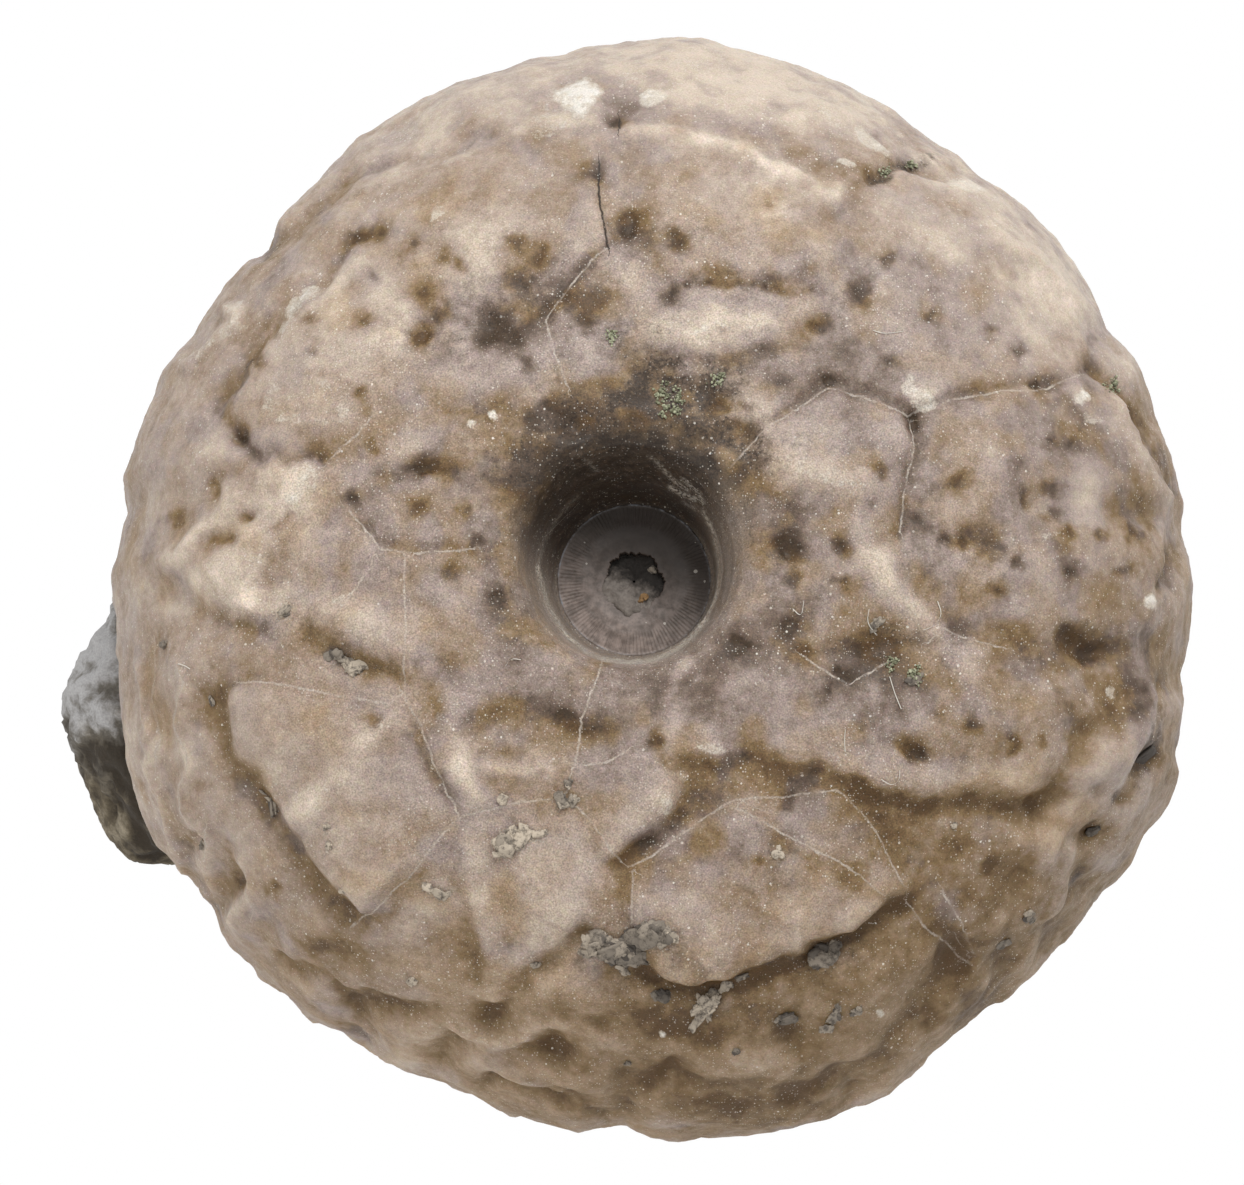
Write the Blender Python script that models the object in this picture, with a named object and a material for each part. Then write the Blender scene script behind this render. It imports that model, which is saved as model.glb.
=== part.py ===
"""Fossil crinoid: the calyx of a sea lily, lying mouth side down with the stem pit facing up.

Pieces: the calyx of fused plates, the last stem disc in its pit, the sediment plug in that
disc's canal, and the grey limestone matrix under the calyx and along its -X edge.

Run with: blender --background --python part.py
"""

import math

import bmesh
import bpy
import numpy as np
from mathutils import Vector, noise
from mathutils.bvhtree import BVHTree

MM = 0.001  # every size below is in millimetres, and the meshes are made in metres

# Driving dimensions.
CALYX_RADIUS = 21.6  # mean radius at the widest level
BASE_HEIGHT = 25.5  # the base round the stem pit, above the resting plane
WIDEST_HEIGHT = 11.5  # the widest level
MOUTH_HEIGHT = 3.4  # the middle of the mouth side
DISC_RADIUS = 3.1  # stem disc
DISC_DEPTH = 6.0  # its facet, below the base
DISC_THICKNESS = 1.3
CANAL_RADIUS = 1.08  # mean radius of the five-lobed canal
PLUG_DEPTH = 0.35  # sediment plug, below the facet
PLUG_THICKNESS = 0.6
GAP = 0.3  # between touching pieces
MATRIX_GAP = 0.5  # between the calyx and the matrix, both uneven

# The relief is drawn on a leaning plan: u runs along +X and v along +Y, tipped so that the -Y
# flank shows. The plan's origin lies off the stem pit by this much.
LEAN = math.radians(9.5)
PIT_U = -0.75
PIT_V = 1.4

# Squareness of the two quarter curves of the profile: 2 and 2 would be an ellipse.
CUP_CURVE = (2.6, 2.2)
MOUTH_CURVE = (2.9, 2.0)

# Stem pit: (radius, depth below the base curve), from its floor up to the lip.
PIT_PROFILE = (
    (0.0, 7.6), (3.30, 7.6), (3.45, 7.4), (3.50, 6.0), (3.62, 3.6), (3.74, 3.0), (3.95, 2.2),
    (4.20, 1.25), (4.55, 0.62), (5.10, 0.24), (5.90, 0.06),
)
PIT_BLEND_RADIUS = 6.8

# Outline at the widest level, on the leaning plan, anticlockwise from +u.
OUTLINE = (
    (21.75, 0.2), (21.20, 2.2), (21.25, 3.5), (20.95, 4.8), (20.25, 6.6), (19.90, 8.0),
    (19.30, 9.0), (18.40, 10.1), (17.40, 12.2), (16.20, 14.0), (15.00, 15.0), (14.00, 15.9),
    (13.00, 16.6), (11.00, 18.1), (9.00, 19.4), (7.40, 20.3), (6.40, 20.55), (5.00, 21.1),
    (3.00, 21.55), (1.90, 21.9), (0.40, 22.0), (-1.50, 21.75), (-2.70, 21.6), (-3.60, 21.25),
    (-5.00, 21.1), (-6.30, 20.65), (-8.00, 20.15), (-10.00, 19.05), (-11.80, 17.9),
    (-12.60, 17.1), (-14.00, 15.8), (-15.20, 14.6), (-15.80, 13.5), (-17.20, 12.2),
    (-18.50, 10.1), (-19.70, 8.5), (-20.05, 7.3), (-20.80, 5.8), (-21.25, 4.3), (-21.05, 3.0),
    (-21.40, 1.6), (-21.65, 0.6), (-21.45, -1.0), (-21.30, -3.0), (-21.30, -5.0),
    (-21.05, -7.0), (-20.55, -8.7), (-19.80, -10.2), (-18.50, -11.7), (-17.80, -12.8),
    (-16.80, -14.4), (-16.00, -15.0), (-14.00, -17.0), (-12.00, -18.0), (-10.20, -19.0),
    (-8.00, -19.9), (-5.00, -21.2), (-3.00, -21.7), (-1.10, -21.35), (0.00, -21.85),
    (1.00, -22.0), (3.00, -21.8), (5.00, -21.7), (7.00, -21.0), (8.00, -20.4), (9.40, -20.0),
    (11.00, -18.7), (13.00, -17.2), (14.20, -16.0), (15.30, -14.9), (16.50, -14.0),
    (18.20, -12.0), (19.20, -11.0), (20.45, -9.0), (21.10, -7.4), (21.00, -6.3), (21.15, -5.5),
    (21.20, -3.6), (21.55, -1.8),
)

# Plates that stand proud: outline on the leaning plan, lift at the high side, width of the
# edge's fall, and the direction of the high side in degrees from +u.
PLATES = (
    (((-0.9, -10.9), (1.0, -9.7), (2.5, -8.6), (3.5, -8.35), (5.5, -8.3), (7.3, -8.0),
      (8.8, -9.6), (9.8, -11.5), (9.9, -12.2), (9.0, -12.9), (7.5, -13.6), (6.0, -14.1),
      (4.5, -14.8), (3.0, -15.5), (1.5, -15.75), (0.2, -15.3), (-0.2, -14.3), (-0.7, -13.0)),
     0.75, 0.60, -80),
    (((-7.6, -8.9), (-6.0, -8.5), (-4.2, -8.2), (-3.0, -8.6), (-2.2, -9.7), (-1.5, -10.7),
      (-1.9, -12.0), (-2.6, -13.4), (-4.0, -14.4), (-5.5, -15.9), (-7.0, -16.1), (-9.0, -15.8),
      (-10.5, -15.0), (-12.0, -13.6), (-10.5, -12.4), (-9.3, -10.9)), 0.50, 0.90, -50),
    (((-16.3, -3.9), (-14.5, -3.8), (-12.0, -4.3), (-10.0, -4.3), (-9.2, -5.4), (-8.6, -7.2),
      (-7.8, -8.8), (-9.0, -10.4), (-10.6, -12.3), (-11.4, -12.8), (-12.6, -12.1),
      (-13.6, -10.9), (-14.6, -9.6), (-15.1, -8.6), (-16.0, -7.2), (-17.0, -5.6),
      (-17.2, -4.6)), 0.60, 0.80, -140),
    (((1.0, -3.0), (2.2, -2.0), (4.0, -2.6), (6.0, -2.6), (7.6, -3.7), (9.3, -2.9),
      (10.8, -2.1), (13.8, -2.5), (16.0, -3.0), (18.3, -3.7), (17.8, -5.5), (16.6, -6.9),
      (15.0, -7.9), (13.0, -8.1), (11.0, -8.1), (9.0, -7.8), (7.3, -7.3), (5.5, -6.8),
      (4.5, -6.4), (3.7, -6.1), (2.5, -6.6), (1.0, -6.9), (0.6, -6.0), (0.5, -5.2),
      (0.6, -4.2)), 0.60, 0.80, -85),
    (((3.0, -16.2), (5.0, -15.4), (7.5, -14.4), (9.8, -13.2), (11.3, -14.4), (11.2, -15.2),
      (10.3, -16.4), (9.5, -17.2), (8.0, -18.9), (6.5, -19.7), (4.0, -19.8), (2.0, -19.6),
      (0.5, -19.0), (-0.5, -18.3), (0.0, -17.0), (1.5, -16.4)), 0.50, 0.90, -60),
    (((-17.2, 7.5), (-16.2, 9.2), (-15.0, 10.6), (-14.0, 11.7), (-12.5, 13.3), (-11.0, 13.9),
      (-10.0, 13.0), (-9.6, 11.0), (-9.9, 9.0), (-10.8, 7.5), (-12.0, 6.2), (-13.0, 5.1),
      (-14.5, 5.2), (-15.5, 5.6), (-16.6, 6.4)), 0.45, 1.80, -60),
    (((0.0, 18.2), (1.5, 18.0), (3.0, 17.5), (5.5, 16.9), (6.8, 16.2), (7.5, 15.6),
      (7.3, 14.0), (6.6, 12.3), (4.5, 12.05), (2.0, 12.1), (1.2, 12.4), (0.6, 13.2),
      (0.4, 14.8), (-0.2, 16.5)), 0.45, 1.20, -80),
    (((5.0, 6.9), (6.2, 7.8), (7.0, 8.1), (9.0, 7.5), (10.2, 7.1), (10.2, 5.5), (9.6, 4.6),
      (8.2, 3.9), (6.8, 3.6), (5.5, 3.9), (4.6, 4.8), (4.3, 5.8)), 0.30, 1.30, -90),
    (((10.8, 6.9), (12.5, 7.6), (14.6, 7.9), (16.2, 8.1), (17.4, 8.4), (18.6, 7.0), (19.5, 5.5),
      (20.2, 3.6), (20.4, 1.0), (20.0, -1.2), (18.5, -2.2), (16.2, -1.8), (14.0, -1.3),
      (12.0, -1.4), (11.0, -1.0), (10.7, 0.5), (10.4, 2.5), (10.6, 5.0)), 0.30, 1.00, -60),
    (((-19.6, 1.6), (-18.4, 2.8), (-17.0, 3.7), (-16.0, 4.9), (-15.4, 5.4), (-14.0, 5.0),
      (-13.2, 4.5), (-13.6, 3.2), (-14.6, 2.9), (-15.2, 2.0), (-16.2, 1.5), (-16.3, 0.5),
      (-15.6, -1.1), (-16.9, -1.1), (-18.1, -0.3), (-19.2, 0.4)), 0.45, 0.80, -110),
    (((-14.5, -0.8), (-13.0, -0.2), (-11.0, -0.3), (-9.8, -0.6), (-9.6, -1.9), (-9.8, -3.0),
      (-11.2, -2.8), (-12.4, -2.3), (-13.4, -1.9), (-14.4, -1.5)), 0.40, 0.90, -90),
    (((0.3, 11.4), (1.3, 12.1), (3.0, 11.95), (6.0, 11.9), (6.3, 11.3), (5.5, 10.4), (4.5, 9.9),
      (3.0, 9.8), (1.5, 9.7), (0.2, 9.8), (-0.2, 10.6)), 0.35, 0.80, -90),
    (((-0.5, 20.8), (2.0, 20.9), (5.0, 20.8), (6.5, 20.0), (8.0, 18.9), (9.6, 17.6),
      (9.0, 17.0), (8.0, 16.4), (6.8, 17.0), (5.0, 17.7), (3.0, 18.2), (1.0, 18.7),
      (-0.8, 18.9), (-1.2, 19.8)), 0.30, 1.20, -70),
    (((-8.5, 16.8), (-5.0, 18.2), (-2.4, 19.0), (-1.5, 18.5), (-2.1, 16.9), (-2.1, 15.2),
      (-1.9, 13.9), (-3.2, 12.7), (-4.8, 13.9), (-7.2, 13.6), (-8.6, 14.5)), 0.25, 1.40, -90),
    (((-9.8, -0.7), (-8.5, -2.2), (-7.6, -3.9), (-7.2, -5.6), (-7.2, -7.9), (-7.9, -8.7),
      (-8.5, -7.4), (-9.0, -6.0), (-9.8, -4.5), (-9.7, -2.6)), 0.25, 0.80, 200),
    (((-2.9, -6.8), (-1.3, -6.4), (0.3, -6.6), (1.1, -7.4), (0.9, -8.6), (0.0, -9.7),
      (-1.3, -10.4), (-2.2, -9.5), (-3.0, -8.5), (-3.3, -7.7)), 0.40, 0.80, -40),
    (((7.9, 15.9), (9.4, 16.6), (11.5, 16.6), (13.2, 15.8), (14.6, 14.4), (15.8, 12.8),
      (14.0, 13.0), (12.4, 13.0), (11.0, 14.0), (9.5, 14.8)), 0.25, 1.30, -60),
    (((11.0, -9.2), (14.5, -9.2), (16.2, -9.6), (15.8, -11.0), (15.4, -12.8), (14.3, -14.6),
      (13.0, -15.0), (12.0, -14.0), (10.4, -12.3), (9.6, -10.6)), 0.35, 1.00, -30),
)

# Rounded ridges and grooves: line on the leaning plan, half width, and height (grooves below 0).
RIDGES = (
    (((8.2, 2.9), (8.5, 1.5), (9.2, 0.4), (10.2, -0.5), (11.0, -1.5)), 0.60, 0.40),
    (((18.3, 7.4), (19.3, 5.9), (20.0, 4.6), (20.6, 3.5), (20.8, 2.2)), 0.45, 0.35),
    (((-6.4, -7.1), (-5.2, -7.3), (-4.6, -6.8), (-3.9, -7.3)), 0.35, 0.22),
    (((-7.3, -6.3), (-7.4, -7.5), (-7.0, -8.3)), 0.40, 0.20),
    (((-19.5, 1.6), (-18.4, 2.4), (-17.2, 3.3), (-16.4, 4.3)), 0.40, 0.30),
    (((-17.9, -9.7), (-18.0, -11.0), (-17.8, -12.0)), 0.28, 0.30),
    (((-16.4, -10.9), (-16.4, -12.0), (-16.8, -13.0)), 0.30, 0.30),
    (((-20.6, -3.2), (-20.4, -5.0), (-20.0, -6.5), (-19.9, -8.0), (-19.4, -9.6), (-18.9, -11.0)),
     0.22, 0.22),
    (((-18.8, -2.8), (-18.9, -4.6), (-19.1, -5.6), (-18.7, -6.8), (-18.6, -8.3), (-18.3, -9.6)),
     0.20, 0.15),
    (((3.1, -9.3), (3.9, -10.8), (4.3, -12.2), (5.2, -13.6)), 0.60, 0.22),
    (((-7.2, -10.4), (-6.9, -12.4), (-6.3, -14.6)), 0.60, 0.20),
    (((-14.2, -9.0), (-12.6, -7.8), (-11.2, -6.5), (-10.2, -5.3)), 0.70, 0.28),
    (((-12.4, -15.3), (-10.2, -15.9), (-8.0, -17.4), (-5.9, -18.2), (-4.8, -17.6),
      (-3.0, -17.3), (-1.0, -18.3)), 0.40, 0.28),
    (((15.6, -10.6), (16.0, -9.6), (17.0, -7.8), (18.2, -6.2), (19.6, -4.6)), 0.50, 0.28),
    (((14.2, -16.4), (15.6, -13.6), (16.2, -12.2), (16.6, -10.4)), 0.35, 0.30),
    (((5.6, -21.0), (8.6, -20.0), (11.2, -17.8), (13.0, -15.6)), 0.50, 0.30),
    (((-6.3, -16.2), (-4.2, -15.9), (-2.4, -16.0), (-0.8, -16.6)), 0.60, 0.25),
    (((17.2, 10.4), (16.4, 11.8), (15.0, 13.2), (13.6, 14.0)), 0.50, 0.25),
    (((-18.6, 9.2), (-17.5, 9.9), (-16.8, 10.6), (-16.9, 11.2)), 0.25, 0.25),
    (((-17.9, -4.2), (-17.1, -5.6), (-16.3, -7.1), (-15.4, -8.6), (-14.9, -9.8), (-14.1, -10.9),
      (-13.2, -11.9), (-12.3, -12.6), (-11.7, -13.1)), 0.50, -0.50),
    (((-17.4, 7.4), (-16.3, 9.2), (-15.2, 10.5), (-14.2, 11.6), (-13.2, 12.9), (-12.2, 13.9),
      (-11.2, 14.3)), 0.40, -0.40),
    (((-15.8, 13.6), (-14.6, 14.3), (-13.4, 15.3), (-12.6, 16.1), (-11.6, 17.0), (-10.2, 17.4),
      (-8.6, 17.7), (-6.6, 18.3)), 0.45, -0.32),
    (((8.6, 16.5), (9.4, 16.9), (10.2, 17.2), (10.9, 16.9), (12.2, 16.7)), 0.30, -0.45),
    (((17.4, 9.0), (18.2, 8.4), (18.8, 7.7), (19.4, 6.8), (19.7, 6.1), (20.4, 5.0), (20.9, 3.9),
      (20.9, 1.6), (20.6, 0.2)), 0.38, -0.42),
    (((11.9, -14.4), (11.4, -15.2), (10.8, -16.2), (10.0, -17.2), (9.2, -18.2), (8.2, -19.2),
      (7.0, -19.8), (5.0, -20.1), (2.5, -20.1), (0.5, -19.6)), 0.45, -0.50),
    (((-14.9, -14.9), (-14.0, -15.4), (-13.2, -15.6), (-12.6, -16.2), (-12.0, -17.2),
      (-11.3, -17.9)), 0.30, -0.35),
    (((-6.4, -19.9), (-4.5, -20.2), (-3.0, -20.6), (-1.8, -21.0)), 0.28, -0.28),
    (((-16.8, 6.3), (-15.9, 5.4), (-15.2, 5.6), (-14.5, 5.1), (-13.2, 5.0)), 0.28, -0.32),
    (((-19.3, 0.1), (-18.0, -0.8), (-17.0, -1.35), (-15.8, -1.6)), 0.42, -0.35),
    (((-13.8, -1.9), (-12.9, -2.3), (-12.0, -2.8), (-10.9, -3.1)), 0.35, -0.40),
    (((-9.7, -4.6), (-9.0, -6.2), (-8.5, -7.6), (-7.9, -8.6)), 0.30, -0.18),
    (((1.2, -7.4), (1.9, -8.0), (0.9, -9.2), (-0.3, -10.3), (-1.3, -11.0)), 0.42, -0.35),
    (((-2.6, -13.6), (-3.8, -14.6), (-5.0, -15.7), (-5.9, -16.4)), 0.40, -0.35),
    (((-0.1, -15.2), (0.8, -16.1), (2.3, -16.1), (3.6, -15.6), (5.4, -14.8), (7.0, -14.2),
      (8.6, -13.7), (9.9, -12.7)), 0.40, -0.35),
    (((-7.2, -5.5), (-6.5, -4.7), (-5.3, -4.4), (-4.2, -4.7), (-3.3, -5.2), (-2.6, -5.8)),
     0.45, -0.30),
    (((-2.1, 16.9), (-2.2, 16.0), (-2.05, 15.0), (-1.8, 13.8), (-3.0, 12.7), (-4.2, 11.05)),
     0.20, -0.22),
    (((10.4, 6.9), (10.5, 5.4), (10.2, 4.0), (9.9, 2.2)), 0.30, -0.22),
    (((4.8, 6.6), (6.2, 7.8), (7.1, 8.3), (9.0, 7.7), (10.4, 7.0), (12.4, 7.9), (14.6, 8.2),
      (16.4, 8.4)), 0.30, -0.22),
    (((-11.6, 2.4), (-11.1, 1.7), (-10.0, 1.75), (-8.0, 1.8)), 0.25, -0.18),
    (((15.2, -8.9), (14.0, -9.0), (12.0, -8.9), (10.0, -8.7), (8.6, -8.3)), 0.40, -0.22),
)

# Dimples and knobs: (u, v, half length, half width, turn in degrees, height; dimples below 0).
DIMPLES = (
    (-17.2, -11.8, 0.95, 0.80, 70, -0.75), (-18.3, -10.2, 0.55, 0.40, 80, -0.30),
    (-9.2, -16.7, 1.15, 0.60, 0, -0.60), (-11.4, -16.7, 0.95, 0.55, 0, -0.40),
    (-6.6, -17.2, 1.05, 0.60, -5, -0.65), (-8.3, -18.6, 0.80, 0.60, 0, -0.55),
    (-4.0, -18.5, 1.20, 0.60, -5, -0.65), (0.1, -19.5, 1.20, 0.50, -10, -0.55),
    (-2.2, -17.2, 0.70, 0.40, -15, -0.30), (-6.3, -19.9, 0.60, 0.30, 0, -0.30),
    (-3.9, -20.4, 0.90, 0.30, -10, -0.30), (-1.4, -20.3, 0.60, 0.40, 0, -0.30),
    (-13.0, -14.6, 1.00, 0.70, 0, -0.35), (-14.6, -17.0, 0.60, 0.40, -35, -0.25),
    (15.9, -8.1, 1.15, 0.65, 50, -0.65), (17.3, -5.8, 0.95, 0.45, 45, -0.35),
    (18.8, -8.3, 0.60, 0.40, 50, -0.35), (17.7, -9.8, 0.70, 0.50, 40, -0.55),
    (19.8, -6.6, 0.85, 0.50, 60, -0.80), (17.0, -11.9, 0.85, 0.60, 40, -0.50),
    (14.5, -11.3, 0.80, 0.60, 60, -0.35), (16.1, -13.6, 0.65, 0.45, 35, -0.40),
    (14.0, -14.4, 0.70, 0.40, 55, -0.40), (12.3, -14.6, 0.90, 0.55, 35, -0.45),
    (5.8, -18.0, 0.95, 0.65, -50, -0.45), (20.4, -3.9, 0.50, 0.35, 60, -0.25),
    (16.8, -2.1, 0.75, 0.40, -10, -0.50), (17.8, -2.4, 0.50, 0.35, 0, -0.40),
    (10.3, -6.4, 0.70, 0.50, -20, -0.50), (9.4, -6.0, 0.50, 0.35, -20, -0.25),
    (-5.2, -5.7, 1.60, 0.90, 0, -0.35), (-1.9, -5.7, 0.90, 0.55, 10, -0.30),
    (-17.3, 2.2, 0.75, 0.45, 40, -0.50), (-16.3, 3.0, 0.40, 0.30, 0, -0.30),
    (-19.2, 2.8, 0.70, 0.35, 50, -0.30), (-17.6, 4.4, 0.90, 0.40, 60, -0.25),
    (-16.6, 6.5, 0.60, 0.45, -20, -0.45), (-9.3, 4.9, 0.90, 0.35, 10, -0.40),
    (-10.2, 4.4, 1.30, 0.45, 25, -0.25), (-3.2, 6.7, 0.75, 0.40, -10, -0.45),
    (-0.9, 14.6, 0.80, 0.50, 20, -0.40), (1.0, 13.9, 0.50, 0.40, 0, -0.35),
    (-6.4, 10.6, 1.30, 0.75, -10, -0.40), (-9.2, 10.4, 0.50, 0.50, 0, -0.35),
    (8.3, 11.9, 0.70, 0.45, 50, -0.40), (6.7, 10.5, 0.65, 0.50, 0, -0.30),
    (3.3, 6.3, 0.60, 0.50, 0, -0.35), (2.7, 7.3, 0.50, 0.40, 0, -0.30),
    (5.5, 1.6, 0.50, 0.55, 0, -0.35), (7.6, 1.7, 0.45, 0.45, 0, -0.25),
    (3.3, -2.2, 0.80, 0.55, 0, -0.30), (9.0, -2.3, 1.10, 0.50, 0, -0.45),
    (0.8, 8.0, 1.10, 0.80, 0, -0.35), (12.9, 2.1, 1.10, 0.45, 5, -0.28),
    (19.0, 3.2, 1.30, 0.60, -10, -0.20), (-1.0, 19.2, 0.60, 0.50, 30, -0.30),
    (-10.1, 18.3, 0.80, 0.45, 35, -0.22), (-18.9, 5.6, 1.20, 0.60, 60, -0.22),
    (-12.9, -1.0, 0.60, 0.40, 20, 0.20), (-11.5, -1.4, 0.90, 0.55, -15, 0.30),
    (0.3, -8.3, 0.70, 0.55, 60, 0.22), (-14.0, 4.2, 1.00, 0.80, 45, 0.25),
    (-13.8, 8.2, 1.40, 1.00, 0, 0.22), (-12.6, 10.8, 1.60, 1.30, 20, 0.18),
    (6.8, 4.7, 1.60, 0.60, -20, 0.25), (2.6, 10.6, 1.70, 0.60, 5, 0.20),
    (10.9, 7.6, 0.90, 0.50, 20, 0.30), (-2.9, 19.6, 0.90, 0.50, 15, 0.25),
    (-17.6, 5.5, 0.70, 0.50, 0, 0.20), (13.0, -4.2, 1.60, 0.90, -50, 0.22),
    (4.5, 14.8, 1.60, 1.10, 0, 0.18), (-13.6, -6.0, 1.20, 0.80, 0, 0.15),
    (-4.2, -11.6, 1.30, 1.60, 0, 0.18), (1.8, -12.6, 1.20, 1.30, 0, 0.18),
    (8.2, -16.0, 1.30, 1.00, 0, 0.20), (3.0, -18.6, 1.60, 0.60, 0, 0.20),
    (13.2, 5.6, 1.60, 1.20, 0, 0.15), (18.9, 9.0, 0.80, 0.60, -60, 0.25),
)

# Mouth side: five rays of arm openings under the widest level, and knobbly roof plates.
ARM_RAYS = 5
ARMS_PER_RAY = 4
ARM_SPREAD = math.radians(12.5)  # between the arms of one ray
FIRST_RAY = math.radians(18.0)
ARM_HEIGHT = 9.6  # above the resting plane
ARM_OPENING_RADIUS = 0.95
ARM_OPENING_DEPTH = 0.9
ROOF_PLATE = 2.6  # size of the roof plates
ROOF_RELIEF = 0.45
WAVINESS = 0.22  # slow swells all over
WAVE_LENGTH = 5.0

# Matrix: a rough lump whose outline goes round the stem pit's axis, as (bearing in degrees,
# radius, height of its top). The calyx presses its own shape into it.
MATRIX_OUTLINE = (
    (0, 15.0, 9.0), (20, 16.6, 8.0), (40, 17.6, 9.0), (65, 19.6, 10.0), (90, 20.2, 10.6),
    (112, 19.4, 10.0), (133, 19.8, 10.4), (150, 19.0, 9.5), (165, 19.8, 10.0),
    (178, 21.2, 10.6), (186, 23.1, 11.0), (190, 23.3, 10.6), (195, 22.8, 10.8),
    (201, 22.6, 10.4), (206, 21.6, 10.0), (210, 19.2, 9.6), (221, 17.0, 9.0), (235, 15.6, 8.6),
    (255, 16.6, 8.0), (280, 14.8, 8.6), (305, 16.8, 9.0), (330, 15.2, 8.0), (345, 16.4, 8.6),
)
MATRIX_MIDDLE = 4.0  # the level of its widest outline
MATRIX_CORNERS = 0.55  # under 1 squares its section off
MATRIX_ROUGHNESS = 1.1
MATRIX_LUMPS = 5.0  # size of its lumps
BEDDING = 0.45  # depth of the grooves between its beds
BED_THICKNESS = 1.6

COARSE_EDGE = 0.60  # longest edge of the calyx before it is thinned out
CALYX_TRIANGLES = 7200
MATRIX_TRIANGLES = 1500

FOSSIL_BROWN = (0.33, 0.25, 0.18, 1.0)
DISC_GREY = (0.14, 0.12, 0.11, 1.0)
SEDIMENT_GREY = (0.10, 0.10, 0.09, 1.0)
MATRIX_GREY = (0.22, 0.22, 0.20, 1.0)


def smooth(x):
    """0 below 0, 1 above 1, and an even turn between."""
    x = np.clip(x, 0.0, 1.0)
    return x * x * (3.0 - 2.0 * x)


def plan_of(points):
    """The leaning plan's (u, v) of points in the row frame."""
    u = points[:, 0] + PIT_U
    v = points[:, 1] * math.cos(LEAN) + (points[:, 2] - BASE_HEIGHT) * math.sin(LEAN) + PIT_V
    return u, v


def outline_radius(bearing):
    """Radius of the widest level at each bearing about the stem pit's axis."""
    u, v = np.array(OUTLINE).T
    x = u - PIT_U
    y = (v - PIT_V + (BASE_HEIGHT - WIDEST_HEIGHT) * math.sin(LEAN)) / math.cos(LEAN)
    turn = np.arctan2(y, x)
    order = np.argsort(turn)
    return np.interp(bearing, turn[order], np.hypot(x, y)[order], period=2 * math.pi)


def quarter_curve(height, powers):
    """(radius, height) of a squared-off quarter ellipse from its top to the widest level."""
    turn = np.linspace(0.0, math.pi / 2, 160)
    radius = CALYX_RADIUS * np.sin(turn) ** (2 / powers[0])
    return radius, height * np.cos(turn) ** (2 / powers[1])


def calyx_profile():
    """(radius, height) from the floor of the stem pit, over the base and flank, to the mouth."""
    radius, rise = quarter_curve(BASE_HEIGHT - WIDEST_HEIGHT, CUP_CURVE)
    cup = np.column_stack([radius, WIDEST_HEIGHT + rise])
    pit_radius, depth = np.array(PIT_PROFILE).T
    pit = np.column_stack([pit_radius, np.interp(pit_radius, *cup.T) - depth])
    radius, drop = quarter_curve(WIDEST_HEIGHT - MOUTH_HEIGHT, MOUTH_CURVE)
    mouth = np.column_stack([radius, WIDEST_HEIGHT - drop])[::-1]
    return np.concatenate([pit, cup[cup[:, 0] > PIT_BLEND_RADIUS], mouth[1:]])


def even_steps(line, step):
    """The polyline with points no further apart than step."""
    run = np.concatenate([[0.0], np.cumsum(np.hypot(*np.diff(line, axis=0).T))])
    at = np.linspace(0.0, run[-1], int(run[-1] / step) + 2)
    return np.column_stack([np.interp(at, run, line[:, 0]), np.interp(at, run, line[:, 1])])


def sphere_map(profile):
    """The polar angle on a sphere for each profile point, so that triangles keep their shape."""
    step = np.hypot(*np.diff(profile, axis=0).T)
    middle = (profile[1:, 0] + profile[:-1, 0]) / 2
    grown = np.cumsum(step[1:-1] / middle[1:-1])
    grown = np.concatenate([[0.0], grown])
    grown -= np.interp(profile[:, 0].argmax(), np.arange(1, len(grown) + 1), grown)
    angle = 2 * np.arctan(np.exp(grown))
    return np.concatenate([[0.0], angle, [math.pi]])


class CalyxForm:
    """The smooth form of the calyx, as a map from the unit sphere, and its relief."""

    def __init__(self):
        self.profile = even_steps(calyx_profile(), 0.1)
        self.angle = sphere_map(self.profile)

    def place(self, sphere):
        """Points on the smooth calyx for points on the unit sphere."""
        angle = np.arccos(np.clip(sphere[:, 2], -1.0, 1.0))
        bearing = np.arctan2(sphere[:, 1], sphere[:, 0])
        radius = np.interp(angle, self.angle, self.profile[:, 0])
        height = np.interp(angle, self.angle, self.profile[:, 1])
        share = smooth((radius - PIT_BLEND_RADIUS) / (0.6 * CALYX_RADIUS))
        radius = radius * (1 + share * (outline_radius(bearing) / CALYX_RADIUS - 1))
        return np.column_stack([radius * np.cos(bearing), radius * np.sin(bearing), height])

    def relief(self, points, normals):
        """Height of the relief over the smooth form at each point."""
        u, v = plan_of(points)
        radius = np.hypot(points[:, 0], points[:, 1])
        shown = smooth((points[:, 2] - WIDEST_HEIGHT + 2.5) / 2.5)
        outside_pit = smooth((radius - 3.9) / 1.2)
        drawn = plate_relief(u, v) + ridge_relief(u, v) + dimple_relief(u, v)
        waves = wave_relief(points)
        return outside_pit * (shown * drawn + waves + (1 - shown) * mouth_relief(points))


def polygon_distance(u, v, outline):
    """Distance to a closed outline, positive inside."""
    corners = np.array(outline)
    distance = np.full(len(u), np.inf)
    inside = np.zeros(len(u), bool)
    for (au, av), (bu, bv) in zip(corners, np.roll(corners, -1, axis=0)):
        distance = np.minimum(distance, segment_distance(u, v, au, av, bu, bv))
        crosses = (av > v) != (bv > v)
        reach = au + (v - av) * (bu - au) / (bv - av if bv != av else 1.0)
        inside ^= crosses & (u < reach)
    return np.where(inside, distance, -distance)


def segment_distance(u, v, au, av, bu, bv):
    """Distance from each (u, v) to the segment a-b."""
    du, dv = bu - au, bv - av
    along = np.clip(((u - au) * du + (v - av) * dv) / (du * du + dv * dv), 0.0, 1.0)
    return np.hypot(u - au - along * du, v - av - along * dv)


def line_distance(u, v, line):
    """Distance from each (u, v) to an open line."""
    return np.min([segment_distance(u, v, *a, *b) for a, b in zip(line, line[1:])], axis=0)


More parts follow.
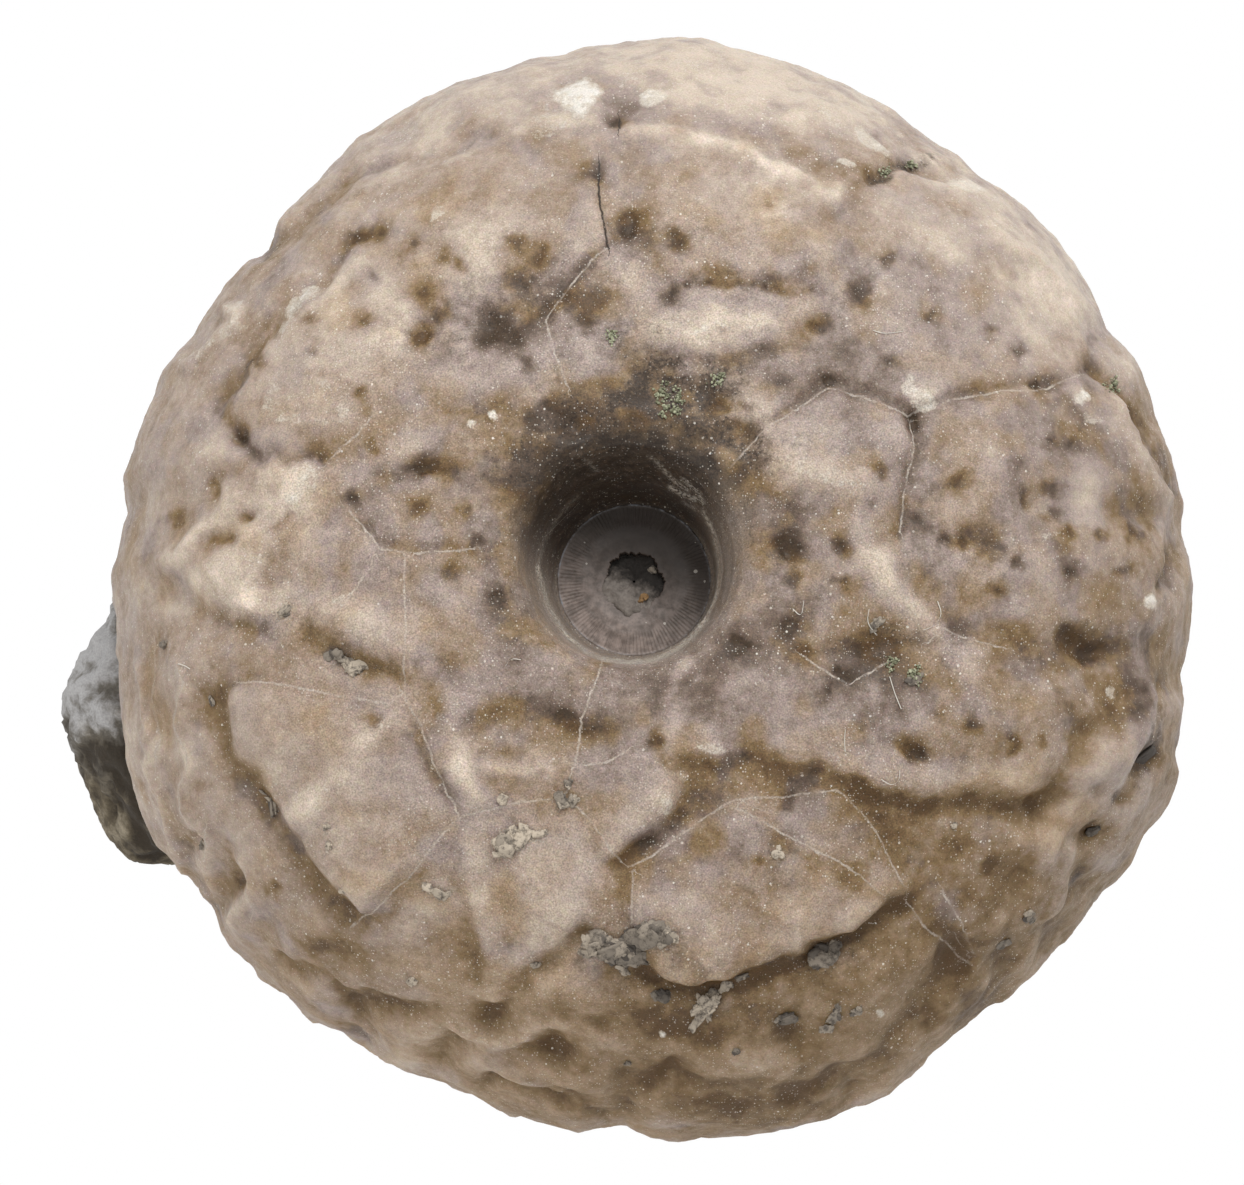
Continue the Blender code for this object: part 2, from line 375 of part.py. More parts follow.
def plate_relief(u, v):
    """Plates that rise toward their high side and end in a short fall."""
    total = np.zeros(len(u))
    for outline, lift, edge, toward in PLATES:
        corners = np.array(outline)
        heading = np.array([math.cos(math.radians(toward)), math.sin(math.radians(toward))])
        reach = corners @ heading
        climb = (u * heading[0] + v * heading[1] - reach.min()) / np.ptp(reach)
        body = smooth(0.5 + polygon_distance(u, v, outline) / edge)
        total += lift * body * (0.15 + 0.85 * smooth(climb))
    return total


def ridge_relief(u, v):
    """Ridges and grooves with a bell-shaped section."""
    total = np.zeros(len(u))
    for line, half_width, height in RIDGES:
        total += height * np.exp(-((line_distance(u, v, line) / half_width) ** 2))
    return total


def dimple_relief(u, v):
    """Oval dimples and knobs."""
    total = np.zeros(len(u))
    for at_u, at_v, half_length, half_width, turn, height in DIMPLES:
        cos, sin = math.cos(math.radians(turn)), math.sin(math.radians(turn))
        du, dv = u - at_u, v - at_v
        along, across = (du * cos + dv * sin) / half_length, (dv * cos - du * sin) / half_width
        total += height * np.exp(-(along**2 + across**2))
    return total


def wave_relief(points):
    """Slow swells that keep the flanks from being too regular."""
    return WAVINESS * np.array([noise.noise(Vector(p) / WAVE_LENGTH) for p in points])


def arm_openings():
    """The middle of each arm opening."""
    for ray in range(ARM_RAYS):
        for arm in range(ARMS_PER_RAY):
            step = (arm - (ARMS_PER_RAY - 1) / 2) * ARM_SPREAD
            bearing = FIRST_RAY + ray * 2 * math.pi / ARM_RAYS + step
            radius = float(outline_radius(np.array([bearing]))[0]) - 0.25
            yield np.array([radius * math.cos(bearing), radius * math.sin(bearing), ARM_HEIGHT])


def mouth_relief(points):
    """Knobbly roof plates, with the arm openings sunk between them."""
    radius = np.hypot(points[:, 0], points[:, 1])
    nearest = np.array([noise.voronoi(Vector(p) / ROOF_PLATE)[0][0] for p in points])
    uncovered = smooth((radius - 12.0) / 3.0)
    relief = ROOF_RELIEF * uncovered * (0.45 - nearest)
    for middle in arm_openings():
        gap = np.linalg.norm(points - middle, axis=1) / ARM_OPENING_RADIUS
        relief += 0.35 * np.exp(-((gap - 1.35) ** 2) / 0.18) - ARM_OPENING_DEPTH * np.exp(-(gap**4))
    return relief


def material(name, colour, roughness):
    made = bpy.data.materials.new(name)
    made.use_nodes = True
    shader = made.node_tree.nodes["Principled BSDF"]
    shader.inputs["Base Color"].default_value = colour
    shader.inputs["Roughness"].default_value = roughness
    shader.inputs["Metallic"].default_value = 0.0
    return made


def add_object(name, bm, made_of):
    """Turns a millimetre bmesh into an object in metres."""
    bmesh.ops.recalc_face_normals(bm, faces=bm.faces[:])
    for vertex in bm.verts:
        vertex.co *= MM
    mesh = bpy.data.meshes.new(name)
    bm.to_mesh(mesh)
    bm.free()
    mesh.materials.append(made_of)
    piece = bpy.data.objects.new(name, mesh)
    bpy.context.scene.collection.objects.link(piece)
    return piece


def coordinates(bm):
    return np.array([v.co for v in bm.verts])


def set_coordinates(bm, points):
    for vertex, point in zip(bm.verts, points):
        vertex.co = point


def split_long_edges(bm, form, longest):
    """Halves every edge that is longer than longest on the form. The bmesh is on the sphere."""
    while True:
        bm.verts.index_update()
        placed = form.place(coordinates(bm))
        ends = np.array([[v.index for v in edge.verts] for edge in bm.edges])
        length = np.linalg.norm(placed[ends[:, 0]] - placed[ends[:, 1]], axis=1)
        chosen = [edge for edge, long in zip(bm.edges, length > longest) if long]
        if not chosen:
            return
        bmesh.ops.subdivide_edges(bm, edges=chosen, cuts=1, use_grid_fill=True)
        bmesh.ops.triangulate(bm, faces=bm.faces[:])
        for vertex in bm.verts:
            vertex.co.normalize()


def make_calyx():
    """The calyx, thinned out to its budget of triangles by a Decimate modifier."""
    form = CalyxForm()
    bm = bmesh.new()
    bmesh.ops.create_icosphere(bm, subdivisions=5, radius=1.0)
    split_long_edges(bm, form, COARSE_EDGE)
    points = form.place(coordinates(bm))
    set_coordinates(bm, points)
    bm.normal_update()
    normals = np.array([v.normal for v in bm.verts])
    set_coordinates(bm, points + normals * form.relief(points, normals)[:, None])
    triangles = len(bm.faces)
    calyx = add_object("calyx", bm, material("calyx_calcite", FOSSIL_BROWN, 0.45))
    thin = calyx.modifiers.new("thin_out", "DECIMATE")
    thin.ratio = CALYX_TRIANGLES / triangles
    thin.use_collapse_triangulate = True
    calyx.data.shade_smooth()
    return calyx


def surface_tree(piece):
    """A search tree over a piece as its modifiers leave it, in metres."""
    bpy.context.view_layer.update()
    return BVHTree.FromObject(piece, bpy.context.evaluated_depsgraph_get())


def keep_clear(bm, tree, gap):
    """Pushes the vertices that lie inside the other surface, or nearer than gap, out to gap."""
    for vertex in bm.verts:
        near, normal, _, _ = tree.find_nearest(vertex.co * MM)
        if (vertex.co * MM - near).dot(normal) < gap * MM:
            vertex.co = (near + normal * gap * MM) / MM


def press_down(bm, tree, gap):
    """Lowers the vertices that lie above the other surface's underside to gap below it."""
    for vertex in bm.verts:
        foot = Vector((vertex.co.x, vertex.co.y, -1.0))
        hit, _, _, _ = tree.ray_cast(foot * MM, Vector((0.0, 0.0, 1.0)))
        if hit is not None:
            vertex.co.z = min(vertex.co.z, hit.z / MM - gap)


def canal_radius(bearing, mean):
    """The five-lobed canal's radius at a bearing."""
    lobe = abs(math.cos(2.5 * (bearing - math.radians(56))))
    return mean * (0.80 + 0.42 * lobe**0.7)


def lobed_ring(bm, mean, height, count):
    ring = []
    for step in range(count):
        bearing = 2 * math.pi * step / count
        radius = canal_radius(bearing, mean)
        spot = (radius * math.cos(bearing), radius * math.sin(bearing), height)
        ring.append(bm.verts.new(spot))
    return ring


def round_ring(bm, radius, height, count):
    turns = [2 * math.pi * step / count for step in range(count)]
    return [bm.verts.new((radius * math.cos(t), radius * math.sin(t), height)) for t in turns]


def bridge(bm, lower, upper):
    """A band of quads between two rings of as many points."""
    count = len(lower)
    for step in range(count):
        after = (step + 1) % count
        bm.faces.new((lower[step], lower[after], upper[after], upper[step]))


def make_stem_disc():
    """The last stem disc: a ring with a worn rim and a five-lobed canal through it."""
    count = 80
    facet = BASE_HEIGHT - DISC_DEPTH
    under = facet - DISC_THICKNESS
    bm = bmesh.new()
    rings = [
        lobed_ring(bm, CANAL_RADIUS, under, count),
        lobed_ring(bm, CANAL_RADIUS, facet - 0.12, count),
        lobed_ring(bm, CANAL_RADIUS + 0.15, facet, count),
        round_ring(bm, DISC_RADIUS * 0.68, facet + 0.02, count),
        round_ring(bm, DISC_RADIUS * 0.90, facet, count),
        round_ring(bm, DISC_RADIUS, facet - 0.18, count),
        round_ring(bm, DISC_RADIUS, under, count),
    ]
    for inner, outer in zip(rings, rings[1:] + rings[:1]):
        bridge(bm, inner, outer)
    disc = add_object("stem_disc", bm, material("stem_disc_calcite", DISC_GREY, 0.5))
    disc.data.shade_smooth()
    disc.data.set_sharp_from_angle(angle=math.radians(50))
    return disc


def make_canal_plug():
    """Sediment that fills the canal to just below the facet."""
    count = 40
    top = BASE_HEIGHT - DISC_DEPTH - PLUG_DEPTH
    bm = bmesh.new()
    lower = lobed_ring(bm, CANAL_RADIUS - GAP, top - PLUG_THICKNESS, count)
    upper = lobed_ring(bm, CANAL_RADIUS - GAP, top, count)
    bridge(bm, lower, upper)
    bm.faces.new(list(reversed(lower)))
    bm.faces.new(upper)
    return add_object("canal_plug", bm, material("canal_sediment", SEDIMENT_GREY, 0.9))


def matrix_place(direction):
    """A point on the rough lump for a direction from its middle, before the calyx presses in."""
    bearing = math.degrees(math.atan2(direction.y, direction.x))
    turns, radii, tops = zip(*MATRIX_OUTLINE)
    radius = np.interp(bearing, turns, radii, period=360)
    rise = np.interp(bearing, turns, tops, period=360) - MATRIX_MIDDLE
    level = math.hypot(direction.x, direction.y)
    out = Vector((direction.x, direction.y, 0.0)).normalized() * radius * level**MATRIX_CORNERS
    up = math.copysign(rise * abs(direction.z) ** MATRIX_CORNERS, direction.z)
    place = out + Vector((0.0, 0.0, MATRIX_MIDDLE + up))
    rough = MATRIX_ROUGHNESS * noise.fractal(place / MATRIX_LUMPS, 0.9, 2.0, 4)
    beds = noise.noise(Vector((place.x / 9.0, place.y / 9.0, place.z / BED_THICKNESS)))
    return place + direction * (rough - BEDDING * abs(beds) * level)


def make_matrix(calyx_tree):
    """The limestone lump: flat below, and pressed to the calyx's shape above."""
    bm = bmesh.new()
    bmesh.ops.create_icosphere(bm, subdivisions=5, radius=1.0)
    for vertex in bm.verts:
        vertex.co = matrix_place(vertex.co)
        vertex.co.z = max(vertex.co.z, 0.0)
    press_down(bm, calyx_tree, MATRIX_GAP)
    keep_clear(bm, calyx_tree, MATRIX_GAP)
    triangles = len(bm.faces)
    matrix = add_object("matrix", bm, material("grey_limestone", MATRIX_GREY, 0.95))
    thin = matrix.modifiers.new("thin_out", "DECIMATE")
    thin.ratio = MATRIX_TRIANGLES / triangles
    thin.use_collapse_triangulate = True
    return matrix


def main():
    for old in list(bpy.data.objects):
        bpy.data.objects.remove(old)
    calyx_tree = surface_tree(make_calyx())
    make_stem_disc()
    make_canal_plug()
    make_matrix(calyx_tree)


main()
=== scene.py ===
"""Looks of the fossil crinoid: fine surface, materials, crumbs, camera and light.

The calyx, stem disc, sediment plug and matrix are remade as fine meshes in place of the frame's
plain ones. Lengths are in millimetres until a mesh is written, and the frame is in metres.
"""

import math

import bpy
import numpy as np
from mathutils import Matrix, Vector, noise


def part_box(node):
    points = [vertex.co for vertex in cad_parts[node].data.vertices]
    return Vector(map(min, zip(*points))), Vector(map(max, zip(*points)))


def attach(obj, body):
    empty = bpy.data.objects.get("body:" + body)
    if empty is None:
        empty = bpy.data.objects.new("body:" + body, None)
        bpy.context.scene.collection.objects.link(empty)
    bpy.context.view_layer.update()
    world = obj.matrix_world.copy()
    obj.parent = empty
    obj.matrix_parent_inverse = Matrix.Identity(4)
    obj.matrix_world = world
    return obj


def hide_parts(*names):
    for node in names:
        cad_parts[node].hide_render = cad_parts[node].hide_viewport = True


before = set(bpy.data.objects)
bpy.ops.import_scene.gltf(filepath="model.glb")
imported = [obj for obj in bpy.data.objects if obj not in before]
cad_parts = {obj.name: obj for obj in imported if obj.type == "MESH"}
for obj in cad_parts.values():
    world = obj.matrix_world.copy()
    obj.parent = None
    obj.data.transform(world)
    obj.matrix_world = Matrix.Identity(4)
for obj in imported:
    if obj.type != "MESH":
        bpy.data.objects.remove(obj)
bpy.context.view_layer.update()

MM = 0.001

# The calyx as the frame has it.
CALYX_RADIUS = 21.6
BASE_HEIGHT = 25.5
WIDEST_HEIGHT = 11.5
MOUTH_HEIGHT = 3.4
DISC_RADIUS = 3.1
DISC_THICKNESS = 1.3
CANAL_RADIUS = 1.08
PLUG_DEPTH = 0.35
LEAN = math.radians(9.5)
PIT_U = -0.75
PIT_V = 1.4
CUP_CURVE = (2.6, 2.2)
MOUTH_CURVE = (2.9, 2.0)
PIT_PROFILE = (
    (0.0, 7.6), (2.8, 7.6), (2.95, 6.12), (3.2, 5.95), (3.42, 4.6), (3.58, 3.4), (3.72, 3.15), (3.8, 2.8),
    (3.95, 2.2), (4.2, 1.25), (4.55, 0.62), (5.1, 0.24), (5.9, 0.06),
)
PIT_BLEND_RADIUS = 6.8

# The photograph's view: along the leaning plan's sight line, at 25 pixels to a millimetre.
PHOTO_WIDTH_PX = 1244
PIXELS_PER_MM = 25.0
AIM_U = -1.24
AIM_V = -0.10
CAMERA_DISTANCE = 1500.0
FOCUS_BELOW_BASE = 7.0
SENSOR_WIDTH = 36.0

# Longest edges of the calyx's fine mesh.
OPEN_EDGE = 0.34  # on the base and flank
FINE_EDGE = 0.19  # near pores, strong chips, cracks and the stem pit
HIDDEN_EDGE = 0.90  # on the mouth side
FINE_CHIP = 0.6  # strength above which a chip gets fine edges
FINE_PIT_RADIUS = 6.0
LEDGE_DEPTH = 3.15  # of the pale ledge round the stem pit, below the base
LEDGE_RADIUS = 4.3
RIM_SHADE_RADIUS = 5.6  # of the browner ring round the stem pit
PIT_OFFSET = 0.22  # of the ledge's middle toward -X from the stem disc's

# Relief of the calyx's surface, beside the drawn forms below.
RELIEF_FROM = 3.9  # radius where the relief starts, outside the stem pit
WARPS = ((0.40, 1.9), (0.16, 0.7))  # pushes drawn forms aside: reach and wavelength
SUTURE_WARP = 0.35  # share of that push that sutures take
PORE_WARP = 0.6
QUIVER = 0.22  # finer push on the pores' rims
WAVINESS = 0.22  # slow swells all over
WAVE_LENGTH = 5.0
SWELLS = ((0.14, 2.6, 1), (0.09, 1.2, 3))  # height, wavelength and octaves
CREASE = 0.16  # sharp-edged low swells
CHIP_RISE = 0.05
PORE_SINK = 0.22
CRACK_DEPTH = 0.05
CRACK_WIDTH = 0.10
FARTHEST = 1.0  # how far from a crack, suture or pore its distance still counts
HOLLOW_OCHRE_AND_SHADE = ((60, 0.12, 0.22), (700, 0.40, 0.22))  # evening rounds, height, brown; the brown is partly ochre lying in hollows, partly painted shade

# What browns or pales the calyx beside its hollows: partly painted light and shade.
SLOPE_LIGHT_AND_SHADE = 0.50  # painted light and shade: slopes that face down the plan browner, slopes that face up it paler
# painted shade at the foot of each plate's fall
FOOT_SHADE = 0.36
FORM_LIGHT_AND_SHADE = 0.60  # ridges are paler and grooves browner by this: painted highlight and painted shade
SMUDGE_BROWN = 1.3  # round the pores
RIM_BROWN = 0.45

# The stem disc and the sediment in its canal.
DISC_BEARINGS = 640
DISC_RINGS = 44
DISC_TOP = 0.10  # of the disc, below its box's top
TEETH = 116
TOOTH_DEPTH = 0.022
TEETH_FROM, TEETH_TO = 2.05, 3.02  # radii
DISC_LIP = 3.04  # radius of the raised edge
CANAL_TURN = math.radians(56)  # bearing of one lobe
PLUG_BEARINGS = 160
PLUG_RINGS = 26
PLUG_FLOOR = 0.95  # of the sediment, below the disc box's top

# The matrix.
MATRIX_EDGE = 0.42  # longest edge of its fine mesh
MATRIX_ROUNDS = 30  # of evening out the solid's corners
MATRIX_LUMPS = ((0.45, 3.0, 0.0), (0.30, 0.9, 5.0))  # height, wavelength, shift

# Loose grains and fibres.
SCATTER = 0.42  # of bits about their middle, as a share of the reach
CRUMB_BITS = 9
CRUMB_FLATNESS = 0.45  # height over the smaller half size
GRAINS_PER_REACH = 190
CLUMPS = 11  # of grains in a tuft of lichen
LINT_RADIUS = 0.022
LINT_RISE = 0.05
LINT_EVENING = 7  # places along a fibre that are averaged

# The floor, in metres, and the sky's light.
FLOOR_REACH = 4
FLOOR_GAP = 0.00005  # under the part, so that the two don't touch
SKY_STRENGTH = 0.78

# Outline at the widest level, on the leaning plan, anticlockwise from +u.
OUTLINE = (
    (21.75, 0.2), (21.2, 2.2), (21.25, 3.5), (20.95, 4.8), (20.25, 6.6), (19.9, 8.0), (19.3, 9.0),
    (18.4, 10.1), (17.4, 12.2), (16.2, 14.0), (15.0, 15.0), (14.0, 15.9), (13.0, 16.6), (11.0, 18.1),
    (9.0, 19.4), (7.4, 20.3), (6.4, 20.55), (5.0, 21.1), (3.0, 21.55), (1.9, 21.9), (0.4, 22.0),
    (-1.5, 21.75), (-2.7, 21.6), (-3.6, 21.25), (-5.0, 21.1), (-6.3, 20.65), (-8.0, 20.15),
    (-10.0, 19.05), (-11.8, 17.9), (-12.6, 17.1), (-14.0, 15.8), (-15.2, 14.6), (-15.8, 13.5),
    (-17.2, 12.2), (-18.5, 10.1), (-19.7, 8.5), (-20.05, 7.3), (-20.8, 5.8), (-21.25, 4.3), (-21.05, 3.0),
    (-21.4, 1.6), (-21.65, 0.6), (-21.45, -1.0), (-21.3, -3.0), (-21.3, -5.0), (-21.05, -7.0),
    (-20.55, -8.7), (-19.8, -10.2), (-18.5, -11.7), (-17.8, -12.8), (-16.8, -14.4), (-16.0, -15.0),
    (-14.0, -17.0), (-12.0, -18.0), (-10.2, -19.0), (-8.0, -19.9), (-5.0, -21.2), (-3.0, -21.7),
    (-1.1, -21.35), (0.0, -21.85), (1.0, -22.0), (3.0, -21.8), (5.0, -21.7), (7.0, -21.0), (8.0, -20.4),
    (9.4, -20.0), (11.0, -18.7), (13.0, -17.2), (14.2, -16.0), (15.3, -14.9), (16.5, -14.0),
    (18.2, -12.0), (19.2, -11.0), (20.45, -9.0), (21.1, -7.4), (21.0, -6.3), (21.15, -5.5), (21.2, -3.6),
    (21.55, -1.8),
)

# Plates that stand proud: outline on the leaning plan, lift at the high side, width of the
# edge's fall, and the direction of the high side in degrees from +u.
PLATES = (
    (((-0.9, -10.9), (1.0, -9.7), (2.5, -8.6), (3.5, -8.35), (5.5, -8.3), (7.3, -8.0), (8.8, -9.6),
     (9.8, -11.5), (9.9, -12.2), (9.0, -12.9), (7.5, -13.6), (6.0, -14.1), (4.5, -14.8), (3.0, -15.5),
     (1.5, -15.75), (0.2, -15.3), (-0.2, -14.3), (-0.7, -13.0)), 0.7, 0.6, -80),
    (((-7.6, -8.9), (-6.0, -8.5), (-4.2, -8.2), (-3.0, -8.6), (-2.2, -9.7), (-1.5, -10.7), (-1.9, -12.0),
     (-2.6, -13.4), (-4.0, -14.4), (-5.5, -15.9), (-7.0, -16.1), (-9.0, -15.8), (-10.5, -15.0),
     (-12.0, -13.6), (-10.5, -12.4), (-9.3, -10.9)), 0.28, 1.6, -50),
    (((-16.3, -3.9), (-14.5, -3.8), (-12.0, -4.3), (-10.0, -4.3), (-9.2, -5.4), (-8.6, -7.2),
     (-7.8, -8.8), (-9.0, -10.4), (-10.6, -12.3), (-11.4, -12.8), (-12.6, -12.1), (-13.6, -10.9),
     (-14.6, -9.6), (-15.1, -8.6), (-16.0, -7.2), (-17.0, -5.6), (-17.2, -4.6)), 0.6, 0.8, -140),
    (((1.0, -3.0), (2.2, -2.0), (4.0, -2.6), (6.0, -2.6), (7.6, -3.7), (9.3, -2.9), (10.8, -2.1),
     (13.8, -2.5), (16.0, -3.0), (21.5, -3.7), (21.0, -6.0), (18.5, -7.4), (15.5, -8.2), (13.0, -8.1),
     (11.0, -8.1), (9.0, -7.8), (7.3, -7.3), (5.5, -6.8), (4.5, -6.4), (3.7, -6.1), (2.5, -6.6),
     (1.0, -6.9), (0.6, -6.0), (0.5, -5.2), (0.6, -4.2)), 0.45, 0.8, -85),
    (((3.0, -16.2), (5.0, -15.4), (7.5, -14.4), (9.8, -13.2), (11.3, -14.4), (11.2, -15.2), (10.3, -16.4),
     (9.5, -17.2), (8.0, -18.9), (6.5, -19.7), (4.0, -19.8), (2.0, -19.6), (0.5, -19.0), (-0.5, -18.3),
     (0.0, -17.0), (1.5, -16.4)), 0.25, 1.6, -60),
    (((-17.2, 7.5), (-16.2, 9.2), (-15.0, 10.6), (-14.0, 11.7), (-12.5, 13.3), (-11.0, 13.9),
     (-10.0, 13.0), (-9.6, 11.0), (-9.9, 9.0), (-10.8, 7.5), (-12.0, 6.2), (-13.0, 5.1), (-14.5, 5.2),
     (-15.5, 5.6), (-16.6, 6.4)), 0.45, 1.8, -60),
    (((0.0, 18.2), (1.5, 18.0), (3.0, 17.5), (5.5, 16.9), (6.8, 16.2), (7.5, 15.6), (7.3, 14.0),
     (6.6, 12.3), (4.5, 12.05), (2.0, 12.1), (1.2, 12.4), (0.6, 13.2), (0.4, 14.8), (-0.2, 16.5)),
     0.45, 1.2, -80),
    (((5.0, 6.9), (6.2, 7.8), (7.0, 8.1), (9.0, 7.5), (10.2, 7.1), (10.2, 5.5), (9.6, 4.6), (8.2, 3.9),
     (6.8, 3.6), (5.5, 3.9), (4.6, 4.8), (4.3, 5.8)), 0.3, 1.3, -90),
    (((10.8, 6.9), (12.5, 7.6), (14.6, 7.9), (16.2, 8.1), (17.4, 8.4), (18.6, 7.0), (19.5, 5.5),
     (20.2, 3.6), (20.4, 1.0), (20.0, -1.2), (18.5, -2.2), (16.2, -1.8), (14.0, -1.3), (12.0, -1.4),
     (11.0, -1.0), (10.7, 0.5), (10.4, 2.5), (10.6, 5.0)), 0.3, 1.0, -60),
    (((-19.5, 1.0), (-18.6, 2.0), (-17.4, 3.1), (-16.0, 4.9), (-15.4, 5.4), (-14.0, 5.0), (-13.2, 4.5),
     (-13.6, 3.2), (-14.6, 2.9), (-15.2, 2.0), (-16.2, 1.5), (-16.3, 0.5), (-15.6, -1.1), (-16.9, -1.1),
     (-18.1, -0.3), (-19.2, 0.4)), 0.45, 0.8, -110),
    (((-14.5, -0.8), (-13.0, -0.2), (-11.0, -0.3), (-9.8, -0.6), (-9.6, -1.9), (-9.8, -3.0),
     (-11.2, -2.8), (-12.4, -2.3), (-13.4, -1.9), (-14.4, -1.5)), 0.4, 0.9, -90),
    (((0.3, 11.4), (1.3, 12.1), (3.0, 11.95), (6.0, 11.9), (6.3, 11.3), (5.5, 10.4), (4.5, 9.9),
     (3.0, 9.8), (1.5, 9.7), (0.2, 9.8), (-0.2, 10.6)), 0.35, 0.8, -90),
    (((-0.5, 20.8), (2.0, 20.9), (5.0, 20.8), (6.5, 20.0), (8.0, 18.9), (9.6, 17.6), (9.0, 17.0),
     (8.0, 16.4), (6.8, 17.0), (5.0, 17.7), (3.0, 18.2), (1.0, 18.7), (-0.8, 18.9), (-1.2, 19.8)),
     0.3, 1.2, -70),
    (((-8.5, 16.8), (-5.0, 18.2), (-2.4, 19.0), (-1.5, 18.5), (-2.1, 16.9), (-2.1, 15.2), (-1.9, 13.9),
     (-3.2, 12.7), (-4.8, 13.9), (-7.2, 13.6), (-8.6, 14.5)), 0.25, 1.4, -90),
    (((-9.8, -0.7), (-8.5, -2.2), (-7.6, -3.9), (-7.2, -5.6), (-7.2, -7.9), (-7.9, -8.7), (-8.5, -7.4),
     (-9.0, -6.0), (-9.8, -4.5), (-9.7, -2.6)), 0.25, 0.8, 200),
    (((-2.9, -6.8), (-1.3, -6.4), (0.3, -6.6), (1.1, -7.4), (0.9, -8.6), (0.0, -9.7), (-1.3, -10.4),
     (-2.2, -9.5), (-3.0, -8.5), (-3.3, -7.7)), 0.4, 0.8, -40),
    (((7.9, 15.9), (9.4, 16.6), (11.5, 16.6), (13.2, 15.8), (14.6, 14.4), (15.8, 12.8), (14.0, 13.0),
     (12.4, 13.0), (11.0, 14.0), (9.5, 14.8)), 0.25, 1.3, -60),
    (((11.0, -9.2), (14.5, -9.2), (16.2, -9.6), (15.8, -11.0), (15.4, -12.8), (14.3, -14.6),
     (13.0, -15.0), (12.0, -14.0), (10.4, -12.3), (9.6, -10.6)), 0.35, 1.0, -30),
)

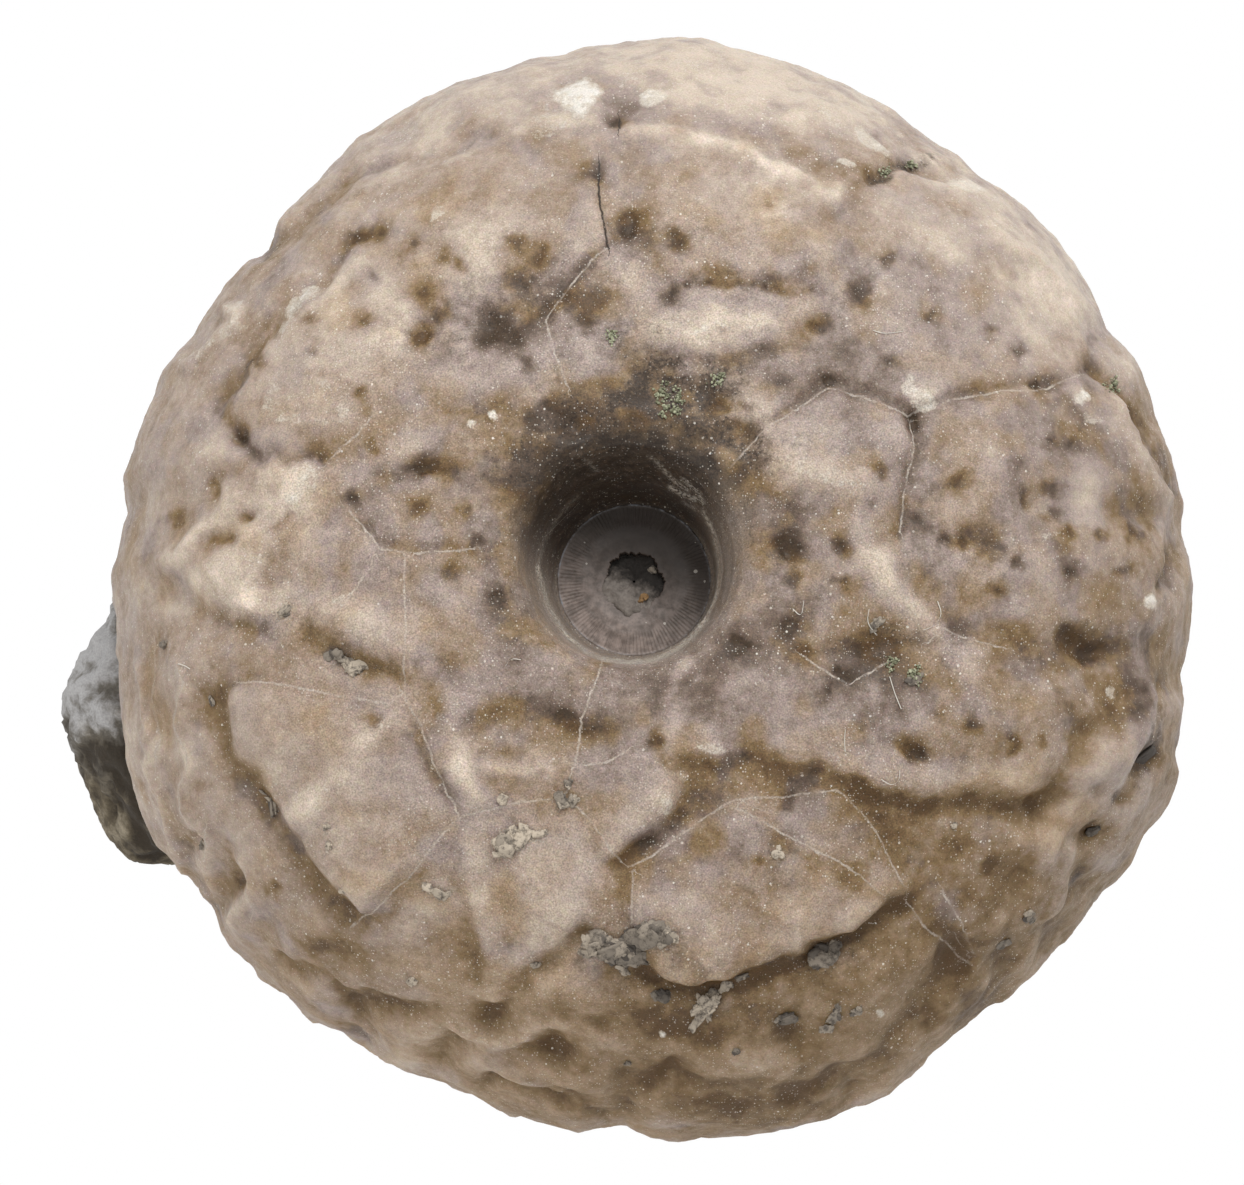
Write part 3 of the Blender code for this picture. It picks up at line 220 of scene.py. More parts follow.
# Rounded ridges and grooves: line on the leaning plan, half width, and height (grooves below 0).
RIDGES = (
    (((8.2, 2.9), (8.5, 1.5), (9.2, 0.4), (10.2, -0.5), (11.0, -1.5)), 0.6, 0.28),
    (((18.3, 7.4), (19.3, 5.9), (20.0, 4.6), (20.6, 3.5), (20.8, 2.2)), 0.45, 0.35),
    (((-6.4, -7.1), (-5.2, -7.3), (-4.6, -6.8), (-3.9, -7.3)), 0.35, 0.22),
    (((-7.3, -6.3), (-7.4, -7.5), (-7.0, -8.3)), 0.4, 0.2),
    (((-19.5, 1.0), (-18.6, 1.8), (-17.6, 2.8), (-16.6, 3.9)), 0.35, 0.22),
    (((-1.0, 18.1), (0.6, 18.2), (3.0, 17.6), (5.4, 16.9), (7.5, 15.7)), 0.3, 0.19),
    (((-5.3, 18.3), (-3.8, 18.6), (-2.2, 19.0)), 0.26, 0.15),
    (((-17.9, -9.7), (-18.0, -11.0), (-17.8, -12.0)), 0.28, 0.3),
    (((-16.4, -10.9), (-16.4, -12.0), (-16.8, -13.0)), 0.3, 0.3),
    (((-20.6, -3.2), (-20.4, -5.0), (-20.0, -6.5), (-19.9, -8.0), (-19.4, -9.6), (-18.9, -11.0)),
     0.22, 0.22),
    (((-18.8, -2.8), (-18.9, -4.6), (-19.1, -5.6), (-18.7, -6.8), (-18.6, -8.3), (-18.3, -9.6)),
     0.2, 0.15), (((3.1, -9.3), (3.9, -10.8), (4.3, -12.2), (5.2, -13.6)), 0.6, 0.22),
    (((-7.2, -10.4), (-6.9, -12.4), (-6.3, -14.6)), 0.6, 0.2),
    (((-14.2, -9.0), (-12.6, -7.8), (-11.2, -6.5), (-10.2, -5.3)), 0.7, 0.16),
    (((-8.0, -17.6), (-5.9, -18.2), (-4.8, -17.6), (-3.0, -17.3), (-1.0, -18.3)), 0.3, 0.2),
    (((15.6, -10.6), (16.0, -9.6), (17.0, -7.8), (18.2, -6.2), (19.6, -4.6)), 0.5, 0.28),
    (((14.2, -16.4), (15.6, -13.6), (16.2, -12.2), (16.6, -10.4)), 0.35, 0.3),
    (((5.6, -21.0), (8.6, -20.0), (11.2, -17.8), (13.0, -15.6)), 0.5, 0.3),
    (((-6.3, -16.2), (-4.2, -15.9), (-2.4, -16.0), (-0.8, -16.6)), 0.6, 0.25),
    (((17.2, 10.4), (16.4, 11.8), (15.0, 13.2), (13.6, 14.0)), 0.5, 0.25),
    (((-18.6, 9.2), (-17.5, 9.9), (-16.8, 10.6), (-16.9, 11.2)), 0.25, 0.25),
    (((-17.9, -4.2), (-17.1, -5.6), (-16.3, -7.1), (-15.4, -8.6), (-14.9, -9.8), (-14.1, -10.9),
     (-13.2, -11.9), (-12.3, -12.6), (-11.7, -13.1)), 0.65, -0.3),
    (((-17.4, 7.4), (-16.3, 9.2), (-15.2, 10.5), (-14.2, 11.6), (-13.2, 12.9), (-12.2, 13.9),
     (-11.2, 14.3)), 0.42, -0.34),
    (((-15.8, 13.6), (-14.6, 14.3), (-13.4, 15.3), (-12.6, 16.1), (-11.6, 17.0), (-10.2, 17.4),
     (-8.6, 17.7), (-6.6, 18.3)), 0.45, -0.32),
    (((8.6, 16.5), (9.4, 16.9), (10.2, 17.2), (10.9, 16.9), (12.2, 16.7)), 0.3, -0.3),
    (((17.4, 9.0), (18.2, 8.4), (18.8, 7.7), (19.4, 6.8), (19.7, 6.1), (20.4, 5.0), (20.9, 3.9),
     (20.9, 1.6), (20.6, 0.2)), 0.38, -0.42),
    (((11.9, -14.4), (11.4, -15.2), (10.8, -16.2), (10.0, -17.2), (9.2, -18.2), (8.2, -19.2),
     (7.0, -19.8), (5.0, -20.1), (2.5, -20.1), (0.5, -19.6)), 0.6, -0.32),
    (((-14.9, -14.9), (-14.0, -15.4), (-13.2, -15.6), (-12.6, -16.2), (-12.0, -17.2), (-11.3, -17.9)),
     0.3, -0.35), (((-6.4, -19.9), (-4.5, -20.2), (-3.0, -20.6), (-1.8, -21.0)), 0.28, -0.28),
    (((-16.8, 6.3), (-15.9, 5.4), (-15.2, 5.6), (-14.5, 5.1), (-13.2, 5.0)), 0.28, -0.32),
    (((-19.3, 0.1), (-18.0, -0.8), (-17.0, -1.35), (-15.8, -1.6)), 0.75, -0.3),
    (((-13.6, -1.7), (-12.9, -2.3), (-12.0, -2.8), (-10.6, -3.1)), 0.5, -0.28),
    (((-9.7, -4.6), (-9.0, -6.2), (-8.5, -7.6), (-7.9, -8.6)), 0.3, -0.18),
    (((1.2, -7.4), (1.9, -8.0), (0.9, -9.2), (-0.3, -10.3), (-1.3, -11.0)), 0.6, -0.28),
    (((-2.6, -13.6), (-3.8, -14.6), (-5.0, -15.7), (-5.9, -16.4)), 0.4, -0.35),
    (((-0.1, -15.2), (0.8, -16.1), (2.3, -16.1), (3.6, -15.6), (5.4, -14.8), (7.0, -14.2), (8.6, -13.7),
     (9.9, -12.7)), 0.4, -0.35),
    (((-7.2, -5.5), (-6.5, -4.7), (-5.3, -4.4), (-4.2, -4.7), (-3.3, -5.2), (-2.6, -5.8)), 0.6, -0.14),
    (((-2.1, 16.9), (-2.2, 16.0), (-2.05, 15.0), (-1.8, 13.8), (-3.0, 12.7), (-4.2, 11.05)), 0.2, -0.12),
    (((10.4, 6.9), (10.5, 5.4), (10.2, 4.0), (9.9, 2.2)), 0.3, -0.22),
    (((4.8, 6.6), (6.2, 7.8), (7.1, 8.3), (9.0, 7.7), (10.4, 7.0), (12.4, 7.9), (14.6, 8.2), (16.4, 8.4)),
     0.3, -0.22), (((-11.6, 2.4), (-11.1, 1.7), (-10.0, 1.75), (-8.0, 1.8)), 0.25, -0.18),
    (((15.2, -8.9), (14.0, -9.0), (12.0, -8.9), (10.0, -8.7), (8.6, -8.3)), 0.4, -0.1),
)

# Dimples and knobs: (u, v, half length, half width, turn in degrees, height; dimples below 0).
DIMPLES = (
    (-17.2, -11.8, 0.95, 0.8, 70, -0.55), (-18.3, -10.2, 0.55, 0.4, 80, -0.3),
    (-10.0, -16.8, 1.2, 0.5, -5, -0.45), (-11.6, -16.7, 0.8, 0.5, 0, -0.45),
    (-6.5, -17.1, 0.8, 0.46, -5, -0.6), (-8.5, -18.5, 0.75, 0.5, 0, -0.7),
    (-4.2, -18.5, 1.05, 0.5, -5, -0.8), (0.1, -19.5, 1.2, 0.5, -10, -0.55),
    (-2.2, -17.2, 0.7, 0.4, -15, -0.3), (-6.3, -19.9, 0.6, 0.3, 0, -0.3),
    (-3.9, -20.4, 0.9, 0.3, -10, -0.3), (-1.4, -20.3, 0.6, 0.4, 0, -0.3),
    (-13.0, -14.6, 1.0, 0.7, 0, -0.35), (-14.6, -17.0, 0.6, 0.4, -35, -0.25),
    (15.9, -8.1, 1.15, 0.65, 50, -0.65), (17.3, -5.8, 0.95, 0.45, 45, -0.35),
    (18.8, -8.3, 0.6, 0.4, 50, -0.35), (17.7, -9.8, 0.7, 0.5, 40, -0.55),
    (19.8, -6.6, 0.85, 0.5, 60, -0.8), (17.0, -11.9, 0.85, 0.6, 40, -0.5),
    (14.5, -11.3, 0.8, 0.6, 60, -0.35), (16.1, -13.6, 0.65, 0.45, 35, -0.4),
    (14.0, -14.4, 0.7, 0.4, 55, -0.4), (12.3, -14.6, 0.9, 0.38, 52, -0.35),
    (5.8, -18.0, 0.95, 0.65, -50, -0.45), (20.4, -3.9, 0.5, 0.35, 60, -0.25),
    (16.8, -2.1, 0.75, 0.4, -10, -0.5), (17.8, -2.4, 0.5, 0.35, 0, -0.4),
    (10.3, -6.4, 0.55, 0.4, -20, -0.4), (9.4, -6.0, 0.5, 0.35, -20, -0.25),
    (-5.2, -5.7, 1.6, 0.9, 0, -0.2), (-1.9, -5.7, 0.9, 0.55, 10, -0.3),
    (-17.3, 2.2, 0.75, 0.45, 40, -0.5), (-16.3, 3.0, 0.4, 0.3, 0, -0.3),
    (-19.2, 2.8, 0.7, 0.35, 50, -0.12), (-17.6, 4.4, 0.9, 0.5, 60, -0.14),
    (-16.6, 6.5, 0.6, 0.45, -20, -0.28), (-9.0, 4.9, 0.8, 0.3, 10, -0.3),
    (-10.2, 4.4, 1.3, 0.45, 25, -0.12), (-3.2, 6.7, 0.75, 0.4, -10, -0.45),
    (-0.9, 14.6, 0.8, 0.5, 20, -0.4), (1.0, 13.9, 0.5, 0.4, 0, -0.35), (-6.4, 10.6, 1.3, 0.75, -10, -0.4),
    (-9.2, 10.4, 0.5, 0.5, 0, -0.35), (8.3, 11.9, 0.7, 0.45, 50, -0.22), (6.7, 10.5, 0.65, 0.5, 0, -0.2),
    (3.3, 6.3, 0.6, 0.5, 0, -0.35), (2.7, 7.3, 0.5, 0.4, 0, -0.3), (5.5, 1.6, 0.5, 0.55, 0, -0.35),
    (7.6, 1.7, 0.45, 0.45, 0, -0.25), (3.3, -2.2, 0.8, 0.55, 0, -0.3), (9.0, -2.3, 1.1, 0.5, 0, -0.45),
    (0.8, 8.0, 1.1, 0.8, 0, -0.35), (12.9, 2.1, 1.1, 0.45, 5, -0.28), (19.0, 3.2, 1.3, 0.6, -10, -0.2),
    (-1.0, 19.2, 0.6, 0.5, 30, -0.3), (-10.1, 18.3, 0.8, 0.45, 35, -0.22),
    (-18.9, 5.6, 1.2, 0.6, 60, -0.22), (-12.9, -1.0, 0.6, 0.4, 20, 0.2),
    (-11.5, -1.4, 0.9, 0.55, -15, 0.3), (0.3, -8.3, 0.7, 0.55, 60, 0.22),
    (-14.0, 4.2, 1.0, 0.8, 45, 0.25), (-13.8, 8.2, 1.4, 1.0, 0, 0.22), (-12.6, 10.8, 1.6, 1.3, 20, 0.18),
    (6.8, 4.7, 1.6, 0.6, -20, 0.25), (2.6, 10.6, 1.7, 0.6, 5, 0.2), (10.9, 7.6, 0.9, 0.5, 20, 0.3),
    (-2.9, 19.6, 0.9, 0.5, 15, 0.25), (-17.6, 5.5, 0.7, 0.5, 0, 0.2), (13.0, -4.2, 1.6, 0.9, -50, 0.22),
    (4.5, 14.8, 1.6, 1.1, 0, 0.18), (-13.6, -6.0, 1.2, 0.8, 0, 0.15), (-4.2, -11.6, 1.3, 1.6, 0, 0.18),
    (1.8, -12.6, 1.2, 1.3, 0, 0.18), (8.2, -16.0, 1.3, 1.0, 0, 0.2), (3.0, -18.6, 1.6, 0.6, 0, 0.2),
    (13.2, 5.6, 1.6, 1.2, 0, 0.15), (18.9, 9.0, 0.8, 0.6, -60, 0.25),
)

# Mouth side: five rays of arm openings under the widest level, and knobbly roof plates.
ARM_RAYS = 5
ARMS_PER_RAY = 4
ARM_SPREAD = math.radians(12.5)  # between the arms of one ray
FIRST_RAY = math.radians(18.0)
ARM_HEIGHT = 9.6  # above the resting plane
ARM_OPENING_RADIUS = 0.95
ARM_OPENING_DEPTH = 0.9
ROOF_PLATE = 2.6  # size of the roof plates
ROOF_RELIEF = 0.45

# Small features of the surface, on the leaning plan. Pores: (u, v, radius, depth).
PORES = (
    (-2.4, 16.6, 0.3, 0.25), (-0.9, 14.5, 0.4, 0.3), (1.0, 13.8, 0.3, 0.3), (-4.6, 13.4, 0.3, 0.25),
    (-5.4, 13.9, 0.28, 0.25), (-5.2, 12.3, 0.3, 0.3), (-8.4, 13.3, 0.28, 0.25), (-7.7, 13.0, 0.26, 0.25),
    (-9.6, 13.8, 0.24, 0.2), (-9.0, 12.0, 0.3, 0.25), (-8.4, 11.1, 0.26, 0.25), (-9.2, 10.1, 0.32, 0.3),
    (-6.5, 10.6, 0.5, 0.3), (-5.6, 10.0, 0.36, 0.25), (-4.5, 11.2, 0.34, 0.25), (-2.4, 11.5, 0.28, 0.25),
    (-2.6, 10.6, 0.26, 0.25), (0.6, 11.7, 0.28, 0.2), (4.7, 15.2, 0.2, 0.2), (9.35, 13.15, 0.3, 0.3),
    (8.2, 11.9, 0.4, 0.2), (6.7, 10.5, 0.34, 0.3), (11.2, 11.0, 0.26, 0.28), (13.5, 10.4, 0.26, 0.28),
    (14.5, 9.45, 0.3, 0.32), (15.4, 8.2, 0.22, 0.22), (9.3, 9.1, 0.24, 0.2), (5.15, 8.6, 0.24, 0.2),
    (7.1, 8.35, 0.2, 0.2), (10.4, 6.6, 0.24, 0.25), (3.5, 6.4, 0.3, 0.25), (2.7, 7.3, 0.26, 0.25),
    (3.5, 7.25, 0.24, 0.25), (3.4, 4.7, 0.26, 0.2), (-3.2, 6.7, 0.34, 0.3), (-4.0, 7.4, 0.26, 0.25),
    (-4.8, 6.8, 0.24, 0.2), (-5.0, 9.1, 0.24, 0.2), (-7.05, 1.85, 0.26, 0.3), (-8.1, 0.9, 0.32, 0.3),
    (-6.2, -0.2, 0.24, 0.25), (-7.6, 3.0, 0.24, 0.2), (-9.3, 5.0, 0.34, 0.3), (-9.2, 3.3, 0.22, 0.2),
    (-11.2, 5.7, 0.24, 0.2), (-12.0, 3.7, 0.2, 0.2), (-11.4, 10.6, 0.34, 0.2), (-13.6, 10.8, 0.26, 0.2),
    (-11.3, 12.5, 0.26, 0.2), (-12.0, 14.1, 0.22, 0.15), (-13.4, 9.5, 0.2, 0.15),
    (-15.7, 9.1, 0.26, 0.25), (-16.5, 6.5, 0.3, 0.25), (-17.3, 2.0, 0.32, 0.32), (-17.6, 4.1, 0.26, 0.1),
    (-16.3, 2.9, 0.2, 0.25), (-11.6, 7.8, 0.2, 0.15), (-19.2, 2.9, 0.26, 0.1), (5.5, 1.6, 0.38, 0.3),
    (5.6, 0.4, 0.24, 0.25), (5.5, -1.5, 0.28, 0.25), (7.6, 1.7, 0.28, 0.22), (7.5, 0.3, 0.26, 0.22),
    (9.0, 4.8, 0.24, 0.22), (12.2, 4.3, 0.28, 0.28), (10.6, 2.9, 0.3, 0.28), (13.4, 1.5, 0.34, 0.32),
    (12.4, 2.0, 0.22, 0.22), (11.6, 2.0, 0.2, 0.2), (14.3, 1.1, 0.22, 0.22), (16.7, 0.65, 0.24, 0.25),
    (18.6, 0.9, 0.24, 0.25), (13.7, 0.0, 0.24, 0.22), (16.5, 2.3, 0.22, 0.2), (17.8, 2.2, 0.22, 0.2),
    (19.2, 2.4, 0.2, 0.2), (16.9, 5.85, 0.2, 0.18), (15.8, 5.9, 0.22, 0.18), (15.9, 3.9, 0.26, 0.22),
    (16.0, 3.2, 0.22, 0.2), (14.8, 3.6, 0.2, 0.18), (3.4, -2.2, 0.3, 0.25), (7.0, -4.0, 0.24, 0.22),
    (6.0, -2.4, 0.26, 0.22), (7.5, -3.4, 0.26, 0.25), (10.2, -6.4, 0.36, 0.32), (12.5, -5.4, 0.26, 0.25),
    (14.1, -6.15, 0.24, 0.25), (12.1, -10.3, 0.28, 0.28), (13.4, -10.9, 0.26, 0.25),
    (15.2, -6.0, 0.2, 0.18), (5.2, -8.5, 0.22, 0.2), (4.15, -10.7, 0.18, 0.18), (-3.4, -5.1, 0.24, 0.22),
    (0.2, -6.0, 0.24, 0.22), (-11.1, -5.4, 0.28, 0.25), (-15.1, -12.0, 0.2, 0.2),
    (5.3, -17.7, 0.28, 0.25), (3.4, -20.9, 0.22, 0.2), (16.7, -1.9, 0.34, 0.3), (17.6, -2.4, 0.26, 0.25),
    (19.8, -6.6, 0.38, 0.2), (17.6, -9.6, 0.3, 0.25), (18.6, -8.3, 0.24, 0.22), (8.8, -2.2, 0.45, 0.3),
    (9.6, -2.3, 0.3, 0.25), (-1.35, 18.7, 0.16, 0.15), (-17.0, -11.9, 0.22, 0.15),
)

# Dark stains: (u, v, half length, half width, turn in degrees, strength).
STAINS = (
    (-0.6, 5.7, 3.2, 0.8, 0, 1.05), (0.4, 7.8, 1.4, 0.7, 0, 1.3), (-6.3, 11.0, 1.7, 1.0, 20, 0.5),
    (-3.4, 12.2, 1.6, 0.9, 30, 0.35), (-4.2, 5.7, 1.5, 0.8, 35, 0.95), (-1.6, 6.5, 1.6, 0.6, 5, 0.9),
    (1.2, 6.4, 1.5, 0.7, -25, 0.95), (0.6, 7.9, 1.6, 0.8, -10, 1.05), (2.6, 8.6, 0.8, 0.5, 0, 0.75),
    (-1.6, 9.6, 1.6, 0.7, 20, 0.45), (9.0, -2.3, 1.2, 0.5, 0, 0.6), (-5.0, 7.4, 1.4, 0.7, 10, 0.35),
    (-2.4, 6.8, 1.4, 0.7, 0, 0.55), (5.4, 0.2, 0.5, 1.4, 0, 0.35), (9.8, 16.9, 1.0, 0.16, 20, 1.0),
    (13.2, 1.6, 1.3, 0.5, -10, 0.35), (9.0, -4.8, 0.7, 0.5, 0, 0.3), (0.8, 13.9, 0.9, 0.4, 10, 0.45),
    (-8.4, 12.6, 0.9, 1.2, 0, 0.2), (-9.2, 10.4, 0.9, 0.7, 0, 0.35), (3.2, 6.6, 0.8, 0.8, 0, 0.35),
    (2.6, -17.0, 1.8, 0.7, 0, 0.35), (-0.6, -14.6, 2.0, 0.7, 0, 0.45), (6.8, -14.6, 1.2, 0.4, 0, 0.45),
    (8.2, 12.0, 0.8, 0.6, 30, 0.3), (18.0, -1.8, 1.4, 0.4, 0, 0.4), (19.8, -6.4, 0.5, 0.9, -20, 0.55),
    (-14.0, -1.6, 1.6, 0.4, -10, 0.3), (-9.6, 4.9, 1.2, 0.4, 15, 0.35),
)
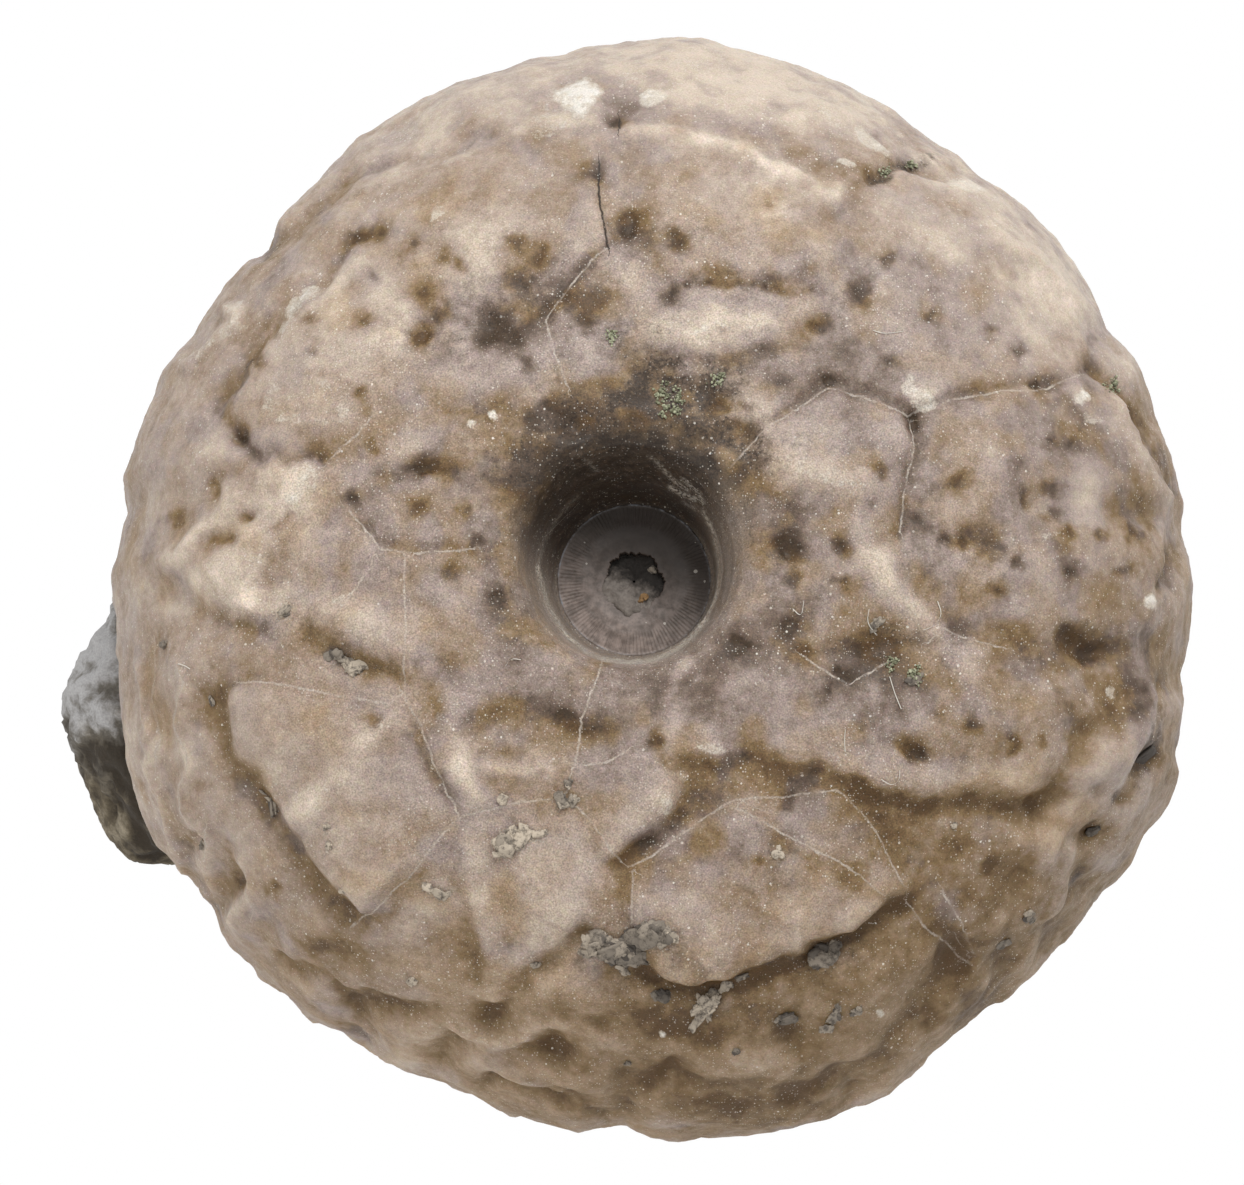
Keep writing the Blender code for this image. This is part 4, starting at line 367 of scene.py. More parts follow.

# Broad patches of tone, partly painted light and shade: (u, v, half length, half width, turn in degrees,
# amount, browner above 0).
TONE_AND_SHADE_PATCHES = (
    (-14.6, 4.3, 1.2, 0.9, 30, -1.3), (-10.0, -16.9, 1.0, 0.5, 0, 0.5), (-6.6, -17.2, 0.8, 0.5, 0, 0.7),
    (-4.4, -18.5, 0.9, 0.4, 0, 0.5), (-4.1, 5.6, 1.7, 1.0, 35, 1.3), (0.2, 6.9, 1.6, 0.8, 0, 1.3),
    (-2.4, 11.6, 1.0, 0.7, 0, 0.8), (-6.6, 10.2, 2.0, 0.7, 20, 0.8), (-8.2, 11.6, 0.8, 0.6, 0, 0.5),
    (-8.2, 4.9, 1.1, 0.7, 0, 0.4), (-13.5, 5.2, 1.2, 0.6, 20, 0.4), (3.2, 5.4, 0.9, 1.3, 30, 0.5),
    (9.3, -3.4, 1.8, 0.7, 10, 1.0), (5.6, -2.2, 1.4, 0.8, 0, 0.5), (3.0, -2.6, 1.2, 0.6, 0, 0.5),
    (5.9, -7.8, 2.0, 0.5, 0, 0.9), (10.0, -9.2, 1.4, 1.0, 0, 0.6), (-5.6, -1.0, 0.9, 1.2, 0, 0.4),
    (-1.0, 13.8, 1.2, 0.6, -20, 0.6), (3.6, 12.8, 2.6, 0.5, -5, 0.3), (13.5, 2.0, 1.5, 0.8, 0, 0.35),
    (16.5, 1.4, 0.9, 0.6, 0, 0.3), (19.3, -4.6, 0.8, 1.0, 0, 0.7), (12.0, -13.9, 1.3, 0.8, 30, 0.6),
    (0.3, -16.8, 1.0, 1.2, 0, 0.7), (-0.4, -14.2, 1.2, 0.7, 0, 0.5), (4.5, -15.4, 2.4, 0.6, 20, 0.5),
    (5.6, -20.6, 2.0, 0.5, 0, 0.7), (-12.1, -15.0, 1.2, 0.6, -40, 0.5), (-7.0, -15.0, 1.2, 0.5, 0, 0.3),
    (-1.0, -6.4, 1.3, 0.5, 0, 0.4), (-8.5, -5.2, 0.5, 1.5, 0, 0.5), (6.6, 8.4, 0.9, 0.6, 0, 0.5),
    (10.4, 7.8, 0.9, 0.9, 0, 0.5), (-10.5, -10.2, 1.6, 0.5, 20, 0.4), (2.5, -11.8, 3.0, 1.6, 0, 0.35),
    (5.2, 0.6, 0.8, 1.8, 0, 0.5), (7.3, -0.4, 1.0, 0.8, 0, 0.4), (-11.9, 1.0, 1.2, 0.8, 0, 0.25),
    (14.0, -5.2, 2.0, 1.0, 0, 0.2), (4.0, 20.2, 4.5, 1.5, -5, -1.2), (-8.0, 19.2, 3.5, 0.8, 22, -0.5),
    (2.0, 18.2, 5.0, 2.2, -5, -0.35), (15.9, 12.2, 1.5, 2.8, -25, -1.4),
    (11.6, 16.7, 1.2, 0.8, -40, -0.9), (9.0, 18.6, 1.4, 0.9, -40, -0.8), (5.2, 15.6, 1.8, 1.6, 0, -0.6),
    (7.2, 12.4, 0.9, 1.0, 0, -0.8), (3.0, 10.8, 2.5, 0.7, 5, -0.7), (-9.4, 17.8, 2.2, 0.9, 25, -0.9),
    (-12.6, 12.5, 1.3, 0.9, 20, -0.8), (-10.0, 11.9, 0.9, 0.9, 0, -0.5), (-7.2, 13.3, 1.1, 0.8, 0, -0.6),
    (-15.6, 10.2, 0.6, 1.0, -30, -0.6), (-13.1, -8.0, 0.9, 0.35, 35, -0.9),
    (-7.4, -7.0, 0.35, 0.9, 0, -0.9), (-5.3, -7.4, 0.8, 0.25, 0, -0.7), (-11.2, -5.8, 0.7, 0.3, 35, -0.6),
    (-16.5, 1.2, 0.8, 0.5, 45, -0.5), (-13.6, -1.6, 0.7, 0.3, 0, 0.5), (-10.4, -2.6, 0.8, 0.4, -20, 0.3),
    (-5.4, -4.9, 1.6, 0.4, 0, 0.4), (-6.2, -6.2, 1.2, 0.5, 0, 0.3), (-17.4, -4.3, 0.4, 0.7, -30, 0.5),
    (-8.6, -3.0, 0.5, 1.0, 0, 0.3), (-1.6, 20.3, 1.1, 0.5, 0, 0.5), (12.6, -16.9, 0.8, 0.5, 45, 0.4),
    (-4.6, -10.4, 1.6, 1.2, 0, -0.25), (-3.4, -13.3, 0.7, 0.5, 45, -0.4), (11.5, -4.4, 5.0, 1.8, 0, 0.2),
    (7.6, 9.6, 1.3, 0.5, 0, 0.35), (12.5, 4.6, 4.0, 2.2, 0, 0.15), (-0.5, -17.4, 3.6, 1.8, 0, 0.2),
    (3.6, 3.2, 0.4, 0.9, 0, 0.3), (-1.2, 18.4, 0.6, 0.9, 0, 0.35), (16.4, -3.8, 0.6, 0.9, 0, 0.35),
    (20.2, 2.4, 0.5, 1.6, 0, 0.35), (-6.3, 10.8, 1.7, 0.8, 10, 0.5), (-2.4, 13.3, 0.8, 0.4, 45, 0.6),
    (-3.7, 11.9, 0.7, 0.5, 45, 0.6), (-9.4, 12.0, 0.5, 0.4, -20, 0.7), (-9.1, 11.2, 0.4, 0.5, 0, 0.6),
    (-9.4, 10.1, 0.5, 0.4, 20, 0.8), (-10.3, 13.4, 0.9, 0.5, -30, 0.5), (-8.0, 13.2, 0.9, 0.35, -30, 0.6),
    (-5.3, 12.4, 0.5, 0.5, 0, 0.6), (-4.6, 13.3, 0.6, 0.35, -30, 0.7), (-5.4, 13.9, 0.4, 0.3, 0, 0.5),
    (-3.2, 12.6, 1.1, 0.4, 45, 0.6), (-2.4, 11.6, 0.7, 0.5, 20, 0.6), (-2.6, 10.7, 0.5, 0.3, 0, 0.5),
    (-6.0, 10.2, 1.4, 0.5, 10, 0.5), (-3.2, 16.9, 1.0, 0.4, -20, 0.5), (-14.3, 3.6, 0.9, 0.9, 40, -0.8),
    (-7.2, 9.2, 0.7, 0.5, 0, 0.4), (-11.6, 10.4, 0.3, 0.45, 10, 0.8), (-4.4, 7.1, 1.6, 0.4, 0, 0.5),
    (-8.5, 7.3, 1.2, 0.4, -20, 0.35), (-0.8, 9.4, 0.5, 0.4, 20, 0.6), (0.8, 12.0, 0.5, 0.3, 0, 0.5),
    (-1.0, 8.5, 1.5, 0.5, 20, 0.4), (0.0, 21.6, 5.0, 0.8, 0, -0.4), (-9.6, 19.6, 1.5, 0.6, 30, -0.4),
    (12.5, 16.4, 2.4, 1.4, -45, -0.3), (-7.0, 18.4, 0.9, 0.6, 0, -0.35), (-6.2, 14.0, 0.9, 1.2, 0, -0.35),
    (-1.8, 12.6, 0.8, 0.7, 0, -0.5), (1.3, 9.8, 1.0, 0.6, 0, -0.45), (-7.6, 12.0, 0.9, 0.6, 0, -0.35),
    (-13.6, 10.9, 1.8, 0.6, 0, -0.3), (-11.2, 5.4, 0.7, 1.1, 0, -0.4), (3.0, 6.6, 0.9, 1.4, 0, -0.55),
    (5.3, 4.7, 1.0, 0.6, -30, -0.5), (-17.0, -0.6, 2.4, 0.6, -10, -0.4), (16.8, 2.6, 1.0, 1.4, 0, -0.35),
    (15.5, -8.6, 3.6, 0.6, 0, -0.35), (-13.4, -7.4, 1.0, 0.9, 0, -0.3), (-9.4, -6.4, 0.5, 1.1, 0, -0.35),
    (-6.0, -9.6, 0.9, 0.6, 0, -0.5), (-1.0, -9.7, 0.8, 0.7, 0, -0.4), (-3.0, -13.2, 0.8, 0.5, 45, -0.45),
    (-5.2, -15.4, 0.7, 1.0, -45, -0.4), (10.8, 8.1, 0.7, 0.6, -20, -1.1),
    (-11.6, -16.4, 0.7, 0.4, 0, -0.35), (-8.4, 5.0, 0.8, 1.3, 0, 0.45), (-6.2, 7.2, 1.0, 0.5, 0, 0.3),
    (0.4, 7.4, 0.7, 0.6, 0, 0.3), (8.6, 3.4, 0.5, 1.6, 0, 0.35), (3.6, 2.6, 0.4, 1.0, 0, 0.35),
    (19.6, 6.2, 0.5, 1.0, 0, 0.4), (18.8, -1.6, 1.0, 2.2, 0, 0.35), (17.8, -6.5, 1.0, 0.6, 30, 0.4),
    (11.0, -4.0, 0.6, 0.8, 0, 0.3), (-8.2, -3.4, 0.9, 2.4, 0, 0.3), (-15.2, -3.2, 1.2, 0.6, 30, 0.3),
    (9.4, -9.8, 0.6, 1.0, 0, 0.3), (13.0, -16.6, 1.2, 0.6, 35, 0.45), (9.5, -18.4, 1.6, 0.5, 25, 0.35),
    (2.4, -15.2, 1.4, 0.5, 0, 0.3), (-3.6, -16.4, 0.9, 0.6, 0, 0.35), (-3.2, -21.0, 1.8, 0.5, 0, 0.4),
    (-15.4, 13.4, 0.5, 0.8, 0, 0.3), (14.0, 8.0, 1.8, 2.0, 0, 0.2), (10.2, 14.6, 1.5, 1.0, -30, -0.35),
    (14.0, 14.6, 1.4, 1.0, -40, -0.3), (-8.4, 10.0, 0.6, 0.8, 0, -0.5), (3.8, 7.2, 0.7, 0.8, 0, -0.7),
    (-20.0, 3.0, 0.7, 1.2, 0, -0.5), (-19.6, -0.3, 1.0, 0.6, 0, -0.4), (-14.8, 0.0, 0.9, 1.1, 0, -0.5),
    (-13.5, 3.6, 1.0, 0.6, 0, -0.4), (-12.5, -3.0, 1.1, 0.8, 0, -0.3), (-14.0, -6.0, 1.2, 1.1, 0, -0.3),
    (-1.0, -10.0, 1.0, 0.9, 0, -0.3), (-3.5, -13.5, 1.2, 0.7, 45, -0.5), (-8.6, -13.5, 1.9, 0.7, 0, -0.4),
    (3.5, -13.0, 0.9, 0.8, 0, -0.6), (4.8, -11.6, 0.8, 0.7, 0, -0.4), (11.6, -10.4, 1.4, 0.8, 0, -0.45),
    (16.4, -8.3, 1.6, 0.5, 0, -0.5), (-16.8, -11.2, 0.8, 0.7, 0, -0.35), (-15.5, 13.2, 0.8, 0.9, 0, 0.5),
    (5.6, 13.0, 1.4, 0.7, 0, 0.3), (-7.0, 7.0, 1.1, 0.7, 0, 0.2), (-11.0, 2.0, 1.0, 0.7, 0, 0.4),
    (-16.0, -2.6, 0.9, 0.6, 0, 0.3), (11.2, -1.1, 0.7, 0.5, 0, 0.4), (8.2, -5.0, 1.0, 0.9, 0, 0.5),
    (5.0, -3.0, 1.3, 0.5, 0, 0.4), (-8.0, -6.0, 0.5, 1.4, 0, 0.3), (12.4, -16.6, 1.5, 0.7, 40, 0.5),
    (5.4, -18.7, 1.6, 0.6, 15, 0.4), (-2.5, -19.0, 1.0, 0.7, 0, 0.4), (-13.8, 7.4, 0.7, 0.5, 0, 0.2),
    # Painted light: paler toward the top left and browner toward the bottom right.
    (-10.2, 1.5, 12.0, 12.0, 0, -0.1), (-13.0, 7.0, 8.0, 8.0, 0, -0.2),
    (11.0, -13.0, 8.0, 6.0, -30, 0.25), (3.0, 12.0, 5.0, 3.0, 0, -0.2), (-17.0, 2.6, 1.0, 0.7, 0, -0.7),
    (-17.4, -0.3, 2.0, 0.7, -15, -0.6), (-14.6, 2.2, 1.4, 1.2, 0, -0.2), (-19.4, -6.6, 1.0, 0.9, 0, -0.5),
    (-15.0, -7.0, 1.0, 0.7, 0, -0.5), (-6.0, -4.1, 0.9, 0.4, 0, -0.5), (1.3, -7.6, 0.6, 1.0, 0, -0.8),
    (-7.6, -12.0, 1.8, 1.0, 0, -0.3), (-9.3, -13.2, 0.9, 0.7, 0, -0.4), (-3.8, -14.6, 2.0, 0.7, 30, -0.9),
    (-7.0, -16.8, 1.6, 0.5, -10, -0.6), (-10.2, -18.6, 1.6, 1.0, 0, -0.5),
    (6.2, 4.1, 1.3, 0.5, -15, -0.9), (9.0, 3.2, 0.5, 2.0, 0, -0.45), (9.3, 0.2, 0.5, 1.6, 35, -0.45),
    (17.3, 4.0, 0.8, 0.9, 0, -0.5), (17.6, -7.0, 1.2, 0.9, 0, -0.6), (12.5, -7.4, 3.0, 0.5, 0, -0.6),
    (18.6, 8.7, 1.0, 0.6, -50, -0.7), (-12.0, -9.6, 1.6, 1.4, 0, -0.5), (4.0, -5.4, 2.8, 0.9, 0, 0.3),
    (9.5, -5.0, 2.0, 1.0, 0, 0.3), (-18.6, -6.5, 1.6, 3.0, 10, -0.35), (-16.0, -13.0, 2.0, 2.0, 0, -0.35),
    (-8.0, -17.8, 4.0, 1.2, 0, -0.25), (5.0, -18.4, 4.0, 1.0, 10, -0.15),
    (5.0, -18.6, 2.0, 0.5, 20, -0.5), (7.4, -9.8, 1.2, 0.7, 0, -0.4), (-11.0, -5.8, 0.8, 0.3, 50, -0.4),
    (4.0, -17.6, 4.0, 1.6, 10, 0.5), (13.0, -11.0, 2.4, 2.4, 0, 0.4), (-8.0, 13.0, 2.4, 1.3, 20, -0.5),
    (-10.8, 9.4, 2.2, 0.9, 15, -0.6), (-17.8, 5.2, 1.8, 0.8, 0, -0.6), (-17.2, -0.4, 2.8, 0.7, 0, -0.5),
    (-12.9, -3.6, 0.9, 0.6, 0, -0.5), (-7.6, -11.4, 1.8, 2.2, 0, -0.6), (-2.2, -10.6, 1.1, 0.9, 0, -0.8),
    (-3.8, -13.4, 1.3, 0.7, 40, -0.4), (-1.2, 12.7, 0.9, 0.5, 0, -0.8), (1.3, 9.8, 1.3, 0.5, 0, -0.5),
    (1.0, 16.4, 1.3, 1.3, 0, -0.4), (8.3, 15.2, 1.0, 0.7, 0, -0.4), (8.6, 12.4, 0.7, 1.0, 0, -0.5),
    (14.4, 14.8, 1.6, 1.1, -40, -0.5), (5.9, -5.3, 1.8, 0.8, 20, -0.8), (10.6, 3.4, 1.0, 0.8, 0, -0.5),
    (16.0, 3.5, 0.8, 0.6, 0, -0.7), (12.6, -8.9, 1.6, 0.9, 0, -0.5), (0.0, 21.2, 7.0, 0.8, 0, -0.45),
    (-12.4, 16.4, 1.6, 0.8, 40, -0.3), (-18.4, 9.4, 1.2, 0.8, 50, -0.3), (1.3, -4.2, 1.2, 1.2, -20, 0.8),
    (5.6, 13.2, 1.6, 0.8, -10, 0.6), (7.8, 10.0, 1.2, 0.7, 0, 0.5), (14.0, 5.5, 0.9, 0.8, 0, 0.7),
    (18.6, 6.6, 1.3, 1.5, 30, 0.45), (20.0, 3.0, 0.6, 1.3, 0, 0.5), (11.5, -1.2, 0.8, 0.5, -30, 0.6),
    (14.8, -2.3, 1.7, 0.9, -10, 0.7), (19.4, -3.6, 1.0, 2.0, -10, 0.6), (17.8, -6.2, 1.2, 0.9, 30, 0.5),
    (11.2, -5.0, 1.0, 0.7, 0, 0.4), (16.0, -4.6, 1.2, 1.0, 0, 0.4), (8.0, -10.0, 0.8, 1.0, 0, 0.6),
    (1.9, -14.0, 1.2, 1.0, 0, 0.7), (8.4, -15.3, 1.8, 1.0, 20, 0.5), (12.4, -16.2, 2.0, 1.0, 45, 0.6),
    (16.0, -12.8, 1.5, 1.0, 50, 0.35), (0.0, -20.3, 3.6, 0.9, -5, 0.7), (5.0, -20.4, 2.8, 0.7, 10, 0.4),
    (-4.0, -16.7, 1.6, 0.7, 0, 0.4), (-10.6, -18.0, 1.8, 0.6, -25, 0.35), (-5.9, -0.8, 0.9, 1.7, 0, 0.3),
    (8.3, 3.0, 0.5, 1.4, 0, 0.35), (-13.4, 5.6, 0.7, 0.6, 0, 0.4), (-1.4, 9.1, 0.7, 0.9, 0, 0.4),
    (-12.6, -16.4, 1.6, 0.6, -20, 0.5), (-6.0, 5.2, 1.4, 1.2, 20, 0.5), (-13.0, -6.0, 2.0, 1.2, 0, 0.35),
    (-20.6, -7.5, 0.5, 3.0, 12, -0.4),
)

# Broad patches of hue: (u, v, half length, half width, turn in degrees, amount, greyer above 0).
HUES = (
    (-5.0, 10.4, 2.4, 2.2, 0, 0.5), (8.0, 8.2, 3.0, 1.4, 0, 0.8), (3.0, 11.6, 3.0, 1.3, 0, 0.4),
    (0.0, -3.6, 4.0, 1.1, 0, 0.8), (8.0, -4.5, 2.2, 2.0, 0, 0.6), (16.6, 3.6, 1.2, 1.4, 0, 0.7),
    (-9.5, 2.4, 3.6, 2.0, 10, 0.4), (0.0, 20.2, 9.0, 1.6, 0, 0.5), (12.0, 10.8, 3.0, 1.4, -30, 0.4),
    (0.6, -10.8, 1.0, 1.5, -40, 0.5), (-2.5, -7.8, 2.4, 1.4, 0, 0.3), (-8.5, -10.4, 0.9, 1.7, 0, 0.4),
    (-12.2, 5.4, 1.4, 1.0, 0, 0.4), (10.0, -9.6, 1.2, 1.2, 0, 0.4), (-16.6, 5.6, 1.0, 0.7, 0, 0.4),
    (11.0, 3.6, 1.0, 1.2, 0, 0.3), (9.0, 16.0, 1.4, 0.9, 0, 0.4), (15.6, 13.0, 1.0, 2.0, -25, 0.4),
    (9.0, -16.0, 2.2, 1.3, 10, -0.9), (4.5, -18.8, 3.0, 1.1, 0, -0.9), (-6.0, -17.0, 3.0, 1.5, 0, -0.8),
    (14.6, -9.0, 3.2, 1.8, 0, -0.6), (15.4, -13.0, 1.8, 1.8, 45, -0.7), (4.0, -14.2, 3.6, 1.6, 10, -0.5),
    (-14.6, -6.6, 1.8, 1.4, 0, -0.4), (-1.6, -20.2, 3.6, 1.0, 0, -0.6), (3.2, 14.6, 2.8, 1.2, -10, -0.5),
    (-8.0, 15.6, 2.8, 1.3, 10, -0.3), (-16.4, 2.2, 2.0, 0.9, 30, -0.5), (15.4, -0.4, 0.8, 2.3, 0, -0.4),
    (-12.4, -11.6, 2.4, 1.3, 0, -0.4), (0.6, 7.4, 3.4, 1.4, 0, -0.4), (6.0, -7.4, 3.0, 0.7, 0, -0.5),
    (-14.0, 9.6, 1.4, 1.0, 0, -0.3), (-10.6, -6.6, 1.0, 1.0, 0, -0.4), (-5.6, -2.4, 1.5, 1.4, 0, 0.6),
    (-6.6, 1.8, 0.9, 1.4, 0, 0.8), (-5.8, 8.2, 1.0, 1.6, 0, 0.5), (5.0, 21.2, 4.0, 1.2, -15, 0.8),
    (15.8, 13.6, 1.4, 3.4, 35, 0.8), (10.0, 5.0, 7.0, 6.0, 0, 0.25), (-15.8, 8.6, 1.2, 3.0, -30, 0.25),
    (-14.0, -10.8, 2.4, 0.6, -48, 0.2), (12.6, -17.0, 2.4, 1.2, 45, -0.7),
    (4.6, -19.2, 2.6, 1.0, 0, -0.6), (-9.8, -11.2, 3.0, 0.5, 47, 0.5), (0.0, 6.4, 4.4, 1.1, 0, -0.7),
    (0.0, -19.5, 18.0, 5.0, 0, -0.35), (3.0, 21.5, 9.0, 2.5, -10, 0.45), (6.0, 9.5, 5.0, 3.0, 0, 0.25),
    (1.5, -4.0, 2.5, 2.5, 0, 0.4), (-12.6, 1.0, 1.0, 2.4, 0, 0.35), (-4.0, 9.8, 3.0, 1.4, 0, 0.4),
    (-6.6, -17.0, 0.9, 0.5, 0, -0.8), (-8.5, -18.5, 0.8, 0.5, 0, -0.6), (8.6, -4.6, 2.2, 2.0, 0, 0.3),
    (4.8, 1.5, 1.0, 2.0, 0, 0.5), (10.6, 0.6, 1.4, 1.4, 0, 0.5), (-9.0, 18.4, 3.4, 0.9, 25, 0.5),
    (4.0, 21.0, 4.0, 0.7, -10, 0.5), (16.0, 7.0, 0.9, 1.3, 0, 0.6), (-9.0, -5.0, 0.8, 1.8, 0, 0.5),
    (18.5, -4.0, 1.0, 1.4, 0, 0.5), (-14.6, -12.0, 0.9, 0.8, 0, 0.6), (-3.0, 16.0, 0.8, 0.8, 0, 0.5),
    (3.0, -9.0, 2.2, 0.7, 0, 0.4), (12.0, -17.0, 2.4, 1.1, 45, -0.8), (5.0, -19.6, 2.4, 0.9, 0, -0.5),
    (-2.0, -18.6, 1.5, 0.8, 0, -0.6), (14.0, -8.2, 3.6, 0.5, 0, -0.6),
)

# Drawn bands of tone, mostly painted shade under ledges and painted highlight on crests; browner above 0 and
# paler below: line, half width, amount.
TONE_AND_SHADE_BANDS = (
    (((-17.0, 7.0), (-16.2, 9.0), (-15.0, 10.4), (-13.6, 12.2), (-12.2, 13.9), (-11.2, 14.4)), 0.2, 0.7),
    (((-13.8, 8.5), (-12.6, 8.4), (-11.7, 7.9), (-11.3, 7.2)), 0.22, 0.6),
    (((-14.2, 2.9), (-15.5, 2.1), (-16.1, 1.2), (-16.4, 0.4)), 0.1, 0.7),
    (((0.0, 19.0), (2.5, 18.8), (5.0, 18.0), (7.0, 17.0), (8.6, 16.7)), 0.45, 0.6),
    (((-1.0, 18.1), (0.6, 18.2), (3.0, 17.6), (5.4, 16.9), (7.5, 15.7)), 0.24, -0.6),
    (((-5.3, 18.3), (-3.8, 18.6), (-2.2, 19.0)), 0.22, -0.8),
    (((1.4, 20.4), (4.6, 20.3), (6.0, 19.7)), 0.5, -0.6),
    (((1.0, -6.9), (2.6, -6.8), (4.2, -6.5), (5.5, -7.2), (8.0, -7.8), (12.0, -8.5), (15.1, -8.6)),
     0.45, 0.75), (((0.8, -9.0), (0.2, -9.9), (-1.0, -10.8)), 0.45, 0.7),
    (((9.9, -12.5), (7.0, -14.2), (4.0, -15.4), (2.0, -15.95), (0.0, -15.5)), 0.4, 0.8),
    (((-2.0, -11.4), (-2.4, -12.8), (-3.2, -13.8), (-5.8, -16.0)), 0.6, 0.6),
    (((-1.9, -16.2), (0.4, -17.4), (2.6, -17.8)), 0.5, 0.5),
    (((-7.2, -5.2), (-6.4, -4.4), (-5.0, -4.3), (-3.6, -4.9), (-2.2, -5.7)), 0.5, 0.4),
    (((1.4, 12.5), (3.5, 12.4), (6.0, 12.3)), 0.32, 0.6),
    (((1.2, 12.1), (3.5, 12.05), (6.2, 11.95)), 0.08, 1.1),
    (((1.3, 11.8), (3.5, 11.75), (6.0, 11.6)), 0.2, -0.6),
    (((0.4, 9.4), (3.0, 9.2), (5.6, 9.9)), 0.4, 0.8),
    (((3.2, -9.3), (3.6, -10.8), (4.2, -12.4), (5.0, -13.2)), 0.45, 0.7),
    (((5.0, -9.9), (7.0, -10.9), (8.8, -12.3)), 0.35, 0.5), (((-8.4, -13.8), (-6.8, -14.4)), 0.6, 0.6),
    (((-7.9, -10.2), (-7.4, -12.6), (-7.0, -15.6)), 0.4, 0.6),
    (((-15.6, -13.4), (-13.4, -14.2)), 0.6, 0.6), (((-15.9, 5.5), (-14.0, 5.4), (-12.4, 5.9)), 0.6, 0.6),
    (((-12.4, 3.6), (-10.4, 4.4), (-8.6, 5.2)), 0.5, 0.35), (((-16.5, -5.0), (-14.4, -5.4)), 0.5, 0.3),
    (((-13.4, -10.4), (-11.4, -11.6)), 0.6, 0.5), (((11.2, 6.6), (11.0, 3.0), (11.2, -0.6)), 0.5, 0.3),
    (((16.2, 7.4), (16.4, 3.0), (16.2, -1.0)), 0.35, 0.5),
    (((8.3, 2.6), (8.6, 1.4), (9.4, 0.3), (10.6, -1.3)), 0.5, -0.5),
    (((-14.0, -8.8), (-12.8, -8.0), (-11.5, -7.3)), 0.25, -0.4),
    (((-8.7, -3.0), (-8.0, -4.4), (-7.7, -7.0)), 0.35, -0.9),
    (((-7.0, -7.2), (-5.6, -7.3), (-4.2, -6.9)), 0.35, -0.4),
    (((1.2, -2.9), (0.7, -4.2), (0.7, -6.3), (1.4, -7.4)), 0.3, -0.9),
    (((-5.2, -11.0), (-4.6, -13.0), (-4.9, -14.8)), 0.6, -0.2), (((0.6, -12.0), (1.8, -13.6)), 0.9, -0.5),
    (((-19.0, 1.2), (-17.4, 2.6)), 0.35, -0.8), (((-18.3, 0.3), (-16.4, 0.9), (-15.2, 2.0)), 0.4, -0.9),
    (((10.5, 14.0), (13.2, 12.7), (16.0, 12.2)), 0.5, -0.9),
    (((17.0, 7.9), (19.6, 5.2), (20.6, 2.0)), 0.35, -0.8),
    (((-0.5, 18.2), (4.0, 17.3), (7.5, 15.8)), 0.4, -0.7), (((1.8, 10.6), (4.6, 10.5)), 0.25, -0.6),
)

# White and pale chips: (u, v, half length, half width, turn in degrees, strength).
CHIPS = (
    (-3.0, 19.6, 0.75, 0.45, 20, 1.1), (-3.6, 19.2, 1.4, 0.7, 45, 0.45),
    (-0.05, 19.65, 0.5, 0.28, 10, 0.9), (-1.0, 20.3, 0.5, 0.3, 0, 0.5),
    (-13.7, 4.3, 0.42, 0.45, 60, 0.62), (-14.1, 3.6, 0.4, 0.16, 10, 0.8),
    (-14.9, 4.6, 0.45, 0.12, -60, 0.5), (10.75, 7.65, 0.6, 0.32, -25, 0.8),
    (10.35, 8.4, 0.2, 0.45, 10, 0.6), (7.0, 18.5, 0.6, 0.2, -50, 0.5), (8.8, 17.95, 0.7, 0.24, -30, 0.75),
    (2.0, 10.35, 0.7, 0.1, 0, 0.75), (4.2, 10.4, 0.5, 0.1, 10, 0.5), (-8.6, 14.95, 0.3, 0.2, 40, 0.7),
    (-14.1, 11.6, 0.6, 0.16, 50, 0.8), (-14.6, 10.7, 0.5, 0.14, 50, 0.6), (15.7, 2.1, 0.3, 0.16, 20, 0.6),
    (17.3, 7.65, 0.35, 0.22, 0, 0.9), (17.6, 6.8, 0.2, 0.2, 0, 0.6), (19.7, -0.4, 0.2, 0.2, 0, 1.0),
    (18.4, -4.2, 0.2, 0.15, 0, 0.7), (12.5, 16.2, 0.6, 0.35, -40, 0.7), (7.7, 17.0, 0.35, 0.16, -20, 0.8),
    (2.2, -6.2, 0.6, 0.14, 0, 0.7), (0.3, -8.6, 0.4, 0.3, 60, 0.6), (-12.4, -0.5, 0.4, 0.2, 0, 0.5),
    (-15.1, 7.4, 0.3, 0.55, 0, 0.5), (-14.6, 6.8, 0.45, 0.18, 0, 0.5), (-13.3, 6.6, 0.8, 0.18, 8, 0.52),
    (-12.3, 7.1, 0.26, 0.4, 30, 0.6), (-13.1, 8.1, 0.35, 0.2, 0, 0.45), (-12.6, -8.1, 0.9, 0.3, 40, 0.42),
    (-10.8, -5.7, 0.7, 0.35, 40, 0.42), (-7.6, -7.2, 0.3, 0.8, 0, 0.42),
    (-6.35, 6.85, 0.15, 0.15, 0, 1.0), (-7.25, 6.55, 0.13, 0.13, 0, 0.9),
    (0.35, -17.7, 0.14, 0.14, 0, 0.9), (9.0, -16.8, 0.14, 0.14, 0, 0.9), (8.2, 20.0, 1.0, 0.2, -45, 0.5),
    (-17.2, 10.0, 1.1, 0.16, 35, 0.6), (-16.7, 11.0, 0.5, 0.14, 80, 0.6), (6.8, 4.7, 1.6, 0.4, -20, 0.45),
    (-8.2, -4.6, 0.3, 1.2, -10, 0.35),
)

